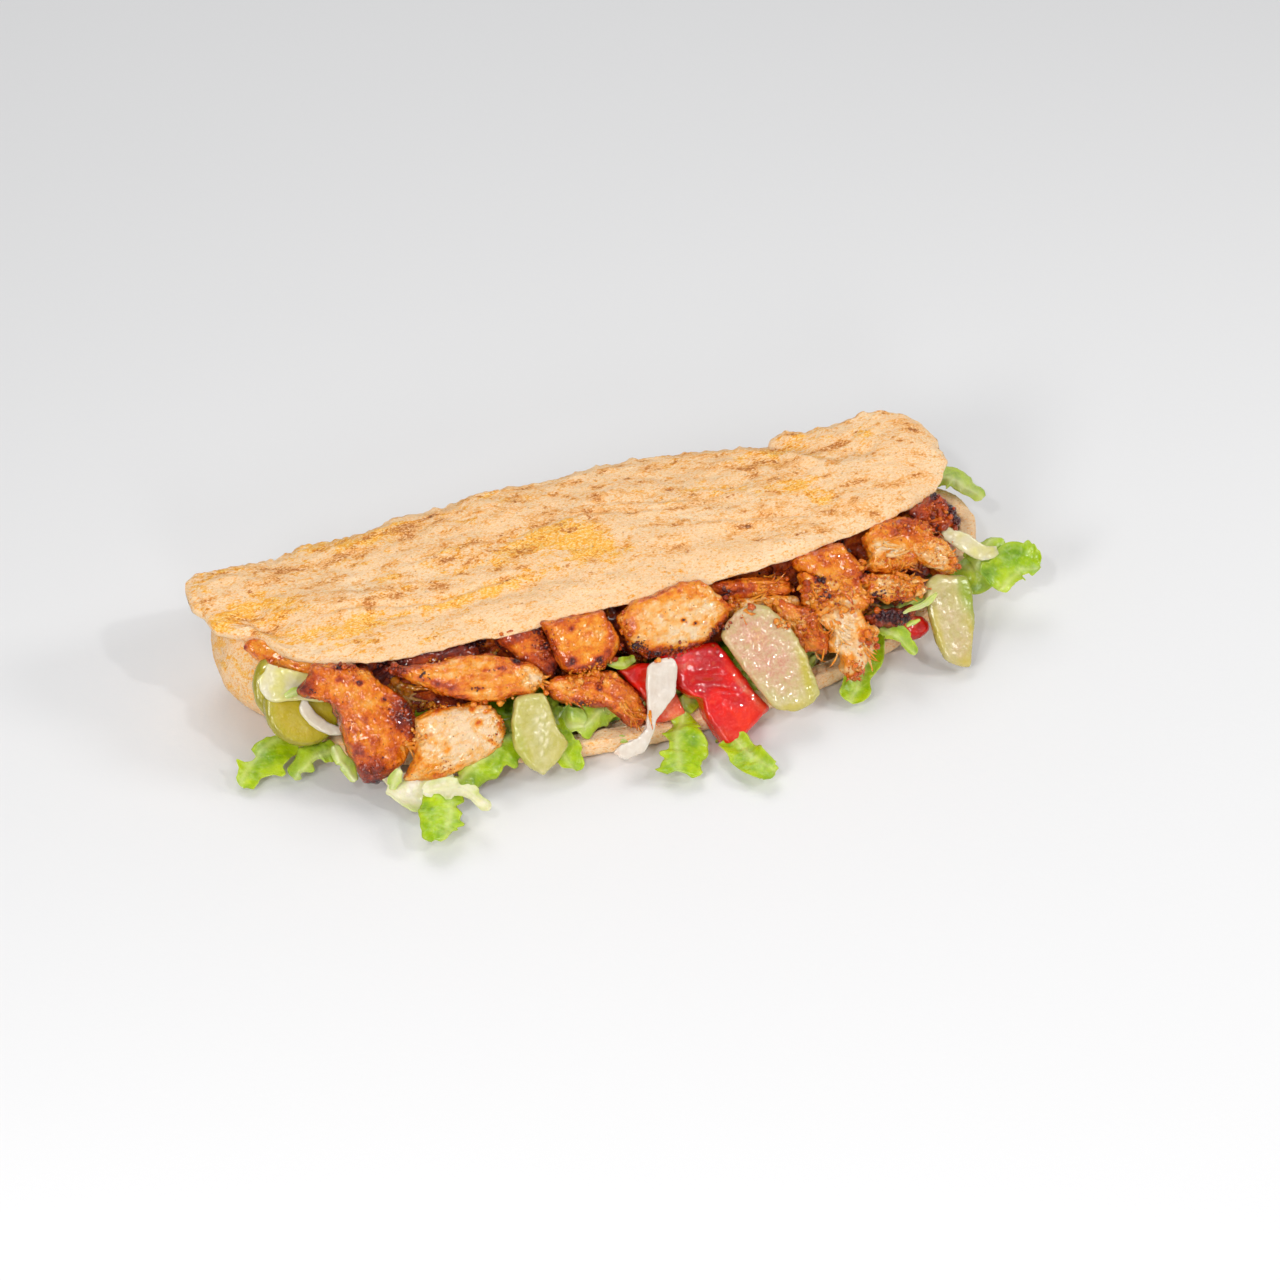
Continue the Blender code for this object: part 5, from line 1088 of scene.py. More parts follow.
meat("chicken_06", chicken, 206, 3, 0.27, plate=dict(outline=((-33, 1), (-31.5, -3), (-30.4, -9), (-29, -15), (-25, -17.6), (-20, -17.8), (-16, -18.6), (-12.5, -16), (-8.6, -12.5), (-8.4, -7), (-10.6, -3), (-11.5, 1)), out=2.6, thick=9.6, bow=0.8, ragged=0.35, dome=0.25, soft=1.0), fibre=0.20, lump=0.55, grit=0.0, rim=0.26, gloss=0.45,
     marks=((-20, -16.5, 9.5, 2.2, 0, 0.24), (-26, -13, 1.3, 1.2, 0, 0.5), (-17.5, -14, 1.4, 1.1, 0, 0.45), (-14, -13, 1.8, 1.4, 0, 0.25),
            (-20, -6, 8, 3.4, 0, -0.06), (-24, -3, 1.0, 0.8, 0, 0.3), (-12, -6, 1.0, 4.0, 0, 0.14)), shine=((-20, -7, 8, 3, 0, 0.15),))
meat("chicken_07", chicken, 207, -34, 0.30, plate=dict(outline=((-36.5, -17.6), (-30, -16.4), (-20, -17.6), (-12, -18.3), (-9.5, -23), (-5.8, -27.5), (-5.6, -35), (-7.6, -38.4), (-11.4, -38), (-13.4, -34), (-17, -29.6), (-22, -28.8), (-28, -26.4), (-33.5, -23.8)), out=3.0, thick=6.4, tilt=-0.05, bow=0.8, ragged=0.55, dome=0.3, soft=1.0), fibre=0.48, lump=0.5, grit=0.04, rim=0.30, gloss=0.5, pits=0.3,
     marks=((-25, -27, 6.0, 1.4, -12, 0.30), (-19, -23, 1.1, 1.0, 0, 0.35), (-11, -34, 2.0, 4.0, 30, 0.14), (-30, -19, 4, 1.2, -10, -0.12),
            (-18, -21, 5, 1.0, -20, -0.12)), shine=((-24, -22, 8, 3, -30, 0.2),))
meat("chicken_08", chicken, 208, 8, 0.06, plate=dict(outline=((-8.6, -2.6), (-5.6, -1), (-2.4, 1.6), (8, 2.4), (14, 4.2), (22, 2.8), (25.4, -2), (30.4, -8), (27.4, -11.3), (22, -14.3), (17, -17.2), (9, -18.2), (1, -17.9), (-5.4, -14.4), (-7.6, -9)), out=4.6, thick=9.6, bow=1.4, ragged=0.50, dome=0.3, soft=1.0), fibre=0.20, lump=0.5, grit=0.0, rim=0.52, rim_width=1.7, gloss=0.5, pits=0.15,
     marks=((10, -8, 10, 6, 5, -0.06), (17, -1, 8, 1.2, -24, 0.16), (-5, -6, 2.2, 3.0, 0, 0.24), (11, -8, 0.9, 0.7, 0, 0.4),
            (15, -9.7, 0.9, 0.7, 0, 0.4), (0, -16, 6, 1.8, -22, 0.34), (12, -17.5, 9, 1.6, 4, 0.42), (24, -12, 4, 2.4, 45, 0.36),
            (3, -15, 4, 1.3, -25, 0.2), (8, -3, 8, 2.2, 0, 0.05), (27, -7, 2, 3, 0, 0.2)), shine=((12, -17, 12, 2.5, 0, 0.4),))
meat("chicken_09", chicken, 209, -6, 0.30, voxel=0.46, times=18, fibre=0.36, lump=0.5, grit=0.10, gloss=0.5,
     marks=((30, -3, 5, 0.9, -5, 0.3), (44, -4, 5, 1.0, -5, -0.10), (36, 0, 6, 1, 0, -0.08)))
meat("chicken_10", chicken, 210, -78, 0.0, plate=dict(outline=((56.5, -17.5), (63, -15), (70.5, -16.5), (71, -21), (75.5, -25.5), (72.5, -31), (68.6, -34.8), (64.4, -39.6), (60, -35.4), (61.2, -30), (57.4, -28), (59.4, -22)), out=4.4, thick=6.6, tilt=-0.05, bow=0.5, ragged=0.75, dome=0.3, soft=0.7), fibre=0.28, lump=0.7, grit=0.0, rim=0.26, rim_width=0.8, gloss=0.45, pits=0.25,
     marks=((70, -26, 2.6, 3.6, 10, 0.34), (63, -32, 2.0, 2.2, 0, 0.28), (64, -38, 3.5, 2.0, 0, 0.36), (60, -21, 2.0, 4.0, 0, -0.05),
            (71, -19, 1.6, 2.0, 0, 0.2), (66, -30, 1.2, 5.0, 5, -0.05), (58.5, -30, 1.0, 4.0, 0, 0.2)))
meat("chicken_11", chicken, 211, -18, 0.25, plate=dict(outline=((52.5, 3.2), (60, 4.4), (70, 5.2), (73.6, -0.6), (76, -4.6), (75.2, -9.6), (66, -9.6), (59.6, -5.6), (53.6, -1)), out=1.2, thick=8.0, lean=-0.05, bow=1.2, ragged=0.40, dome=0.4, soft=1.4), fibre=0.14, lump=0.5, grit=0.0, rim=0.20, gloss=0.7,
     marks=((74, -8, 2.5, 3.0, 0, 0.25), (60, -4, 4, 1.4, -20, -0.06), (68, 0, 5, 2.0, -10, 0.08), (70, -5, 3, 1, 0, 0.1)),
     shine=((64, 0, 8, 3, -10, 0.2),))
meat("chicken_12", chicken, 212, -8, 0.17, plate=dict(outline=((78.6, 5), (83, 8.4), (92, 8.8), (100, 6.4), (105.4, 1.5), (98.5, -1), (95.5, -8.2), (84, -9), (76.4, -5.4), (80, -1)), out=-2.4, thick=8.0, lean=-0.06, bow=1.0, ragged=0.75, dome=0.3, soft=0.8), fibre=0.42, lump=0.7, grit=0.05, rim=0.26, gloss=0.6, pits=0.4,
     marks=((92, 5, 8.5, 2.4, 5, 0.26), (82, 1, 2.4, 2.0, 20, -0.20), (88, -2, 3.0, 2.0, 10, -0.16), (93, -4, 3, 1.6, 0, 0.12),
            (85, -7, 3, 1.5, -20, 0.14)), shine=((92, 4, 8, 3, 0, 0.25),))
meat("chicken_13", chicken, 213, -24, 0.08, plate=dict(outline=((93.6, 2.4), (99, 1.6), (104.4, -0.6), (109, -7), (106.8, -13), (102, -12), (96.6, -8.6), (92.4, -3)), out=-1.2, thick=7.2, lean=-0.10, bow=1.0, ragged=0.60, dome=0.35, soft=1.0), fibre=0.30, lump=0.6, grit=0.20, rim=0.20, gloss=1.0,
     marks=((106, -10, 2.5, 2.0, 0, 0.16), (97, 0, 4, 1.8, -10, 0.16), (101, -5, 5, 3, -20, 0.02)), shine=((101, -5, 9, 7, 0, 0.4),))
meat("chicken_14", chicken, 214, 35, 0.46, plate=dict(outline=((97.6, 10), (104, 13), (109.6, 12.6), (113, 8), (113.6, 3), (109, -0.6), (102.6, 1.6), (98.4, 6)), out=-6.8, thick=8.6, lean=-0.15, bow=0.8, ragged=1.0, dome=0.3, soft=0.6), fibre=0.1, lump=1.5, grit=0.30, rim=0.18, gloss=0.55,
     marks=((111, 7, 2.4, 2.4, 0, 0.45), (112, 4, 1.8, 1.6, 0, 0.4), (103, 9, 2.4, 1.8, 0, -0.12), (105, 5, 2.4, 1.8, 0, -0.06)))
meat("chicken_15", chicken, 215, -12, 0.05, plate=dict(outline=((74.6, -7.6), (84, -8.4), (90, -10.4), (96.4, -12.8), (94.6, -17.4), (87, -19), (80, -17.4), (75.4, -12.4)), out=0.6, thick=6.6, lean=-0.1, bow=0.6, ragged=0.85, dome=0.3, soft=0.6), fibre=0.50, lump=0.9, grit=0.06, rim=0.25, gloss=0.5, pits=0.3,
     marks=((85, -17, 2.6, 1.0, 0, 0.55), (79, -11, 2.0, 1.6, 0, -0.08), (90, -15, 2.0, 1.5, 0, 0.15)))
meat("chicken_16", chicken, 216, -12, 0.50,
     plate=dict(outline=((70.6, -20), (78, -18.4), (84, -19.4), (90.4, -20.4), (90.6, -23), (87.6, -25.6), (82, -25.8), (75, -24)), out=0.4, thick=7.0, lean=-0.05, bow=0.5, ragged=0.9, dome=0.35, soft=0.7),
     fibre=0.12, lump=1.0, grit=0.30, rim=0.20, gloss=0.75,
     marks=((82, -22.5, 5.5, 2.4, -10, 0.42), (91, -17, 3.0, 1.8, 0, -0.30), (84, -16, 3.0, 1.2, -10, -0.24)))
meat("chicken_17", chicken, 217, -30, 0.20, plate=dict(outline=((53.6, -1.4), (58, -3.6), (66, -3.4), (74.4, -8.6), (76, -13.6), (72.4, -19.6), (64, -17.2), (57, -17.6), (52.6, -12), (54, -6.6)), out=1.6, thick=7.6, bow=0.6, ragged=1.0, dome=0.3, soft=0.6), fibre=0.36, lump=1.1, grit=0.12, rim=0.22, gloss=0.6, pits=0.7,
     marks=((59, -5, 2.2, 1.3, -20, 0.5), (60, -10.5, 2.4, 1.3, -10, 0.6), (57, -8, 2.0, 1.6, 0, -0.10), (68, -14, 2.4, 2.0, 0, -0.12),
            (64, -7, 3.4, 1.6, -30, -0.05), (71, -9, 1.6, 2.4, 0, 0.2)), shine=((66, -12, 6, 4, 0, 0.2),))
meat("chicken_18", chicken, 218, -55, 0.27, plate=dict(outline=((41, -9.6), (46, -9), (54, -13.2), (58.6, -18.4), (60.4, -25), (57, -31), (53.4, -27.6), (50, -27.4), (46.8, -22), (44.6, -15.6)), out=1.2, thick=7.6, tilt=-0.05, bow=0.6, ragged=0.95, dome=0.3, soft=0.6), fibre=0.34, lump=1.1, grit=0.14, rim=0.22, gloss=0.55, pits=0.6,
     marks=((56, -22, 2.6, 4.2, 0, 0.16), (48, -17, 4.0, 2.4, -20, -0.14), (43, -15, 2.5, 2.0, 0, -0.06), (52, -28, 3, 2, 0, 0.12)))
meat("chicken_19", chicken, 219, -6, 0.05, voxel=0.46, times=18, fibre=0.18, lump=0.5, grit=0.04, gloss=0.5,
     marks=((34, -8, 6, 1.1, -3, -0.12), (46, -11, 5, 1.6, -10, 0.10), (30, -7, 2, 1.5, 0, 0.2)))
meat("chicken_20", chicken, 220, 5, 0.62, fibre=0.30, lump=0.8, grit=0.14, gloss=0.4,
     marks=((-60, -6, 4, 2, 0, 0.2), (-70, -2, 5, 2, 0, -0.08), (-74, -5, 2.0, 2.0, 0, 0.3)))


# ------------------------------------------------------------ pickles and salad
def pickle_look():
    L = Look("pickled_cucumber", Roughness=0.22, Specular_IOR_Level=0.5, Subsurface_Weight=0.30, Subsurface_Scale=0.004,
             Subsurface_Radius=(0.8, 0.9, 0.25), Coat_Weight=0.6, Coat_Roughness=0.08)
    fine = L.noise(1300, 4, 0.6)
    mid = L.noise(330, 4, 0.55)
    base = L.blend(L.step(mid, 0.35, 0.68), (0.50, 0.43, 0.060), (0.58, 0.51, 0.14))
    base = L.blend(L.attr("milky"), base, L.blend(L.step(mid, 0.35, 0.65), (0.49, 0.455, 0.165), (0.59, 0.535, 0.27)))
    base = L.blend(L.math("MULTIPLY", L.attr("pink"), L.step(mid, 0.30, 0.62, 0.70, 1.0)), base, L.blend(L.step(fine, 0.38, 0.62), (0.58, 0.25, 0.155), (0.62, 0.37, 0.225)))
    base = L.blend(L.attr("olive"), base, (0.56, 0.43, 0.016))
    base = L.blend(L.attr("green"), base, (0.28, 0.37, 0.015))
    base = L.blend(L.math("MULTIPLY", L.attr("skin"), L.step(mid, 0.3, 0.6, 0.55, 1.0)), base, (0.30, 0.255, 0.006))
    base = L.blend(L.attr("seed"), base, (0.74, 0.66, 0.38))
    base = L.blend(L.math("MULTIPLY", L.attr("warm"), L.step(fine, 0.35, 0.6)), base, (0.80, 0.36, 0.06))
    h = L.math("ADD", L.math("MULTIPLY", fine, 0.6), mid)
    rough = L.step(mid, 0.3, 0.7, 0.30, 0.14)
    return L.set(Base_Color=base, Roughness=rough, Normal=L.relief(h, 0.00035, 0.7))


SALAD = []


def cut_shape(name, voxel=0.46, times=14, keep=0.3, plate=None, seed=1):
    v, f = slab(seed=seed, voxel=voxel, **plate) if plate else node_mesh(name, voxel, times, keep)
    a, b, o = face_coords(v)
    return v, f, a, b, vertex_normals(v, f), inside_depth(a, b)


def seeds_on(v, f, a, b, nor, places):
    """Pale flat seeds standing a little out of a cut face, and where they are."""
    seed = np.zeros(len(a))
    for ca, cb, ra, rb, turn in places:
        seed = np.maximum(seed, blob(a, b, ca, cb, ra, rb, turn, 2.5))
    seed = seed * smooth(0.4, 0.8, nor @ FACE_OUT)
    return v + nor * (0.45 * seed)[:, None], seed


def pickle_slice(name, material, at, tip, turn, radius, seed):
    v, f = node_mesh(name, 0.50, 10, 0.3)
    nor = vertex_normals(v, f)
    m = Matrix.Rotation(math.radians(turn), 3, "Z") @ Matrix.Rotation(math.radians(tip), 3, "X")
    axis = np.array(m.col[2])
    d = v - np.array(at)
    side = d - (d @ axis)[:, None] * axis
    r = np.linalg.norm(side, axis=1)
    ang = np.arctan2(side @ np.array(m.col[1]), side @ np.array(m.col[0]))
    ring = bump(r, radius * 0.48, 1.7) * (0.5 + 0.5 * np.sin(ang * 9 + 1.5 * perlin(v / 4, seed)))
    lobes = smooth(0.2, 1.0, np.cos(ang * 3 + 0.6)) * smooth(0.55, 0.1, r / radius)
    v = v + nor * (0.16 * fbm(v / 3.0, 3, seed) + 0.12 * ring)[:, None]
    skin = smooth(radius - 1.5, radius - 0.35, r)
    n = fbm(v / 4.5, 2, seed + 1)
    return make(name + "_slice", v, f, material, [name],
                dict(milky=clamp(0.22 * ring + 0.20 * lobes + 0.15 * n), pink=0 * r, olive=clamp(0.85 - 0.30 * lobes - 0.15 * ring + 0.3 * n),
                     green=clamp(0.20 * smooth(radius - 4.0, radius - 1.4, r) + 0.08 * n), skin=skin, seed=0 * r, warm=0 * r))


def pickle_spear(name, material, seed, plate=None, places=(), milky=(), pink=(), green=(), olive=(), warm=(), skin_sides=(), lump=0.35, base=0.5):
    v, f, a, b, nor, depth = cut_shape(name, plate=plate, seed=seed)
    n1, n2_ = fbm(v / 4.0, 3, seed), fbm(v / 1.6, 2, seed + 1)
    grain = ridge(np.stack([a / 1.6, b / 6.0, 0 * a + seed], 1), seed + 2) - 0.55
    ridges = smooth(0.25, 0.7, nor @ FACE_OUT)
    v = v + nor * (lump * n1 + 0.14 * n2_ + 0.14 * grain * ridges - 0.35 * ridges * smooth(2.0, 6.0, depth))[:, None]
    v, sd = seeds_on(v, f, a, b, nor, places)
    SALAD.append((v, f))
    edge = np.exp(-np.maximum(depth - 0.4, 0) / 0.8) * np.clip(spots(a, b, skin_sides), 0, 1)
    wiggle = 0.8 * n1
    return make(name + "_piece", v, f, material, [name],
                dict(milky=clamp(base + spots(a + wiggle, b, milky) + 0.3 * n1 + 0.2 * n2_), pink=clamp(spots(a + wiggle, b + wiggle, pink) * (1 + 0.5 * n2_)),
                     green=clamp(spots(a, b + wiggle, green)), olive=clamp(spots(a, b + wiggle, olive)), skin=clamp(edge * 1.1 + 0.6 * smooth(0.15, -0.4, nor @ FACE_OUT)),
                     seed=clamp(sd * 0.7), warm=clamp(spots(a, b, warm))))


pickled = pickle_look()
pickle_slice("pickle_01", pickled, (-107.8, -18.0, 21.4), 52, 14, 12.6, 301)
pickle_slice("pickle_02", pickled, (-109.45, -10.9, 24.1), 52, 14, 12.4, 302)
pickle_spear("pickle_03", pickled, 303, base=0.42,
             plate=dict(outline=((-46, -19.8), (-41, -19.6), (-36.6, -20.4), (-35.4, -27), (-34.6, -33), (-32.4, -37), (-32.8, -38.8), (-36, -41.4), (-42.4, -45.8), (-47, -41.4), (-50, -35), (-49, -27)),
                        out=6.0, thick=4.2, ragged=0.14, dome=0.2, soft=0.6, taper=0.06),
             places=[(-41 + 0.9 * math.sin(k * 2.1), -28 - 2.1 * k, 0.55, 1.0, 20 * math.sin(k)) for k in range(6)]
             + [(-38.6 + 0.8 * math.sin(k * 1.7), -27.5 - 2.6 * k, 0.5, 0.95, -15) for k in range(4)],
             milky=((-41, -32, 2.6, 9, 0, 0.35), (-47, -36, 2, 8, 10, -0.4), (-44, -44, 4, 4, 0, 0.35)), green=((-48, -33, 1.8, 9, 10, 0.35), (-35, -27, 1.5, 6, 8, 0.25)),
             olive=((-36, -41, 4, 3, 0, 0.15),), skin_sides=((-34, -30, 2.5, 12, 12, 0.8),))
pickle_spear("pickle_04", pickled, 304, base=0.75,
             plate=dict(outline=((24, -12.5), (28.6, -9), (34, -7.4), (39.5, -9.4), (41.4, -12), (44.2, -15.6), (47, -22), (48.2, -27), (48.9, -34), (49.7, -40.2), (45.8, -42.6), (41, -44), (36, -43), (32.6, -40), (30, -34), (27, -28), (24.6, -22), (21.8, -15.4)),
                        out=10.0, thick=3.8, tilt=-0.10, ragged=0.18, dome=0.25, soft=0.8, taper=0.06),
             milky=((35, -27, 6, 14, -8, 0.3),), pink=((33, -22, 11.0, 13.0, -18, 0.95), (28, -14, 7.0, 5.5, -20, 0.4), (40, -32, 7, 9, 0, 0.45)),
             green=((46, -36, 1.6, 8, 0, 0.20),), olive=((36, -43, 9, 2.6, 4, 0.55), (46, -33, 1.6, 9, 0, 0.75), (23, -26, 1.4, 9, 24, 0.55), (30, -40, 3, 2, 0, 0.3)),
             warm=((42, -16, 1.5, 1.4, 0, 0.9), (33, -18, 3, 3, 0, 0.3)),
             skin_sides=((47, -32, 3.0, 14, 0, 0.8), (24, -28, 2.5, 14, 20, 0.75), (36, -45, 12, 2.5, 0, 0.5), (41, -12, 3, 5, 0, 0.3)))
pickle_spear("pickle_05", pickled, 305, base=0.70,
             plate=dict(outline=((94.8, -16), (97, -13), (100.6, -11.8), (105, -13.2), (110.6, -14.4), (111.4, -20), (109.8, -30), (107, -37.5), (104.6, -43.9), (101, -42.6), (96.6, -39.8), (95, -33), (94.5, -24)),
                        out=-0.5, thick=4.2, tilt=-0.05, lean=-0.10, ragged=0.12, dome=0.3, soft=0.7, taper=0.07),
             milky=((100, -30, 4.0, 11, 0, 0.3),), green=((109, -19, 3.2, 7.5, 0, 0.95), (110, -30, 1.4, 8, 0, 0.5), (101, -13, 4, 1.0, 0, 0.2)),
             olive=((104, -42, 6, 3, 0, 0.5), (95.5, -33, 1.4, 12, -4, 0.6), (108, -34, 1.5, 8, 8, 0.5)), pink=((101, -27, 8, 16, 0, 0.30), (103, -38, 4, 6, 0, 0.15)), lump=0.22,
             skin_sides=((95, -30, 2.5, 16, 0, 0.8), (110, -30, 2.5, 16, 0, 0.7)))


def tomato_look():
    L = Look("tomato", Roughness=0.14, Specular_IOR_Level=0.25, Subsurface_Weight=0.18, Subsurface_Scale=0.004,
             Subsurface_Radius=(1.0, 0.08, 0.03), Coat_Weight=0.85, Coat_Roughness=0.04)
    broad = L.noise(95, 3, 0.5)
    mid = L.noise(230, 4, 0.55)
    fine = L.noise(1100, 3, 0.6)
    base = L.blend(L.step(mid, 0.36, 0.66), (0.64, 0.002, 0.001), (0.83, 0.010, 0.002))
    base = L.blend(L.step(broad, 0.46, 0.60, 0.0, 0.7), base, (0.42, 0.001, 0.001))
    base = L.blend(L.attr("pale"), base, L.blend(L.step(fine, 0.35, 0.65), (0.90, 0.20, 0.075), (0.93, 0.33, 0.16)))
    base = L.blend(L.attr("skin"), base, L.blend(L.step(mid, 0.3, 0.7), (0.76, 0.014, 0.002), (0.88, 0.040, 0.004)))
    base = L.blend(L.attr("deep"), base, (0.46, 0.004, 0.003))
    h = L.math("ADD", mid, L.math("MULTIPLY", fine, 0.35))
    h = L.math("ADD", h, L.math("MULTIPLY", broad, 1.6))
    return L.set(Base_Color=base, Roughness=L.step(mid, 0.3, 0.7, 0.22, 0.07), Normal=L.relief(h, 0.0008, 0.9))


def tomato_chunk(name, material, seed, plate=None, pale=(), deep=(), hollow=(), ridge_at=(), rind=()):
    v, f, a, b, nor, depth = cut_shape(name, plate=plate, seed=seed)
    n1, n2_, n3 = fbm(v / 5.0, 3, seed), fbm(v / 2.0, 2, seed + 1), fbm(v / 0.9, 2, seed + 2)
    front = smooth(0.3, 0.75, nor @ FACE_OUT)
    calm = 1 - 0.75 * clamp(spots(a, b, rind))
    v = v + nor * calm[:, None] * (0.45 * n1 + 0.16 * n2_ + 0.03 * n3 + front * (spots(a, b, ridge_at) - 1.0 * np.clip(spots(a, b, hollow), 0, 1)))[:, None]
    SALAD.append((v, f))
    side = clamp(smooth(0.30, -0.2, nor @ FACE_OUT) + spots(a, b, rind))
    rim = np.exp(-np.maximum(depth, 0) / 0.9) * front
    return make(name + "_chunk", v, f, material, [name],
                dict(pale=clamp(spots(a + n1, b + n1, pale) * (1 + 0.6 * n2_) + 0.10 * rim + 0.15 * smooth(0.2, 0.7, n2_) * front),
                     deep=clamp(spots(a + 0.6 * n1, b, deep)), skin=clamp(side)))


red = tomato_look()
tomato_chunk("tomato_01", red, 311,
             plate=dict(outline=((2.4, -16.6), (12, -16.4), (22, -17), (23.4, -20), (27.4, -28), (30.4, -35), (34.4, -41.6), (27, -46), (20.2, -50.4), (16.6, -50), (12.6, -40), (12.2, -33.4), (9.6, -32.4), (6.2, -28.4), (4.6, -22)),
                        out=3.6, thick=9.0, tilt=-0.08, lean=-0.04, ragged=0.12, dome=0.12, soft=0.6, taper=0.05),
             rind=((24, -43, 11, 5.6, 32, 0.9),), pale=((27, -34, 0.8, 8, 30, 0.5), (30, -39, 3.0, 1.2, -60, 0.35), (20, -47, 6, 1.0, -20, 0.3), (8, -22, 4, 0.9, -10, 0.25)),
             deep=((17, -29, 5.0, 2.2, -25, 0.7), (24, -37, 3.0, 1.3, -30, 0.5), (14, -22, 4.0, 1.2, 0, 0.35), (12, -40, 1.2, 5, 15, 0.35)),
             hollow=((18, -30, 5.5, 2.0, -20, 0.9), (23, -37, 3, 1.2, -30, 0.5)), ridge_at=((15, -26.5, 4, 1.2, -15, 0.8), (20, -33, 4, 1.2, -25, 0.6), (9, -24, 2, 3, 0, 0.4)))
tomato_chunk("tomato_02", red, 312,
             plate=dict(outline=((-11, -19), (-4, -18.4), (4, -20), (5.4, -27), (8, -37.8), (0, -38.2), (-5.4, -37.8), (-4, -31), (-6.4, -26.6), (-9, -22.6)),
                        out=0.8, thick=7.0, ragged=0.12, dome=0.12, soft=0.6, taper=0.06),
             pale=((2, -34, 6, 4.5, 0, 0.55), (-2, -24, 2, 4, 0, 0.2), (6, -37, 4, 1.2, 0, 0.45), (-5, -33, 1.2, 5, 0, 0.4)),
             deep=((0, -21, 4, 1.5, 0, 0.3),), hollow=((1, -28, 2, 3, 0, 0.5),))
tomato_chunk("tomato_03", red, 313, pale=((88, -25, 3, 2, 0, 0.55),), deep=())


def onion_look():
    L = Look("white_onion", Roughness=0.24, Specular_IOR_Level=0.5, Subsurface_Weight=0.40, Subsurface_Scale=0.004,
             Subsurface_Radius=(1.0, 0.9, 0.75), Coat_Weight=0.5, Coat_Roughness=0.1)
    mid = L.noise(260, 4, 0.55)
    fine = L.noise(1200, 3, 0.6)
    base = L.blend(L.step(mid, 0.36, 0.66), (0.66, 0.57, 0.49), (0.73, 0.655, 0.58))
    base = L.blend(L.math("MULTIPLY", L.attr("vein"), 0.35), base, (0.82, 0.77, 0.70))
    # tint: a yellow-green cast; on onion_03 it is the painted colour of the pickle showing through the thin strip
    base = L.blend(L.attr("tint"), base, (0.66, 0.60, 0.20))
    base = L.blend(L.attr("stain"), base, (0.78, 0.30, 0.08))
    return L.set(Base_Color=base, Normal=L.relief(L.math("ADD", mid, L.math("MULTIPLY", fine, 0.4)), 0.0003, 0.6))


def onion_piece(name, material, seed, turn, tint=0.0, stain=(), plate=None):
    v, f, a, b, nor, depth = cut_shape(name, 0.36, 12, 0.2, plate, seed)
    t = math.radians(turn)
    u, w = a * math.cos(t) + b * math.sin(t), -a * math.sin(t) + b * math.cos(t)
    lines = ridge(np.stack([u / 14, (w + 0.6 * perlin(v / 6, seed)) / 1.15, 0 * u + seed], 1), seed + 1) - 0.55
    n1, n2_ = fbm(v / 4.5, 3, seed + 2), fbm(v / 1.4, 2, seed + 3)
    v = v + nor * (0.045 * lines + 0.34 * n1 + 0.08 * n2_)[:, None]
    SALAD.append((v, f))
    return make(name + "_strip", v, f, material, [name],
                dict(vein=clamp(1.2 * lines + 0.4 * np.exp(-depth / 0.7)), tint=clamp(tint + 0.5 * tint * n1 * 2), stain=clamp(spots(a, b, stain))))


onion = onion_look()
onion_piece("onion_01", onion, 321, 70, 0.03,
            plate=dict(outline=((-4, -19.4), (-1, -18), (4, -18), (5.6, -19.4), (5.6, -22.4), (3.4, -30), (0.4, -32.6), (-4.4, -36.6), (-6.4, -41), (-10.4, -45.4), (-17, -46.6), (-21, -43.2), (-18, -41.6), (-12, -41.2), (-8.4, -38.4), (-6.4, -33), (-5.6, -27), (-4.6, -22.6)),
                       out=10.4, thick=1.9, ragged=0.12, dome=0.2, soft=0.7, taper=0.05, bow=-1.2),
            stain=((-20, -44, 1.5, 1.5, 0, 0.25), (0, -18.5, 3, 0.8, 0, 0.2)))
onion_piece("onion_02", onion, 322, -60, 0.18,
            plate=dict(outline=((-108.2, -6.1), (-106.6, -6.7), (-106.2, -9.2), (-104.4, -12.6), (-101.4, -15.6), (-98.4, -17.6), (-98, -20.2), (-102.1, -19.4), (-105.6, -17), (-107.8, -14.4), (-109.8, -10.8), (-110, -8.6)),
                       out=-10.3, thick=1.6, ragged=0.08, dome=0.3, soft=0.6, taper=0.05))
# its strong tint paints the pickle behind showing through
onion_piece("onion_03", onion, 323, -15, 0.80,
            plate=dict(outline=((-120.4, 2.6), (-118, 4.4), (-116.6, 7), (-113.4, 5), (-109.8, 3.2), (-105.8, 1.2), (-103, 0), (-103.4, -3), (-101.4, -5.6), (-98.8, -6.6), (-99, -8.2), (-100.8, -9.4), (-103.4, -8.7), (-107.8, -7.1), (-112.9, -6.0), (-116.9, -5.9), (-119.3, -4.5), (-120.8, -1.4)),
                       out=-9.8, thick=1.2, ragged=0.10, dome=0.3, soft=0.7, taper=0.04, bow=0.8))
onion_piece("onion_04", onion, 324, -35, 0.62)


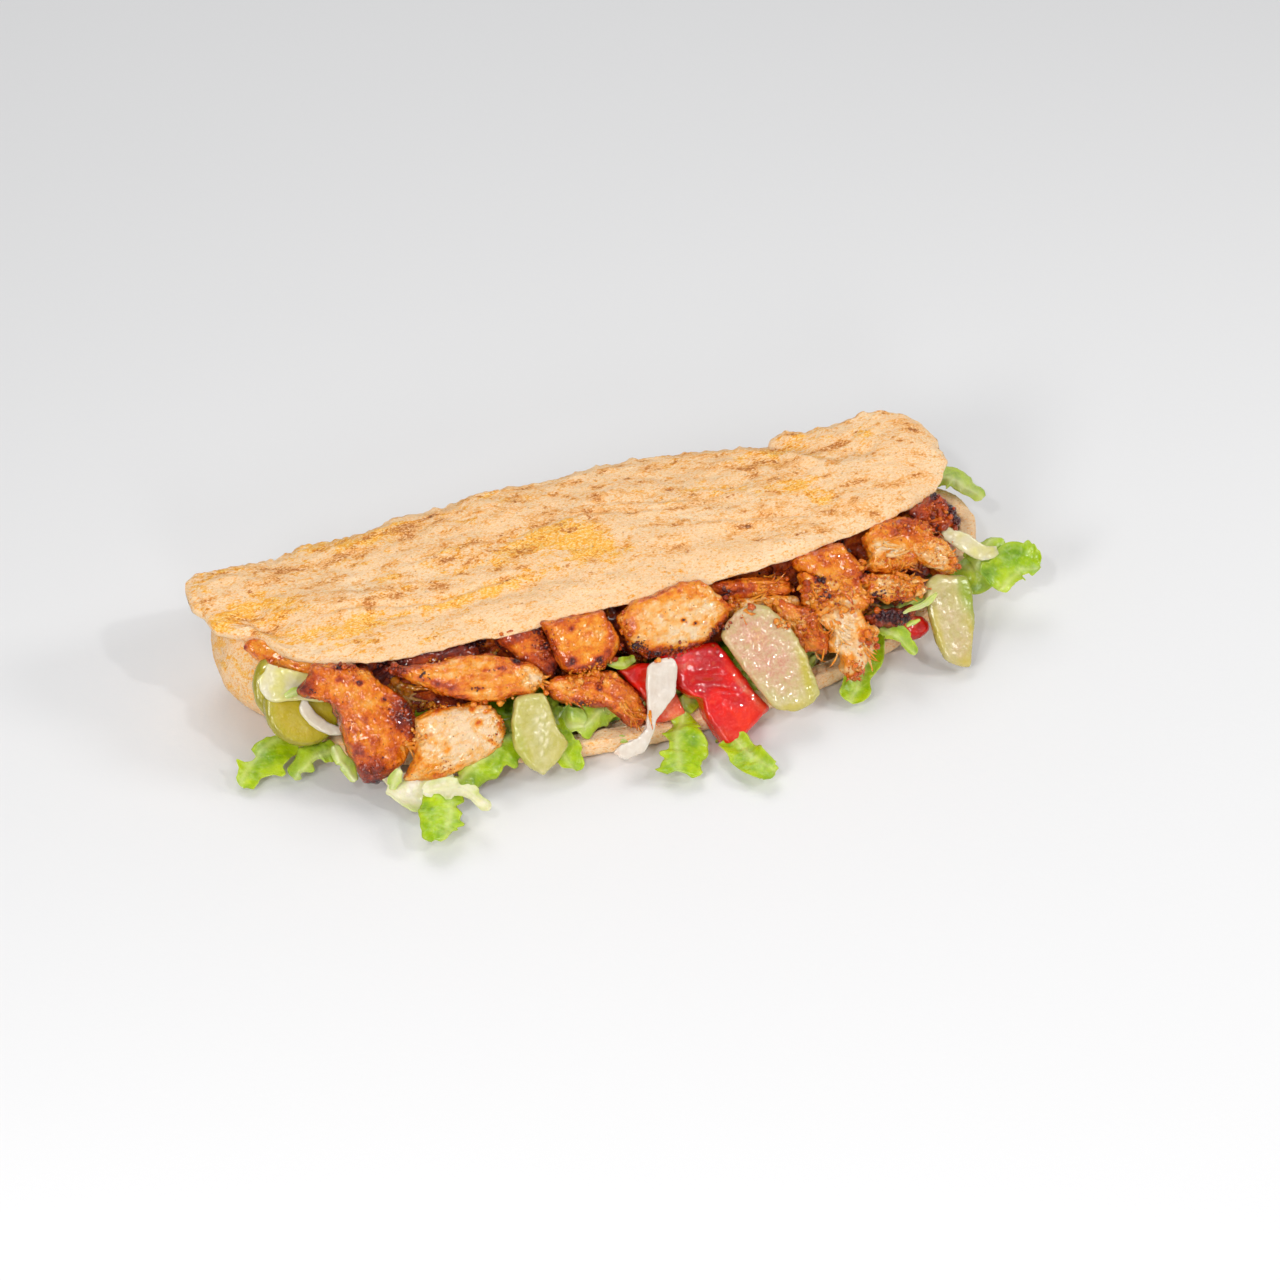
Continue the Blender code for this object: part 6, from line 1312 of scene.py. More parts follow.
# ----------------------------------------------------------------------- lettuce
SHREDS = (
    # name, path (x, y, z), widths along it, facing, cup, ruffle, seed, how pale, how the rib runs
    ("lettuce_01", ((-88, -41, 12), (-89, -48, 8.5), (-82, -53, 6.5), (-70, -54, 7.5)), (6, 10, 13, 10), (0, -0.6, 0.8), 0.5, 0.9, 1, 1.0, 0.2),
    ("lettuce_03", ((-69, -55, 7), (-59, -51, 10), (-47, -46, 12)), (8, 12, 9), (0, -0.7, 0.7), -1.2, 1.2, 3, 0.0, -0.5),
    ("lettuce_04", ((-35, -35, 16), (-31, -42, 13), (-24, -45, 12)), (5, 9, 6), (0.1, -0.7, 0.7), 1.0, 1.0, 4, 0.1, 0.4),
    ("lettuce_05", ((-27, -48, 10), (-19, -44, 13), (-12, -44, 13)), (6, 9, 5), (0.0, -0.7, 0.7), -1.0, 0.8, 5, 0.05, -0.3),
    ("lettuce_06", ((-34.5, -37.5, 14), (-33, -48, 10), (-31.5, -57.5, 4)), (5, 7, 6), (0.1, -0.7, 0.7), 0.8, 0.8, 6, 0.0, 0.6),
    ("lettuce_07", ((8, -49, 10), (4, -59, 9), (-2, -72, 7)), (6, 13, 12), (0, -0.5, 0.9), -1.4, 1.6, 7, 0.0, 0.3),
    ("lettuce_08", ((18, -60, 4), (20, -70, 5), (24, -82, 5)), (8, 11, 8), (0, -0.5, 0.9), 1.2, 1.0, 8, 0.0, -0.4),
    ("lettuce_09", ((80, -31, 12), (72, -43, 8), (61, -55, 3.5)), (6, 9, 8), (0, -0.6, 0.8), 1.0, 0.8, 9, 0.0, 0.1),
    ("lettuce_10", ((73, -37, 18), (80, -43, 18), (84, -53, 15)), (3, 6, 3), (0, -0.5, 0.9), 0.8, 0.8, 10, 0.05, 0.0),
    ("lettuce_11", ((86, -36, 20), (94, -33, 22), (101, -30, 23)), (2.5, 4, 3), (0, -0.5, 0.9), 0.5, 0.4, 11, 0.05, 0.0),
    ("lettuce_12", ((111, -17, 18), (118, -24, 17), (124, -22, 23), (129, -19, 26)), (8, 14, 12, 6), (-0.2, -0.6, 0.8), -2.0, 1.0, 12, 0.05, -0.5),
    ("lettuce_13", ((122, -30, 15), (130, -27, 21), (138, -30, 20)), (9, 14, 7), (0, -0.5, 0.9), 1.6, 1.0, 13, 0.0, 0.4),
    ("lettuce_14", ((119, 23, 22), (128, 19, 25), (135, 8, 22)), (5, 9, 5), (0, -0.3, 0.9), -1.0, 1.2, 14, 0.2, 0.3),
    ("lettuce_15", ((-112, -17, 8), (-122, -22, 6), (-131, -28, 2.5)), (8, 10, 7), (0, -0.4, 0.9), 1.2, 1.0, 15, 0.0, 0.5),
    ("lettuce_16", ((-100, -26, 9), (-108, -28, 9), (-116, -31, 5)), (6, 8, 5), (0, -0.4, 0.9), -1.0, 0.8, 16, 0.05, -0.4),
    ("lettuce_02", ((-75, -57, 12), (-79, -67, 10.5), (-84, -77, 8)), (10, 16, 9), (-0.2, -0.5, 0.9), -1.4, 1.2, 2, 0.0, -0.6),
    ("rib", ((-82, -59, 12), (-72, -62, 13), (-65, -73, 11)), (5, 6, 4), (0, -0.5, 0.9), 0.8, 0.6, 21, 1.0, 0.0),
)


def smooth_path(points, count):
    p = np.array(points, float)
    p = np.vstack([2 * p[0] - p[1], p, 2 * p[-1] - p[-2]])
    segs = len(p) - 3
    t = np.linspace(0, segs, count)
    k = np.minimum(t.astype(int), segs - 1)
    s = (t - k)[:, None]
    a, b, c, d = p[k], p[k + 1], p[k + 2], p[k + 3]
    return 0.5 * (2 * b + (c - a) * s + (2 * a - 5 * b + 4 * c - d) * s ** 2 + (3 * b - a - 3 * c + d) * s ** 3)


def shred(path, widths, facing, cup, ruffle, seed, pale, rib, nu=66, nv=20, thick=0.42, frill=1.0, ragged=1.0):
    """A torn shred of leaf: a thin two-sided strip, ruffled, with veins and torn edges."""
    c = smooth_path(path, nu)
    t = np.linspace(0, 1, nu)
    tan = np.gradient(c, axis=0)
    tan /= np.linalg.norm(tan, axis=1)[:, None]
    face = np.array(facing, float) / np.linalg.norm(facing)
    side = np.cross(tan, face)
    side /= np.linalg.norm(side, axis=1)[:, None]
    up = np.cross(side, tan)
    run = np.concatenate([[0], np.cumsum(np.linalg.norm(np.diff(c, axis=0), axis=1))])
    w = np.interp(t, np.linspace(0, 1, len(widths)), widths) * 0.5
    ends = (1 - clamp(1 - t / 0.06) ** 2.0 * 0.55) * (1 - clamp(1 - (1 - t) / 0.07) ** 2.0 * 0.50)

    def line(scale, k):
        return perlin(np.stack([run / scale, 0 * run + k * 5.3, 0 * run + seed * 1.7], 1), seed * 13 + k)

    tears = lambda k: 1 + ragged * (0.36 * line(6.4, k) + 0.05 * line(2.6, k + 1) + 0.02 * line(0.9, k + 2)
                                    - 0.50 * smooth(0.30, 0.55, line(4.4, k + 3)) + 0.40 * smooth(0.30, 0.6, line(5.2, k + 4)))
    wl, wr = w * ends * tears(1), w * ends * tears(11)
    s = np.linspace(-1, 1, nv)
    S = np.repeat(s[None, :], nu, 0)
    half = np.where(S < 0, wl[:, None], wr[:, None])
    across = S * half
    U = np.repeat(run[:, None], nv, 1)
    q = np.stack([U.ravel(), across.ravel(), 0 * U.ravel() + seed * 3.1], 1)
    sh = U.shape
    bend = cup * S ** 2
    frills = frill * (np.abs(S) ** 2.0) * (1.25 * perlin(q / [7.0, 9, 1], seed + 51).reshape(sh) + 0.16 * perlin(q / [2.6, 5, 1], seed + 52).reshape(sh))
    waves = ruffle * (1.1 * perlin(q / [7.5, 8.0, 1], seed + 53).reshape(sh) + 0.28 * perlin(q / [3.4, 3.4, 1], seed + 54).reshape(sh))
    # the rib wanders down the leaf and side veins leave it slantwise
    mid = (rib + 0.15 * np.sin(run / 6))[:, None] * w[:, None]
    off = across - mid
    rib_line = np.exp(-(off / (0.35 + 0.05 * w[:, None])) ** 2) * (1 - 0.5 * t[:, None])
    slant = (U + 1.35 * np.abs(off) + 1.1 * perlin(q / [3, 3, 1], seed + 55).reshape(sh)) / 3.3
    vein = np.exp(-((np.abs(slant - np.round(slant))) / 0.055) ** 2) * smooth(0.2, 1.0, np.abs(off)) * (1 - 0.5 * np.abs(S))
    net = smooth(0.20, 0.0, np.abs(perlin(q / [1.3, 1.3, 1], seed + 56)).reshape(sh))
    blister = 0.16 * perlin(q / [1.6, 1.6, 1], seed + 57).reshape(sh)
    lift = bend + frills + waves + blister * (1 - rib_line) + 0.22 * rib_line + 0.10 * vein
    sway = ruffle * 0.5 * perlin(q / [5.5, 30, 1], seed + 58).reshape(sh)
    C = c[:, None, :] + side[:, None, :] * (across + sway)[..., None] + up[:, None, :] * lift[..., None]
    gu, gv = np.gradient(C, axis=0), np.gradient(C, axis=1)
    nrm = np.cross(gv, gu)
    nrm /= np.maximum(np.linalg.norm(nrm, axis=2), 1e-9)[..., None]
    nrm *= np.sign((nrm * up[:, None, :]).sum(2))[..., None]
    th = thick * (0.5 + 0.9 * rib_line * (pale * 0.6 + 0.4)) * np.sqrt(np.maximum(1 - np.abs(S) ** 6, 0.05))
    top, low = C + nrm * (th / 2)[..., None], C - nrm * (th / 2)[..., None]
    P = np.concatenate([top, low[:, ::-1]], 1)
    f = grid_faces(nu, 2 * nv, wrap_v=True)
    caps = [list(range(2 * nv)), [(nu - 1) * 2 * nv + k for k in range(2 * nv - 1, -1, -1)]]

    def both(x):
        return np.concatenate([x, x[:, ::-1]], 1).ravel()

    tone = clamp(0.5 + 0.5 * perlin(q / [6, 6, 1], seed + 59).reshape(sh) + 0.25 * perlin(q / [1.8, 1.8, 1], seed + 60).reshape(sh))
    whiteness = clamp(pale * (0.85 + 0.5 * perlin(q / [5, 4, 1], seed + 61).reshape(sh)) + 0.55 * np.exp(-(off / (0.9 + 0.12 * w[:, None])) ** 2) * (0.35 + pale))
    attrs = dict(vein=both(clamp(rib_line * 0.9 + 0.55 * vein + 0.16 * net)), tone=both(tone), white=both(whiteness),
                 brink=both(smooth(0.80, 1.0, np.abs(S))))
    return P.reshape(-1, 3), f, caps, attrs


def lettuce_look(name="lettuce", dark=0.0):
    L = Look(name, Roughness=0.30, Specular_IOR_Level=0.35, Subsurface_Weight=0.22, Subsurface_Scale=0.003,
             Subsurface_Radius=(0.5, 1.0, 0.10), Coat_Weight=0.18, Coat_Roughness=0.12)
    mid = L.noise(260, 4, 0.55)
    fine = L.noise(1300, 3, 0.6)
    t = L.math("ADD", L.math("MULTIPLY", L.attr("tone"), 0.75), L.math("MULTIPLY", mid, 0.4))
    base = L.ramp(t, ((0.0, (0.07, 0.165, 0.001)), (0.33, (0.20, 0.36, 0.001)), (0.66, (0.36, 0.53, 0.002)), (1.0, (0.50, 0.67, 0.012))))
    base = L.blend(L.math("MULTIPLY", L.attr("vein"), 0.55), base, (0.62, 0.74, 0.15))
    base = L.blend(L.attr("white"), base, L.blend(L.step(mid, 0.35, 0.65), (0.70, 0.69, 0.36), (0.80, 0.77, 0.56)))
    base = L.blend(L.math("MULTIPLY", L.attr("brink"), 0.25), base, (0.60, 0.74, 0.10))
    if dark:
        base = L.blend(dark, base, (0.02, 0.05, 0.002))
    h = L.math("ADD", L.math("MULTIPLY", mid, 1.0), L.math("MULTIPLY", fine, 0.5))
    return L.set(Base_Color=base, Roughness=L.step(mid, 0.3, 0.7, 0.38, 0.20), Normal=L.relief(h, 0.0004, 0.7))


def merge(parts):
    """Several shreds in one mesh: points, faces and attributes run on."""
    V, F, A, n = [], [], {}, 0
    for v, f, caps, attrs in parts:
        V.append(v)
        F += (np.asarray(f) + n).tolist() + [[i + n for i in c] for c in caps]
        for k, x in attrs.items():
            A.setdefault(k, []).append(x)
        n += len(v)
    return np.concatenate(V), F, {k: np.concatenate(x) for k, x in A.items()}


leaf = lettuce_look()
by_name = {row[0]: shred(*row[1:]) for row in SHREDS}
LEAVES = []
for row in SHREDS:
    if row[0] == "rib":
        continue
    parts = [by_name[row[0]]] + ([by_name["rib"]] if row[0] == "lettuce_02" else [])
    v, f, attrs = merge(parts)
    v[:, 2] = np.maximum(v[:, 2], 0.15)
    LEAVES.append((v, f))
    make(row[0] + "_leaf", v, f, leaf, [row[0]], attrs)


# ------------------------------------------- the filling behind the large pieces
def ball(level):
    bm = bmesh.new()
    bmesh.ops.create_icosphere(bm, subdivisions=level, radius=1.0)
    bm.verts.ensure_lookup_table()
    v = np.array([w.co[:] for w in bm.verts])
    f = np.array([[w.index for w in p.verts] for p in bm.faces])
    bm.free()
    return v, f


def turned(yaw, pitch=0.0, roll=0.0):
    return np.array(Matrix.Rotation(yaw, 3, "Z") @ Matrix.Rotation(pitch, 3, "Y") @ Matrix.Rotation(roll, 3, "X"))


# columns: along the bread, up the face, out of the face
FACE_FRAME = np.stack([np.array([1.0, 0, 0]), FACE_B, FACE_OUT], 1)


def tree_from(groups):
    V, F, n = [], [], 0
    for v, f in groups:
        V.append(v)
        f = f if isinstance(f, np.ndarray) else None
        F.append(f + n)
        n += len(v)
    return BVHTree.FromPolygons(np.concatenate(V).tolist(), np.concatenate(F).tolist())


def land(tree, a, b, start=34.0):
    """Where a straight line into the open face first meets the filling."""
    hit, nor, _, _ = tree.ray_cast(Vector(on_face(a, b, start)), Vector(-FACE_OUT), 80.0)
    return (None, None) if hit is None else (np.array(hit), np.array(nor))


def chunk(center, frame, size, seed, cook, level=4, lumpy=0.35):
    """An irregular torn morsel: a ball pulled out of shape by noise, with flat faces."""
    v, f = ball(level)
    p = np.sign(v) * np.abs(v) ** 0.82
    p = p * (1 + lumpy * fbm(v * 1.5 + seed * 5.3, 3, seed)[:, None])
    q = (p * size) @ frame.T + center
    return q, f


core_v, core_f = node_mesh("chicken_filling", 1.3, 10, -0.6)
core_v, core_attrs = dress(core_v, core_f, 401, 0, 0.50, split_by=0.9, fibre=0.4, lump=0.9, grit=0.10, rim=0.0, gloss=0.3)
make("filling_core", core_v, core_f, chicken, ["chicken_filling"], core_attrs)
MEAT.append((core_v, core_f))


def make_morsels():
    """Smaller cuts heaped over the core: seen in the gaps and at the open right end."""
    r = rng(41)
    tree = tree_from([(core_v, core_f)])
    groups = []
    for k in range(120):
        a, b = r.uniform(-104, 108), r.uniform(-33, 2.0)
        hit, nor = land(tree, a, b)
        if hit is None:
            continue
        turn = r.normal(-0.15, 0.5)
        fr = FACE_FRAME @ turned(turn, r.normal(0, 0.25), r.normal(0, 0.3))
        size = np.array([r.uniform(4.0, 8.5), r.uniform(2.0, 3.6), r.uniform(1.7, 2.7)])
        groups.append((hit - FACE_OUT * 0.4 * size[2], fr, size, turn, r.uniform(0.36, 0.72), r.integers(1e6)))
    for k in range(34):
        y, z = r.uniform(-24, 24), r.uniform(15, 36)
        hit, nor, _, _ = tree.ray_cast(Vector((150.0, y, z)), Vector((-1.0, 0, 0)), 90.0)
        if hit is None:
            continue
        fr = turned(math.pi / 2 + r.normal(0, 0.3), r.normal(0, 0.3), r.uniform(0, 3))
        size = np.array([r.uniform(4.0, 7.0), r.uniform(2.8, 4.2), r.uniform(2.2, 3.0)])
        groups.append((np.array(hit) - np.array([0.8, 0, 0]), fr, size, 0.0, r.uniform(0.25, 0.55), r.integers(1e6)))
    V, F, A, n = [], [], {"cook": [], "gloss": []}, 0
    for center, fr, size, turn, cook, seed in groups:
        v, f = chunk(center, fr, size, int(seed % 997), cook, 3)
        v, attrs = dress(v, f, int(seed % 887), math.degrees(turn), cook, split_by=0.4, fibre=0.34, lump=0.45, grit=0.05,
                         rim=0.25, rim_width=1.0, gloss=0.5)
        v[:, 2] = np.minimum(v[:, 2], sheet_top(v[:, 0], v[:, 1]) - SHEET_T - 0.5)
        V.append(v)
        F.append(f + n)
        for key in A:
            A[key].append(attrs[key])
        MEAT.append((v, f))
        n += len(v)
    make("filling_morsels", np.concatenate(V), np.concatenate(F), chicken, ["chicken_filling"],
         {k: np.concatenate(x) for k, x in A.items()})


make_morsels()


def make_bed():
    v, f = node_mesh("lettuce_bed", 1.6, 8, -0.8)
    q = v / 4.0
    v = v + vertex_normals(v, f) * (0.9 * fbm(q, 3, 501))[:, None]
    v[:, 2] = np.maximum(v[:, 2], FLOOR + 0.6)
    make("salad_core", v, f, leaf, ["lettuce_bed"],
         dict(vein=0 * v[:, 0], tone=clamp(0.25 + 0.5 * fbm(v / 2.0, 2, 502)), white=0 * v[:, 0], brink=0 * v[:, 0]))
    r = rng(51)
    tree = tree_from([(v, f)])
    parts = []
    tries = 0
    while len(parts) < 92 and tries < 900:
        tries += 1
        x = r.uniform(-112, 118)
        front = r.random() < 0.72
        if front:
            hit, nor, _, _ = tree.ray_cast(Vector((x, -80.0, r.uniform(7.5, 13.0))), Vector((0, 1.0, 0)), 120.0)
        else:
            hit, nor, _, _ = tree.ray_cast(Vector((x, r.uniform(-38, 20), 60.0)), Vector((0, 0, -1.0)), 90.0)
        if hit is None:
            continue
        p = np.array(hit)
        turn = r.normal(0, 0.6)
        length = r.uniform(8, 17)
        d = np.array([math.cos(turn), math.sin(turn) * 0.6, r.normal(0, 0.15)])
        bend = np.array([r.normal(0, 1.2), r.normal(0, 1.0), r.normal(0.4, 0.8)])
        lift = np.array([0, -0.9, 0.9]) if front else np.array([0, 0, 1.4])
        path = [p - d * length / 2 + lift, p + bend + lift * 1.6, p + d * length / 2 + lift]
        w = r.uniform(3.6, 7.0)
        face = (r.normal(0, 0.25), -0.75 if front else -0.2, 0.7)
        parts.append(shred(path, (w * 0.7, w, w * 0.6), face, r.choice([-1.0, 1.0]) * r.uniform(0.4, 1.4), 0.7, int(60 + len(parts)),
                           clamp(r.normal(0.10, 0.22), 0, 1), r.uniform(-0.6, 0.6), nu=20, nv=8, frill=0.8))
    v, f, attrs = merge(parts)
    v[:, 2] = clamp(v[:, 2], FLOOR + 0.3, 19.0)
    LEAVES.append((v, f))
    make("salad_shreds", v, f, leaf, ["lettuce_bed"], attrs)


make_bed()


def make_small_shreds():
    """Slivers of leaf caught between the larger pieces."""
    rows = (
        # face points (a, b, out) along it, widths, cup, how pale
        (((-113.6, -4.6, -8.4), (-111, -3.6, -7.8), (-108.2, -3.4, -8.0)), (1.8, 3.0, 1.4), 0.3, 0.15),
        (((-89.6, -39, 3.4), (-88.6, -36, 5.2), (-86.2, -33.4, 6.4)), (2.6, 4.2, 2.2), 0.5, 0.25),
        (((-103, -22.6, -5.0), (-101.2, -28, -3.6), (-98.6, -34.4, -2.2)), (3.0, 5.4, 3.0), -0.6, 0.2),
        (((-13.5, -15.8, 1.0), (-9, -17.2, 1.8), (-4.2, -16.8, 1.0)), (2.4, 3.8, 2.0), 0.5, 0.0),
        (((-16.6, -40.4, 1.4), (-14.4, -40.2, 2.6), (-11.4, -40.8, 1.6)), (1.8, 2.6, 1.4), 0.4, 0.0),
        (((83.6, -21.2, 7.4), (88.7, -20.5, 8.4), (92.8, -19.2, 8.6), (96.0, -17.4, 8.0)), (0.9, 2.2, 2.0, 0.8), 0.6, 0.25),
        (((85.0, -26.0, 4.6), (87.4, -25.2, 5.2), (89.6, -24.6, 4.6)), (1.0, 1.8, 1.0), -0.3, 0.0),
        (((-25, -24.6, -1.4), (-20, -28, -0.6), (-14.4, -29.6, -1.4)), (3.0, 5.0, 3.0), 0.6, 0.1),
        (((20.6, -38, 2.0), (18, -44, 3.0), (16.4, -49.4, 1.0)), (2.0, 3.2, 2.0), 0.6, 0.0),
    )
    parts = []
    for k, (path, widths, cup, pale) in enumerate(rows):
        p = [on_face(*q) for q in path]
        parts.append(shred(p, widths, tuple(FACE_OUT), cup, 0.7, 210 + k, pale, 0.1, nu=40, nv=14, thick=0.4, frill=0.6, ragged=0.8))
    v, f, attrs = merge(parts)
    LEAVES.append((v, f))
    make("leaf_slivers", v, f, leaf, ["lettuce_bed"], attrs)


make_small_shreds()


# ----------------------------------------------- crumbs, torn fibres, charred bits
def make_bits(name, table, seed, level=2, material=None, sink=0.25, flat=(0.55, 0.9)):
    """Small lumps strewn over places on the filling.

    table rows: a, b, half sizes of the patch, turn, how many, smallest, largest, cook
    """
    r = rng(seed)
    V, F, C, n = [], [], [], 0
    bv, bf = ball(level)
    for ca, cb, ra, rb, turn, count, small, big, cook in table:
        t = math.radians(turn)
        for _ in range(count):
            u, w = r.normal(0, 0.5) * ra, r.normal(0, 0.5) * rb
            a, b = ca + u * math.cos(t) - w * math.sin(t), cb + u * math.sin(t) + w * math.cos(t)
            hit, nor = land(GROUND, a, b)
            if hit is None:
                continue
            if nor @ FACE_OUT < 0:
                nor = -nor
            size = small + (big - small) * r.random() ** 2.2
            x = np.cross(nor, r.normal(size=3))
            x /= np.linalg.norm(x)
            fr = np.stack([x, np.cross(nor, x), nor], 1)
            p = bv * (1 + 0.42 * perlin(bv * 1.7 + r.uniform(0, 50), 7)[:, None] + 0.22 * perlin(bv * 4.0 + r.uniform(0, 50), 8)[:, None])
            p = p * np.array([1.0, r.uniform(0.55, 1.0), r.uniform(*flat)]) * size * 0.5
            V.append(p @ fr.T + hit + nor * size * 0.5 * (1 - 2 * sink))
            F.append(bf + n)
            C.append(np.full(len(bv), cook + r.normal(0, 0.09)) + 0.12 * perlin(bv * 3 + n, 9))
            n += len(bv)
    cook = clamp(np.concatenate(C))
    return make(name, np.concatenate(V), np.concatenate(F), material or chicken, ["chicken_filling"],
                dict(cook=cook, gloss=clamp(0.45 + 0.3 * cook + 0 * cook)))


def make_strands(name, table, seed, lean=0.35):
    """Torn muscle fibres: thin tapering threads that start in the meat and stand off it.

    table rows: a, b, turn, length, thickness, cook, how many, spread
    """
    r = rng(seed)
    V, F, C, n = [], [], [], 0
    seg, sides = 10, 6
    for ca, cb, turn, length, thick, cook, count, spread in table:
        for _ in range(count):
            a, b = ca + r.normal(0, spread), cb + r.normal(0, spread)
            t = math.radians(turn + r.normal(0, 14))
            ln = length * r.uniform(0.6, 1.2)
            hit, nor = land(GROUND, a, b)
            if hit is None:
                continue
            base_out = (hit - FACE_AT) @ FACE_OUT - 0.25
            k = np.linspace(0, 1, seg)
            bend = r.normal(0, 0.9)
            wob = 0.25 * np.sin(k * r.uniform(3, 8) + r.uniform(0, 6))
            th = t + bend * k
            da = np.concatenate([[0], np.cumsum(np.cos(th[:-1]) * ln / (seg - 1))])
            db = np.concatenate([[0], np.cumsum(np.sin(th[:-1]) * ln / (seg - 1))])
            rise = lean * r.uniform(-0.2, 1.2) * ln * k ** 1.6 * 0.6 + wob
            outs = np.full(seg, base_out)
            for j in range(seg):
                h, _n = land(GROUND, a + da[j], b + db[j])
                if h is not None:
                    outs[j] = max(min((h - FACE_AT) @ FACE_OUT, base_out + 1.2), base_out - 1.5)
            outs = np.convolve(np.pad(outs, 2, mode="edge"), np.ones(5) / 5, "valid") + rise
            c = on_face(a + da, b + db, outs)
            tan = np.gradient(c, axis=0)
            tan /= np.linalg.norm(tan, axis=1)[:, None]
            s1 = np.cross(tan, FACE_OUT)
            s1 /= np.linalg.norm(s1, axis=1)[:, None]
            s2 = np.cross(tan, s1)
            rad = 0.5 * thick * r.uniform(0.7, 1.3) * (1 - 0.75 * k ** 2.5) * (1 + 0.25 * np.sin(k * 9 + r.uniform(0, 6)))
            ang = 2 * math.pi * np.arange(sides) / sides
            ring = c[:, None] + rad[:, None, None] * (np.cos(ang)[None, :, None] * s1[:, None] * 1.35 + np.sin(ang)[None, :, None] * s2[:, None] * 0.8)
            V.append(ring.reshape(-1, 3))
            f = grid_faces(seg, sides, wrap_v=True)
            F += (f + n).tolist() + [[n + j for j in range(sides)][::-1], [n + (seg - 1) * sides + j for j in range(sides)]]
            C.append(np.repeat(cook + r.normal(0, 0.06) + 0.18 * k ** 3, sides))
            n += seg * sides
    cook = clamp(np.concatenate(C))
    return make(name, np.concatenate(V), F, chicken, ["chicken_filling"], dict(cook=cook, gloss=0.5 + 0.2 * cook))


def quads_as_tris(v, f):
    return v, (np.concatenate([f[:, [0, 1, 2]], f[:, [0, 2, 3]]]) if f.shape[1] == 4 else f)


GROUND = tree_from([quads_as_tris(v, f) for v, f in MEAT + SALAD])

make_bits("torn_scraps", (
    # middling scraps that bridge the gaps between the pieces
    (-79, -8.5, 3.5, 3.0, -50, 7, 1.8, 3.8, 0.30), (-75, -12.5, 2.0, 1.6, -40, 4, 1.5, 3.0, 0.28), (-81, -3, 3.0, 1.4, -10, 6, 1.4, 2.8, 0.72),
    (-71, -17, 6.0, 1.2, -6, 12, 1.4, 2.8, 0.36), (-60, -19, 5.0, 1.0, -6, 7, 1.2, 2.4, 0.40), (-50, -20.5, 4.0, 1.2, 0, 6, 1.2, 2.6, 0.28),
    (-44, 0.8, 4.5, 1.2, 12, 10, 1.4, 3.0, 0.42), (-37, -20, 3.5, 1.4, -20, 7, 1.4, 2.8, 0.26), (-31.5, -6, 1.6, 4.5, 0, 8, 1.2, 2.6, 0.60),
    (-20, -18.2, 8.5, 1.6, 0, 20, 1.5, 3.2, 0.34), (-10, -15, 2.4, 3.0, 30, 7, 1.4, 2.8, 0.62), (-7.4, -5, 1.8, 4.5, 8, 12, 1.6, 3.2, 0.38),
    (-8, -11, 1.5, 2.5, 0, 6, 1.4, 2.6, 0.80), (-1, -18, 3.0, 1.0, -6, 6, 1.2, 2.4, 0.28), (31, -6.5, 3.4, 2.0, -30, 9, 1.4, 2.8, 0.40),
    (28, -3, 2.4, 2.6, -50, 6, 1.4, 2.8, 0.70), (44, -11, 3.4, 2.0, -30, 9, 1.6, 3.4, 0.36), (53, -7, 2.6, 4.0, 0, 12, 1.6, 3.4, 0.46),
    (50, -19, 3.0, 4.0, -50, 10, 1.6, 3.2, 0.48), (57, -12, 3.0, 3.0, 0, 9, 1.6, 3.2, 0.34), (75.5, -3.4, 2.8, 2.0, -10, 9, 1.8, 3.4, 0.38),
    (76, -8, 3.0, 2.0, 0, 8, 1.6, 3.0, 0.44), (86, -10.5, 8.0, 1.2, -12, 14, 1.5, 3.0, 0.36), (92, -16, 4.0, 2.2, -20, 12, 1.6, 3.2, 0.34),
    (76, -17, 3.0, 2.6, -30, 8, 1.5, 3.0, 0.52), (101, 3, 4.0, 2.0, -30, 9, 1.6, 3.2, 0.50), (107, -9.5, 2.6, 1.8, -10, 8, 1.8, 3.4, 0.44),
    (106, 5, 4.0, 3.5, 0, 12, 1.8, 3.8, 0.56), (112, 3, 1.6, 3.0, 0, 6, 1.6, 3.0, 0.92), (66, -17, 6.0, 1.6, -8, 10, 1.5, 3.0, 0.30),
    (70, -26, 2.8, 3.0, 0, 9, 1.6, 3.0, 0.42), (63.5, -36, 2.2, 3.0, 0, 7, 1.4, 2.6, 0.40), (42, -16, 1.5, 1.5, 0, 6, 1.2, 2.4, 0.24),
    (-78, -25, 1.8, 3.2, 20, 8, 1.4, 2.8, 0.26), (-96, 1, 4.0, 1.2, -10, 6, 1.4, 2.6, 0.60)), 61, level=2, sink=0.18)
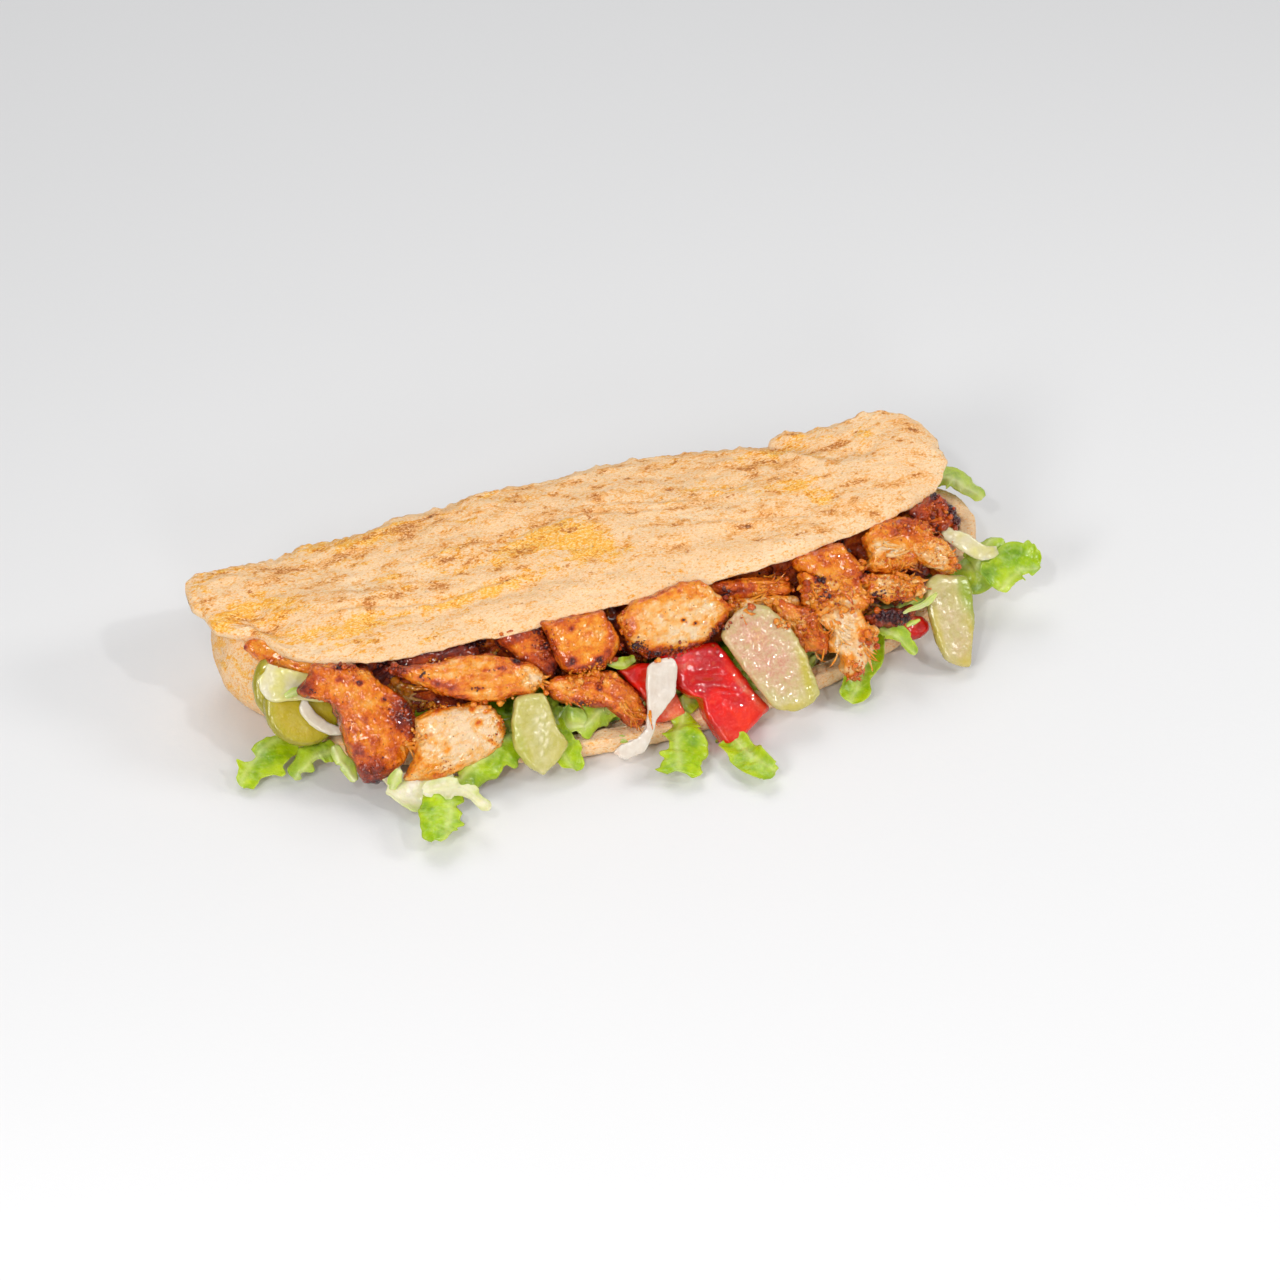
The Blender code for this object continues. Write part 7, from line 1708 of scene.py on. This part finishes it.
make_bits("crumbs", (
    (-20, -17, 9.0, 2.2, 0, 90, 0.5, 1.5, 0.36), (-71, -17.2, 6.0, 1.4, -6, 46, 0.5, 1.4, 0.34), (-55, -19.5, 9.0, 1.2, -4, 34, 0.4, 1.2, 0.42),
    (-67, -3.4, 3.0, 0.9, 0, 16, 0.6, 1.6, 0.34), (-46, -5.6, 2.6, 1.0, -15, 14, 0.6, 1.6, 0.30), (-80, -4, 3.4, 1.6, -20, 30, 0.5, 1.3, 0.62),
    (-7.5, -6, 2.4, 5.0, 8, 46, 0.6, 1.7, 0.42), (6, -16.8, 12.0, 1.6, -3, 120, 0.5, 1.5, 0.62), (22, -13.5, 6.0, 1.8, 28, 60, 0.5, 1.4, 0.60),
    (-4, -13.5, 3.0, 2.4, -40, 40, 0.5, 1.4, 0.78), (60, -10, 6.0, 5.0, 0, 70, 0.5, 1.5, 0.52), (52, -18, 4.0, 5.0, 0, 40, 0.5, 1.4, 0.50),
    (70, -26, 3.0, 4.0, 0, 34, 0.5, 1.4, 0.42), (64, -35, 3.0, 3.4, 0, 34, 0.5, 1.3, 0.44), (86, -15, 9.0, 4.0, -12, 90, 0.5, 1.5, 0.44),
    (82, -22, 6.0, 2.6, -8, 60, 0.5, 1.5, 0.86), (104, 7, 6.0, 5.0, 0, 90, 0.5, 1.6, 0.60), (100, -5, 7.0, 5.0, -25, 90, 0.4, 1.0, 0.26),
    (92, 5, 8.0, 2.6, 0, 60, 0.5, 1.4, 0.50), (86, -5, 9.0, 3.0, -10, 60, 0.5, 1.3, 0.38), (-82, -18, 4.0, 6.0, 0, 60, 0.4, 1.1, 0.66),
    (-97, -21, 2.0, 7.0, 5, 40, 0.4, 1.0, 0.50), (-92, -31, 5.0, 4.0, 0, 24, 0.4, 1.0, 0.62), (-93, 0, 6.0, 1.8, -10, 30, 0.4, 1.1, 0.56),
    (-42, 0.8, 4.0, 1.2, 10, 34, 0.5, 1.4, 0.44), (-33, -5, 3.0, 5.0, 0, 50, 0.4, 1.2, 0.60), (-24, -26, 6.0, 1.6, -12, 40, 0.5, 1.3, 0.46),
    (-18, -21.5, 2.4, 2.0, 0, 24, 0.5, 1.4, 0.46), (42, -16.4, 2.2, 1.6, -20, 22, 0.7, 1.8, 0.24), (33, -7, 3.4, 1.6, -20, 26, 0.5, 1.5, 0.40),
    (-56, -31, 2.4, 2.8, 30, 16, 0.4, 0.9, 0.42), (-72, -36, 8.0, 2.4, 10, 26, 0.3, 0.9, 0.34), (-58, -37, 2.4, 1.0, 20, 18, 0.5, 1.2, 0.78),
    (-51, -27, 1.6, 5.0, 0, 26, 0.4, 1.1, 0.36), (-114, 7, 5.0, 1.6, -30, 26, 0.3, 0.9, 0.50), (76, -4, 3.0, 2.0, 0, 26, 0.5, 1.4, 0.42)), 62, level=1, sink=0.2)
make_bits("charred_bits", (
    (-97, 1, 1.0, 0.7, 0, 9, 0.7, 1.6, 0.95), (-92.5, -5, 1.2, 0.5, 0, 7, 0.5, 1.3, 0.9), (-86.3, -11.6, 0.6, 0.5, 0, 4, 0.6, 1.2, 0.95),
    (-43, -9.3, 1.2, 0.5, -15, 9, 0.7, 1.6, 0.97), (-81.5, -1.2, 1.6, 1.0, 0, 16, 0.7, 1.8, 0.96), (-73, -6.6, 2.2, 1.2, -25, 14, 0.5, 1.3, 0.88),
    (-57.5, -14.6, 1.6, 0.7, -10, 8, 0.5, 1.2, 0.85), (-50, -10, 1.6, 0.5, -5, 7, 0.4, 1.0, 0.85), (-32, -6.6, 1.0, 0.8, 0, 12, 0.6, 1.7, 0.98),
    (-17.2, -14, 0.9, 0.5, 0, 7, 0.6, 1.3, 0.96), (-26, -13, 0.4, 0.4, 0, 3, 0.6, 1.1, 0.95), (-34, -1, 1.4, 2.0, 0, 14, 0.7, 1.8, 0.95),
    (2, -16.6, 7.0, 1.0, -8, 60, 0.6, 1.7, 0.93), (-4, -13.2, 2.4, 1.4, -45, 26, 0.6, 1.7, 0.95), (21, -13.6, 3.4, 1.2, 22, 22, 0.5, 1.3, 0.88),
    (59.5, -5, 2.2, 1.0, -25, 22, 0.7, 1.9, 0.97), (60, -10.8, 1.8, 0.8, -15, 18, 0.7, 1.9, 0.98), (80, -21.6, 5.0, 1.6, -8, 60, 0.7, 2.0, 0.97),
    (78, -15, 2.6, 2.2, -50, 26, 0.6, 1.5, 0.90), (85.5, -18, 1.8, 0.8, 0, 12, 0.5, 1.3, 0.92), (111.2, 6.6, 1.2, 2.2, 0, 36, 0.8, 2.1, 0.98),
    (112.6, 3.4, 1.0, 0.9, 0, 18, 0.8, 1.9, 0.98), (106.5, 12, 1.4, 1.0, 0, 16, 0.7, 1.7, 0.94), (-79, -17, 2.0, 5.0, 0, 24, 0.4, 1.1, 0.86),
    (-58, -37.4, 1.8, 0.6, 15, 12, 0.5, 1.3, 0.97), (28.5, -4, 1.2, 1.8, -40, 20, 0.6, 1.7, 0.97), (48, -1, 4.0, 1.0, -8, 20, 0.6, 1.6, 0.93),
    (-52, -1.6, 5.0, 1.0, 4, 24, 0.7, 1.9, 0.94), (74, 2.5, 2.6, 2.4, 0, 26, 0.8, 2.0, 0.94), (11.3, -8, 0.4, 0.3, 0, 3, 0.5, 0.9, 0.95),
    (14.8, -9.7, 0.4, 0.3, 0, 3, 0.5, 0.9, 0.95), (104, 2, 2.4, 1.6, 0, 14, 0.5, 1.4, 0.92), (-107, -4.4, 1.6, 0.8, -10, 8, 0.5, 1.2, 0.85)), 63, level=1, sink=0.25)
make_strands("torn_fibres", (
    (-79, -9, -62, 7, 0.8, 0.28, 7, 1.2), (-82, -26, -60, 5, 0.8, 0.22, 6, 1.0), (-36, -17, -40, 4, 0.7, 0.22, 7, 1.6), (-12, -30, -62, 7, 0.7, 0.28, 9, 1.6),
    (-8, -34, -80, 5, 0.6, 0.30, 6, 1.0), (-30, -24, -20, 5, 0.6, 0.34, 6, 2.0), (56, -6, -85, 6, 0.9, 0.26, 5, 0.8), (57, -12, 30, 5, 0.9, 0.28, 5, 0.9),
    (51.5, -19, -88, 7, 0.9, 0.26, 4, 0.6), (48, -16, -20, 7, 0.9, 0.30, 7, 1.6), (58, -18, -70, 5, 0.7, 0.26, 8, 1.8), (62, -22, -75, 7, 0.6, 0.10, 12, 3.0),
    (67, -30, -75, 6, 0.6, 0.16, 9, 2.2), (63, -36, -80, 4, 0.6, 0.34, 6, 1.4), (83, 0, -20, 7, 0.8, 0.16, 9, 2.0), (88, -4, -60, 5, 0.7, 0.24, 9, 2.2),
    (80, -12, -20, 6, 0.8, 0.18, 10, 2.4), (88, -13, -10, 6, 0.7, 0.22, 8, 2.0), (44, -3, -10, 8, 0.8, 0.34, 8, 2.4), (36, -7, -8, 8, 0.8, 0.26, 7, 2.0),
    (100, 3, -30, 5, 0.7, 0.40, 7, 2.2), (74, -11, -50, 6, 0.8, 0.34, 8, 2.0), (66, -8, -30, 6, 0.8, 0.36, 8, 2.4), (31, -7, -70, 4, 0.7, 0.30, 5, 1.2),
    (-44, 0, 20, 4, 0.7, 0.40, 5, 1.6), (94, -10, -60, 5, 0.7, 0.34, 7, 1.6), (105, -8, -30, 4, 0.7, 0.44, 6, 1.2),
    (-79, -8, -55, 9, 1.5, 0.20, 6, 0.9), (-77, -11, -48, 8, 1.2, 0.16, 5, 0.8)), 64)


# ------------------------------------------------------------------- the studio
def plain(name, rgb, rough):
    L = Look(name, Roughness=rough, Specular_IOR_Level=0.25)
    n = L.noise(9, 3, 0.5)
    tint = L.blend(n, tuple(c * 0.992 for c in rgb), rgb)
    return L.set(Base_Color=tint, Normal=L.relief(L.noise(600, 2), 0.0002, 0.2))


def make_floor():
    me = bpy.data.meshes.new("floor")
    s = 4.0
    me.from_pydata([(-s, -s, 0), (s, -s, 0), (s, s, 0), (-s, s, 0)], [], [(0, 1, 2, 3)])
    me.materials.append(plain("backdrop", (0.80, 0.80, 0.805), 0.7))
    ob = bpy.data.objects.new("floor", me)
    bpy.context.scene.collection.objects.link(ob)


def area(name, at, to, size, power, tint=(1, 1, 1), size_y=None):
    d = bpy.data.lights.new(name, "AREA")
    d.energy = power
    d.color = tint
    d.shape = "RECTANGLE" if size_y else "DISK"
    d.size = size
    if size_y:
        d.size_y = size_y
    ob = bpy.data.objects.new(name, d)
    ob.location = at
    ob.rotation_euler = (Vector(to) - Vector(at)).to_track_quat("-Z", "Y").to_euler()
    bpy.context.scene.collection.objects.link(ob)


def studio():
    world = bpy.data.worlds.new("studio")
    world.use_nodes = True
    world.node_tree.nodes["Background"].inputs[0].default_value = (0.97, 0.98, 1.0, 1.0)
    world.node_tree.nodes["Background"].inputs[1].default_value = 0.30
    bpy.context.scene.world = world
    area("key_left", (-0.66, -0.60, 0.55), (0, 0, 0.02), 0.30, 3.9, (1.0, 0.99, 0.97))
    area("key_right", (0.78, -0.36, 0.60), (0, 0, 0.02), 0.30, 2.9, (1.0, 0.99, 0.97))
    area("front", (-0.20, -0.95, 0.42), (0, -0.02, 0.02), 0.22, 1.5)
    area("over", (-0.05, 0.35, 1.1), (0, 0, 0.02), 0.5, 1.6)
    area("glint_left", (-0.40, -0.62, 0.80), (0, -0.02, 0.02), 0.05, 1.6)
    area("glint_right", (0.34, -0.62, 0.82), (0, -0.02, 0.02), 0.05, 1.4)
    area("wash", (0.1, 1.25, 1.5), (0.0, 1.0, 0.0), 1.2, 7.0)
    cam = bpy.data.cameras.new("camera")
    cam.lens = 100.0
    cam.sensor_width = 36.0
    cam.clip_start = 0.01
    ob = bpy.data.objects.new("camera", cam)
    ob.location = Vector((-0.29726188, -0.84839094, 0.73056506)) + Vector(MOVE) * MM
    ob.rotation_euler = Vector((0.26485571, 0.73125702, -0.62858144)).to_track_quat("-Z", "Y").to_euler()
    bpy.context.scene.collection.objects.link(ob)
    bpy.context.scene.camera = ob
    view = bpy.context.scene.view_settings
    view.view_transform = "Standard"
    view.look = "None"
    view.exposure = 0.0
    view.gamma = 1.0


make_floor()
studio()
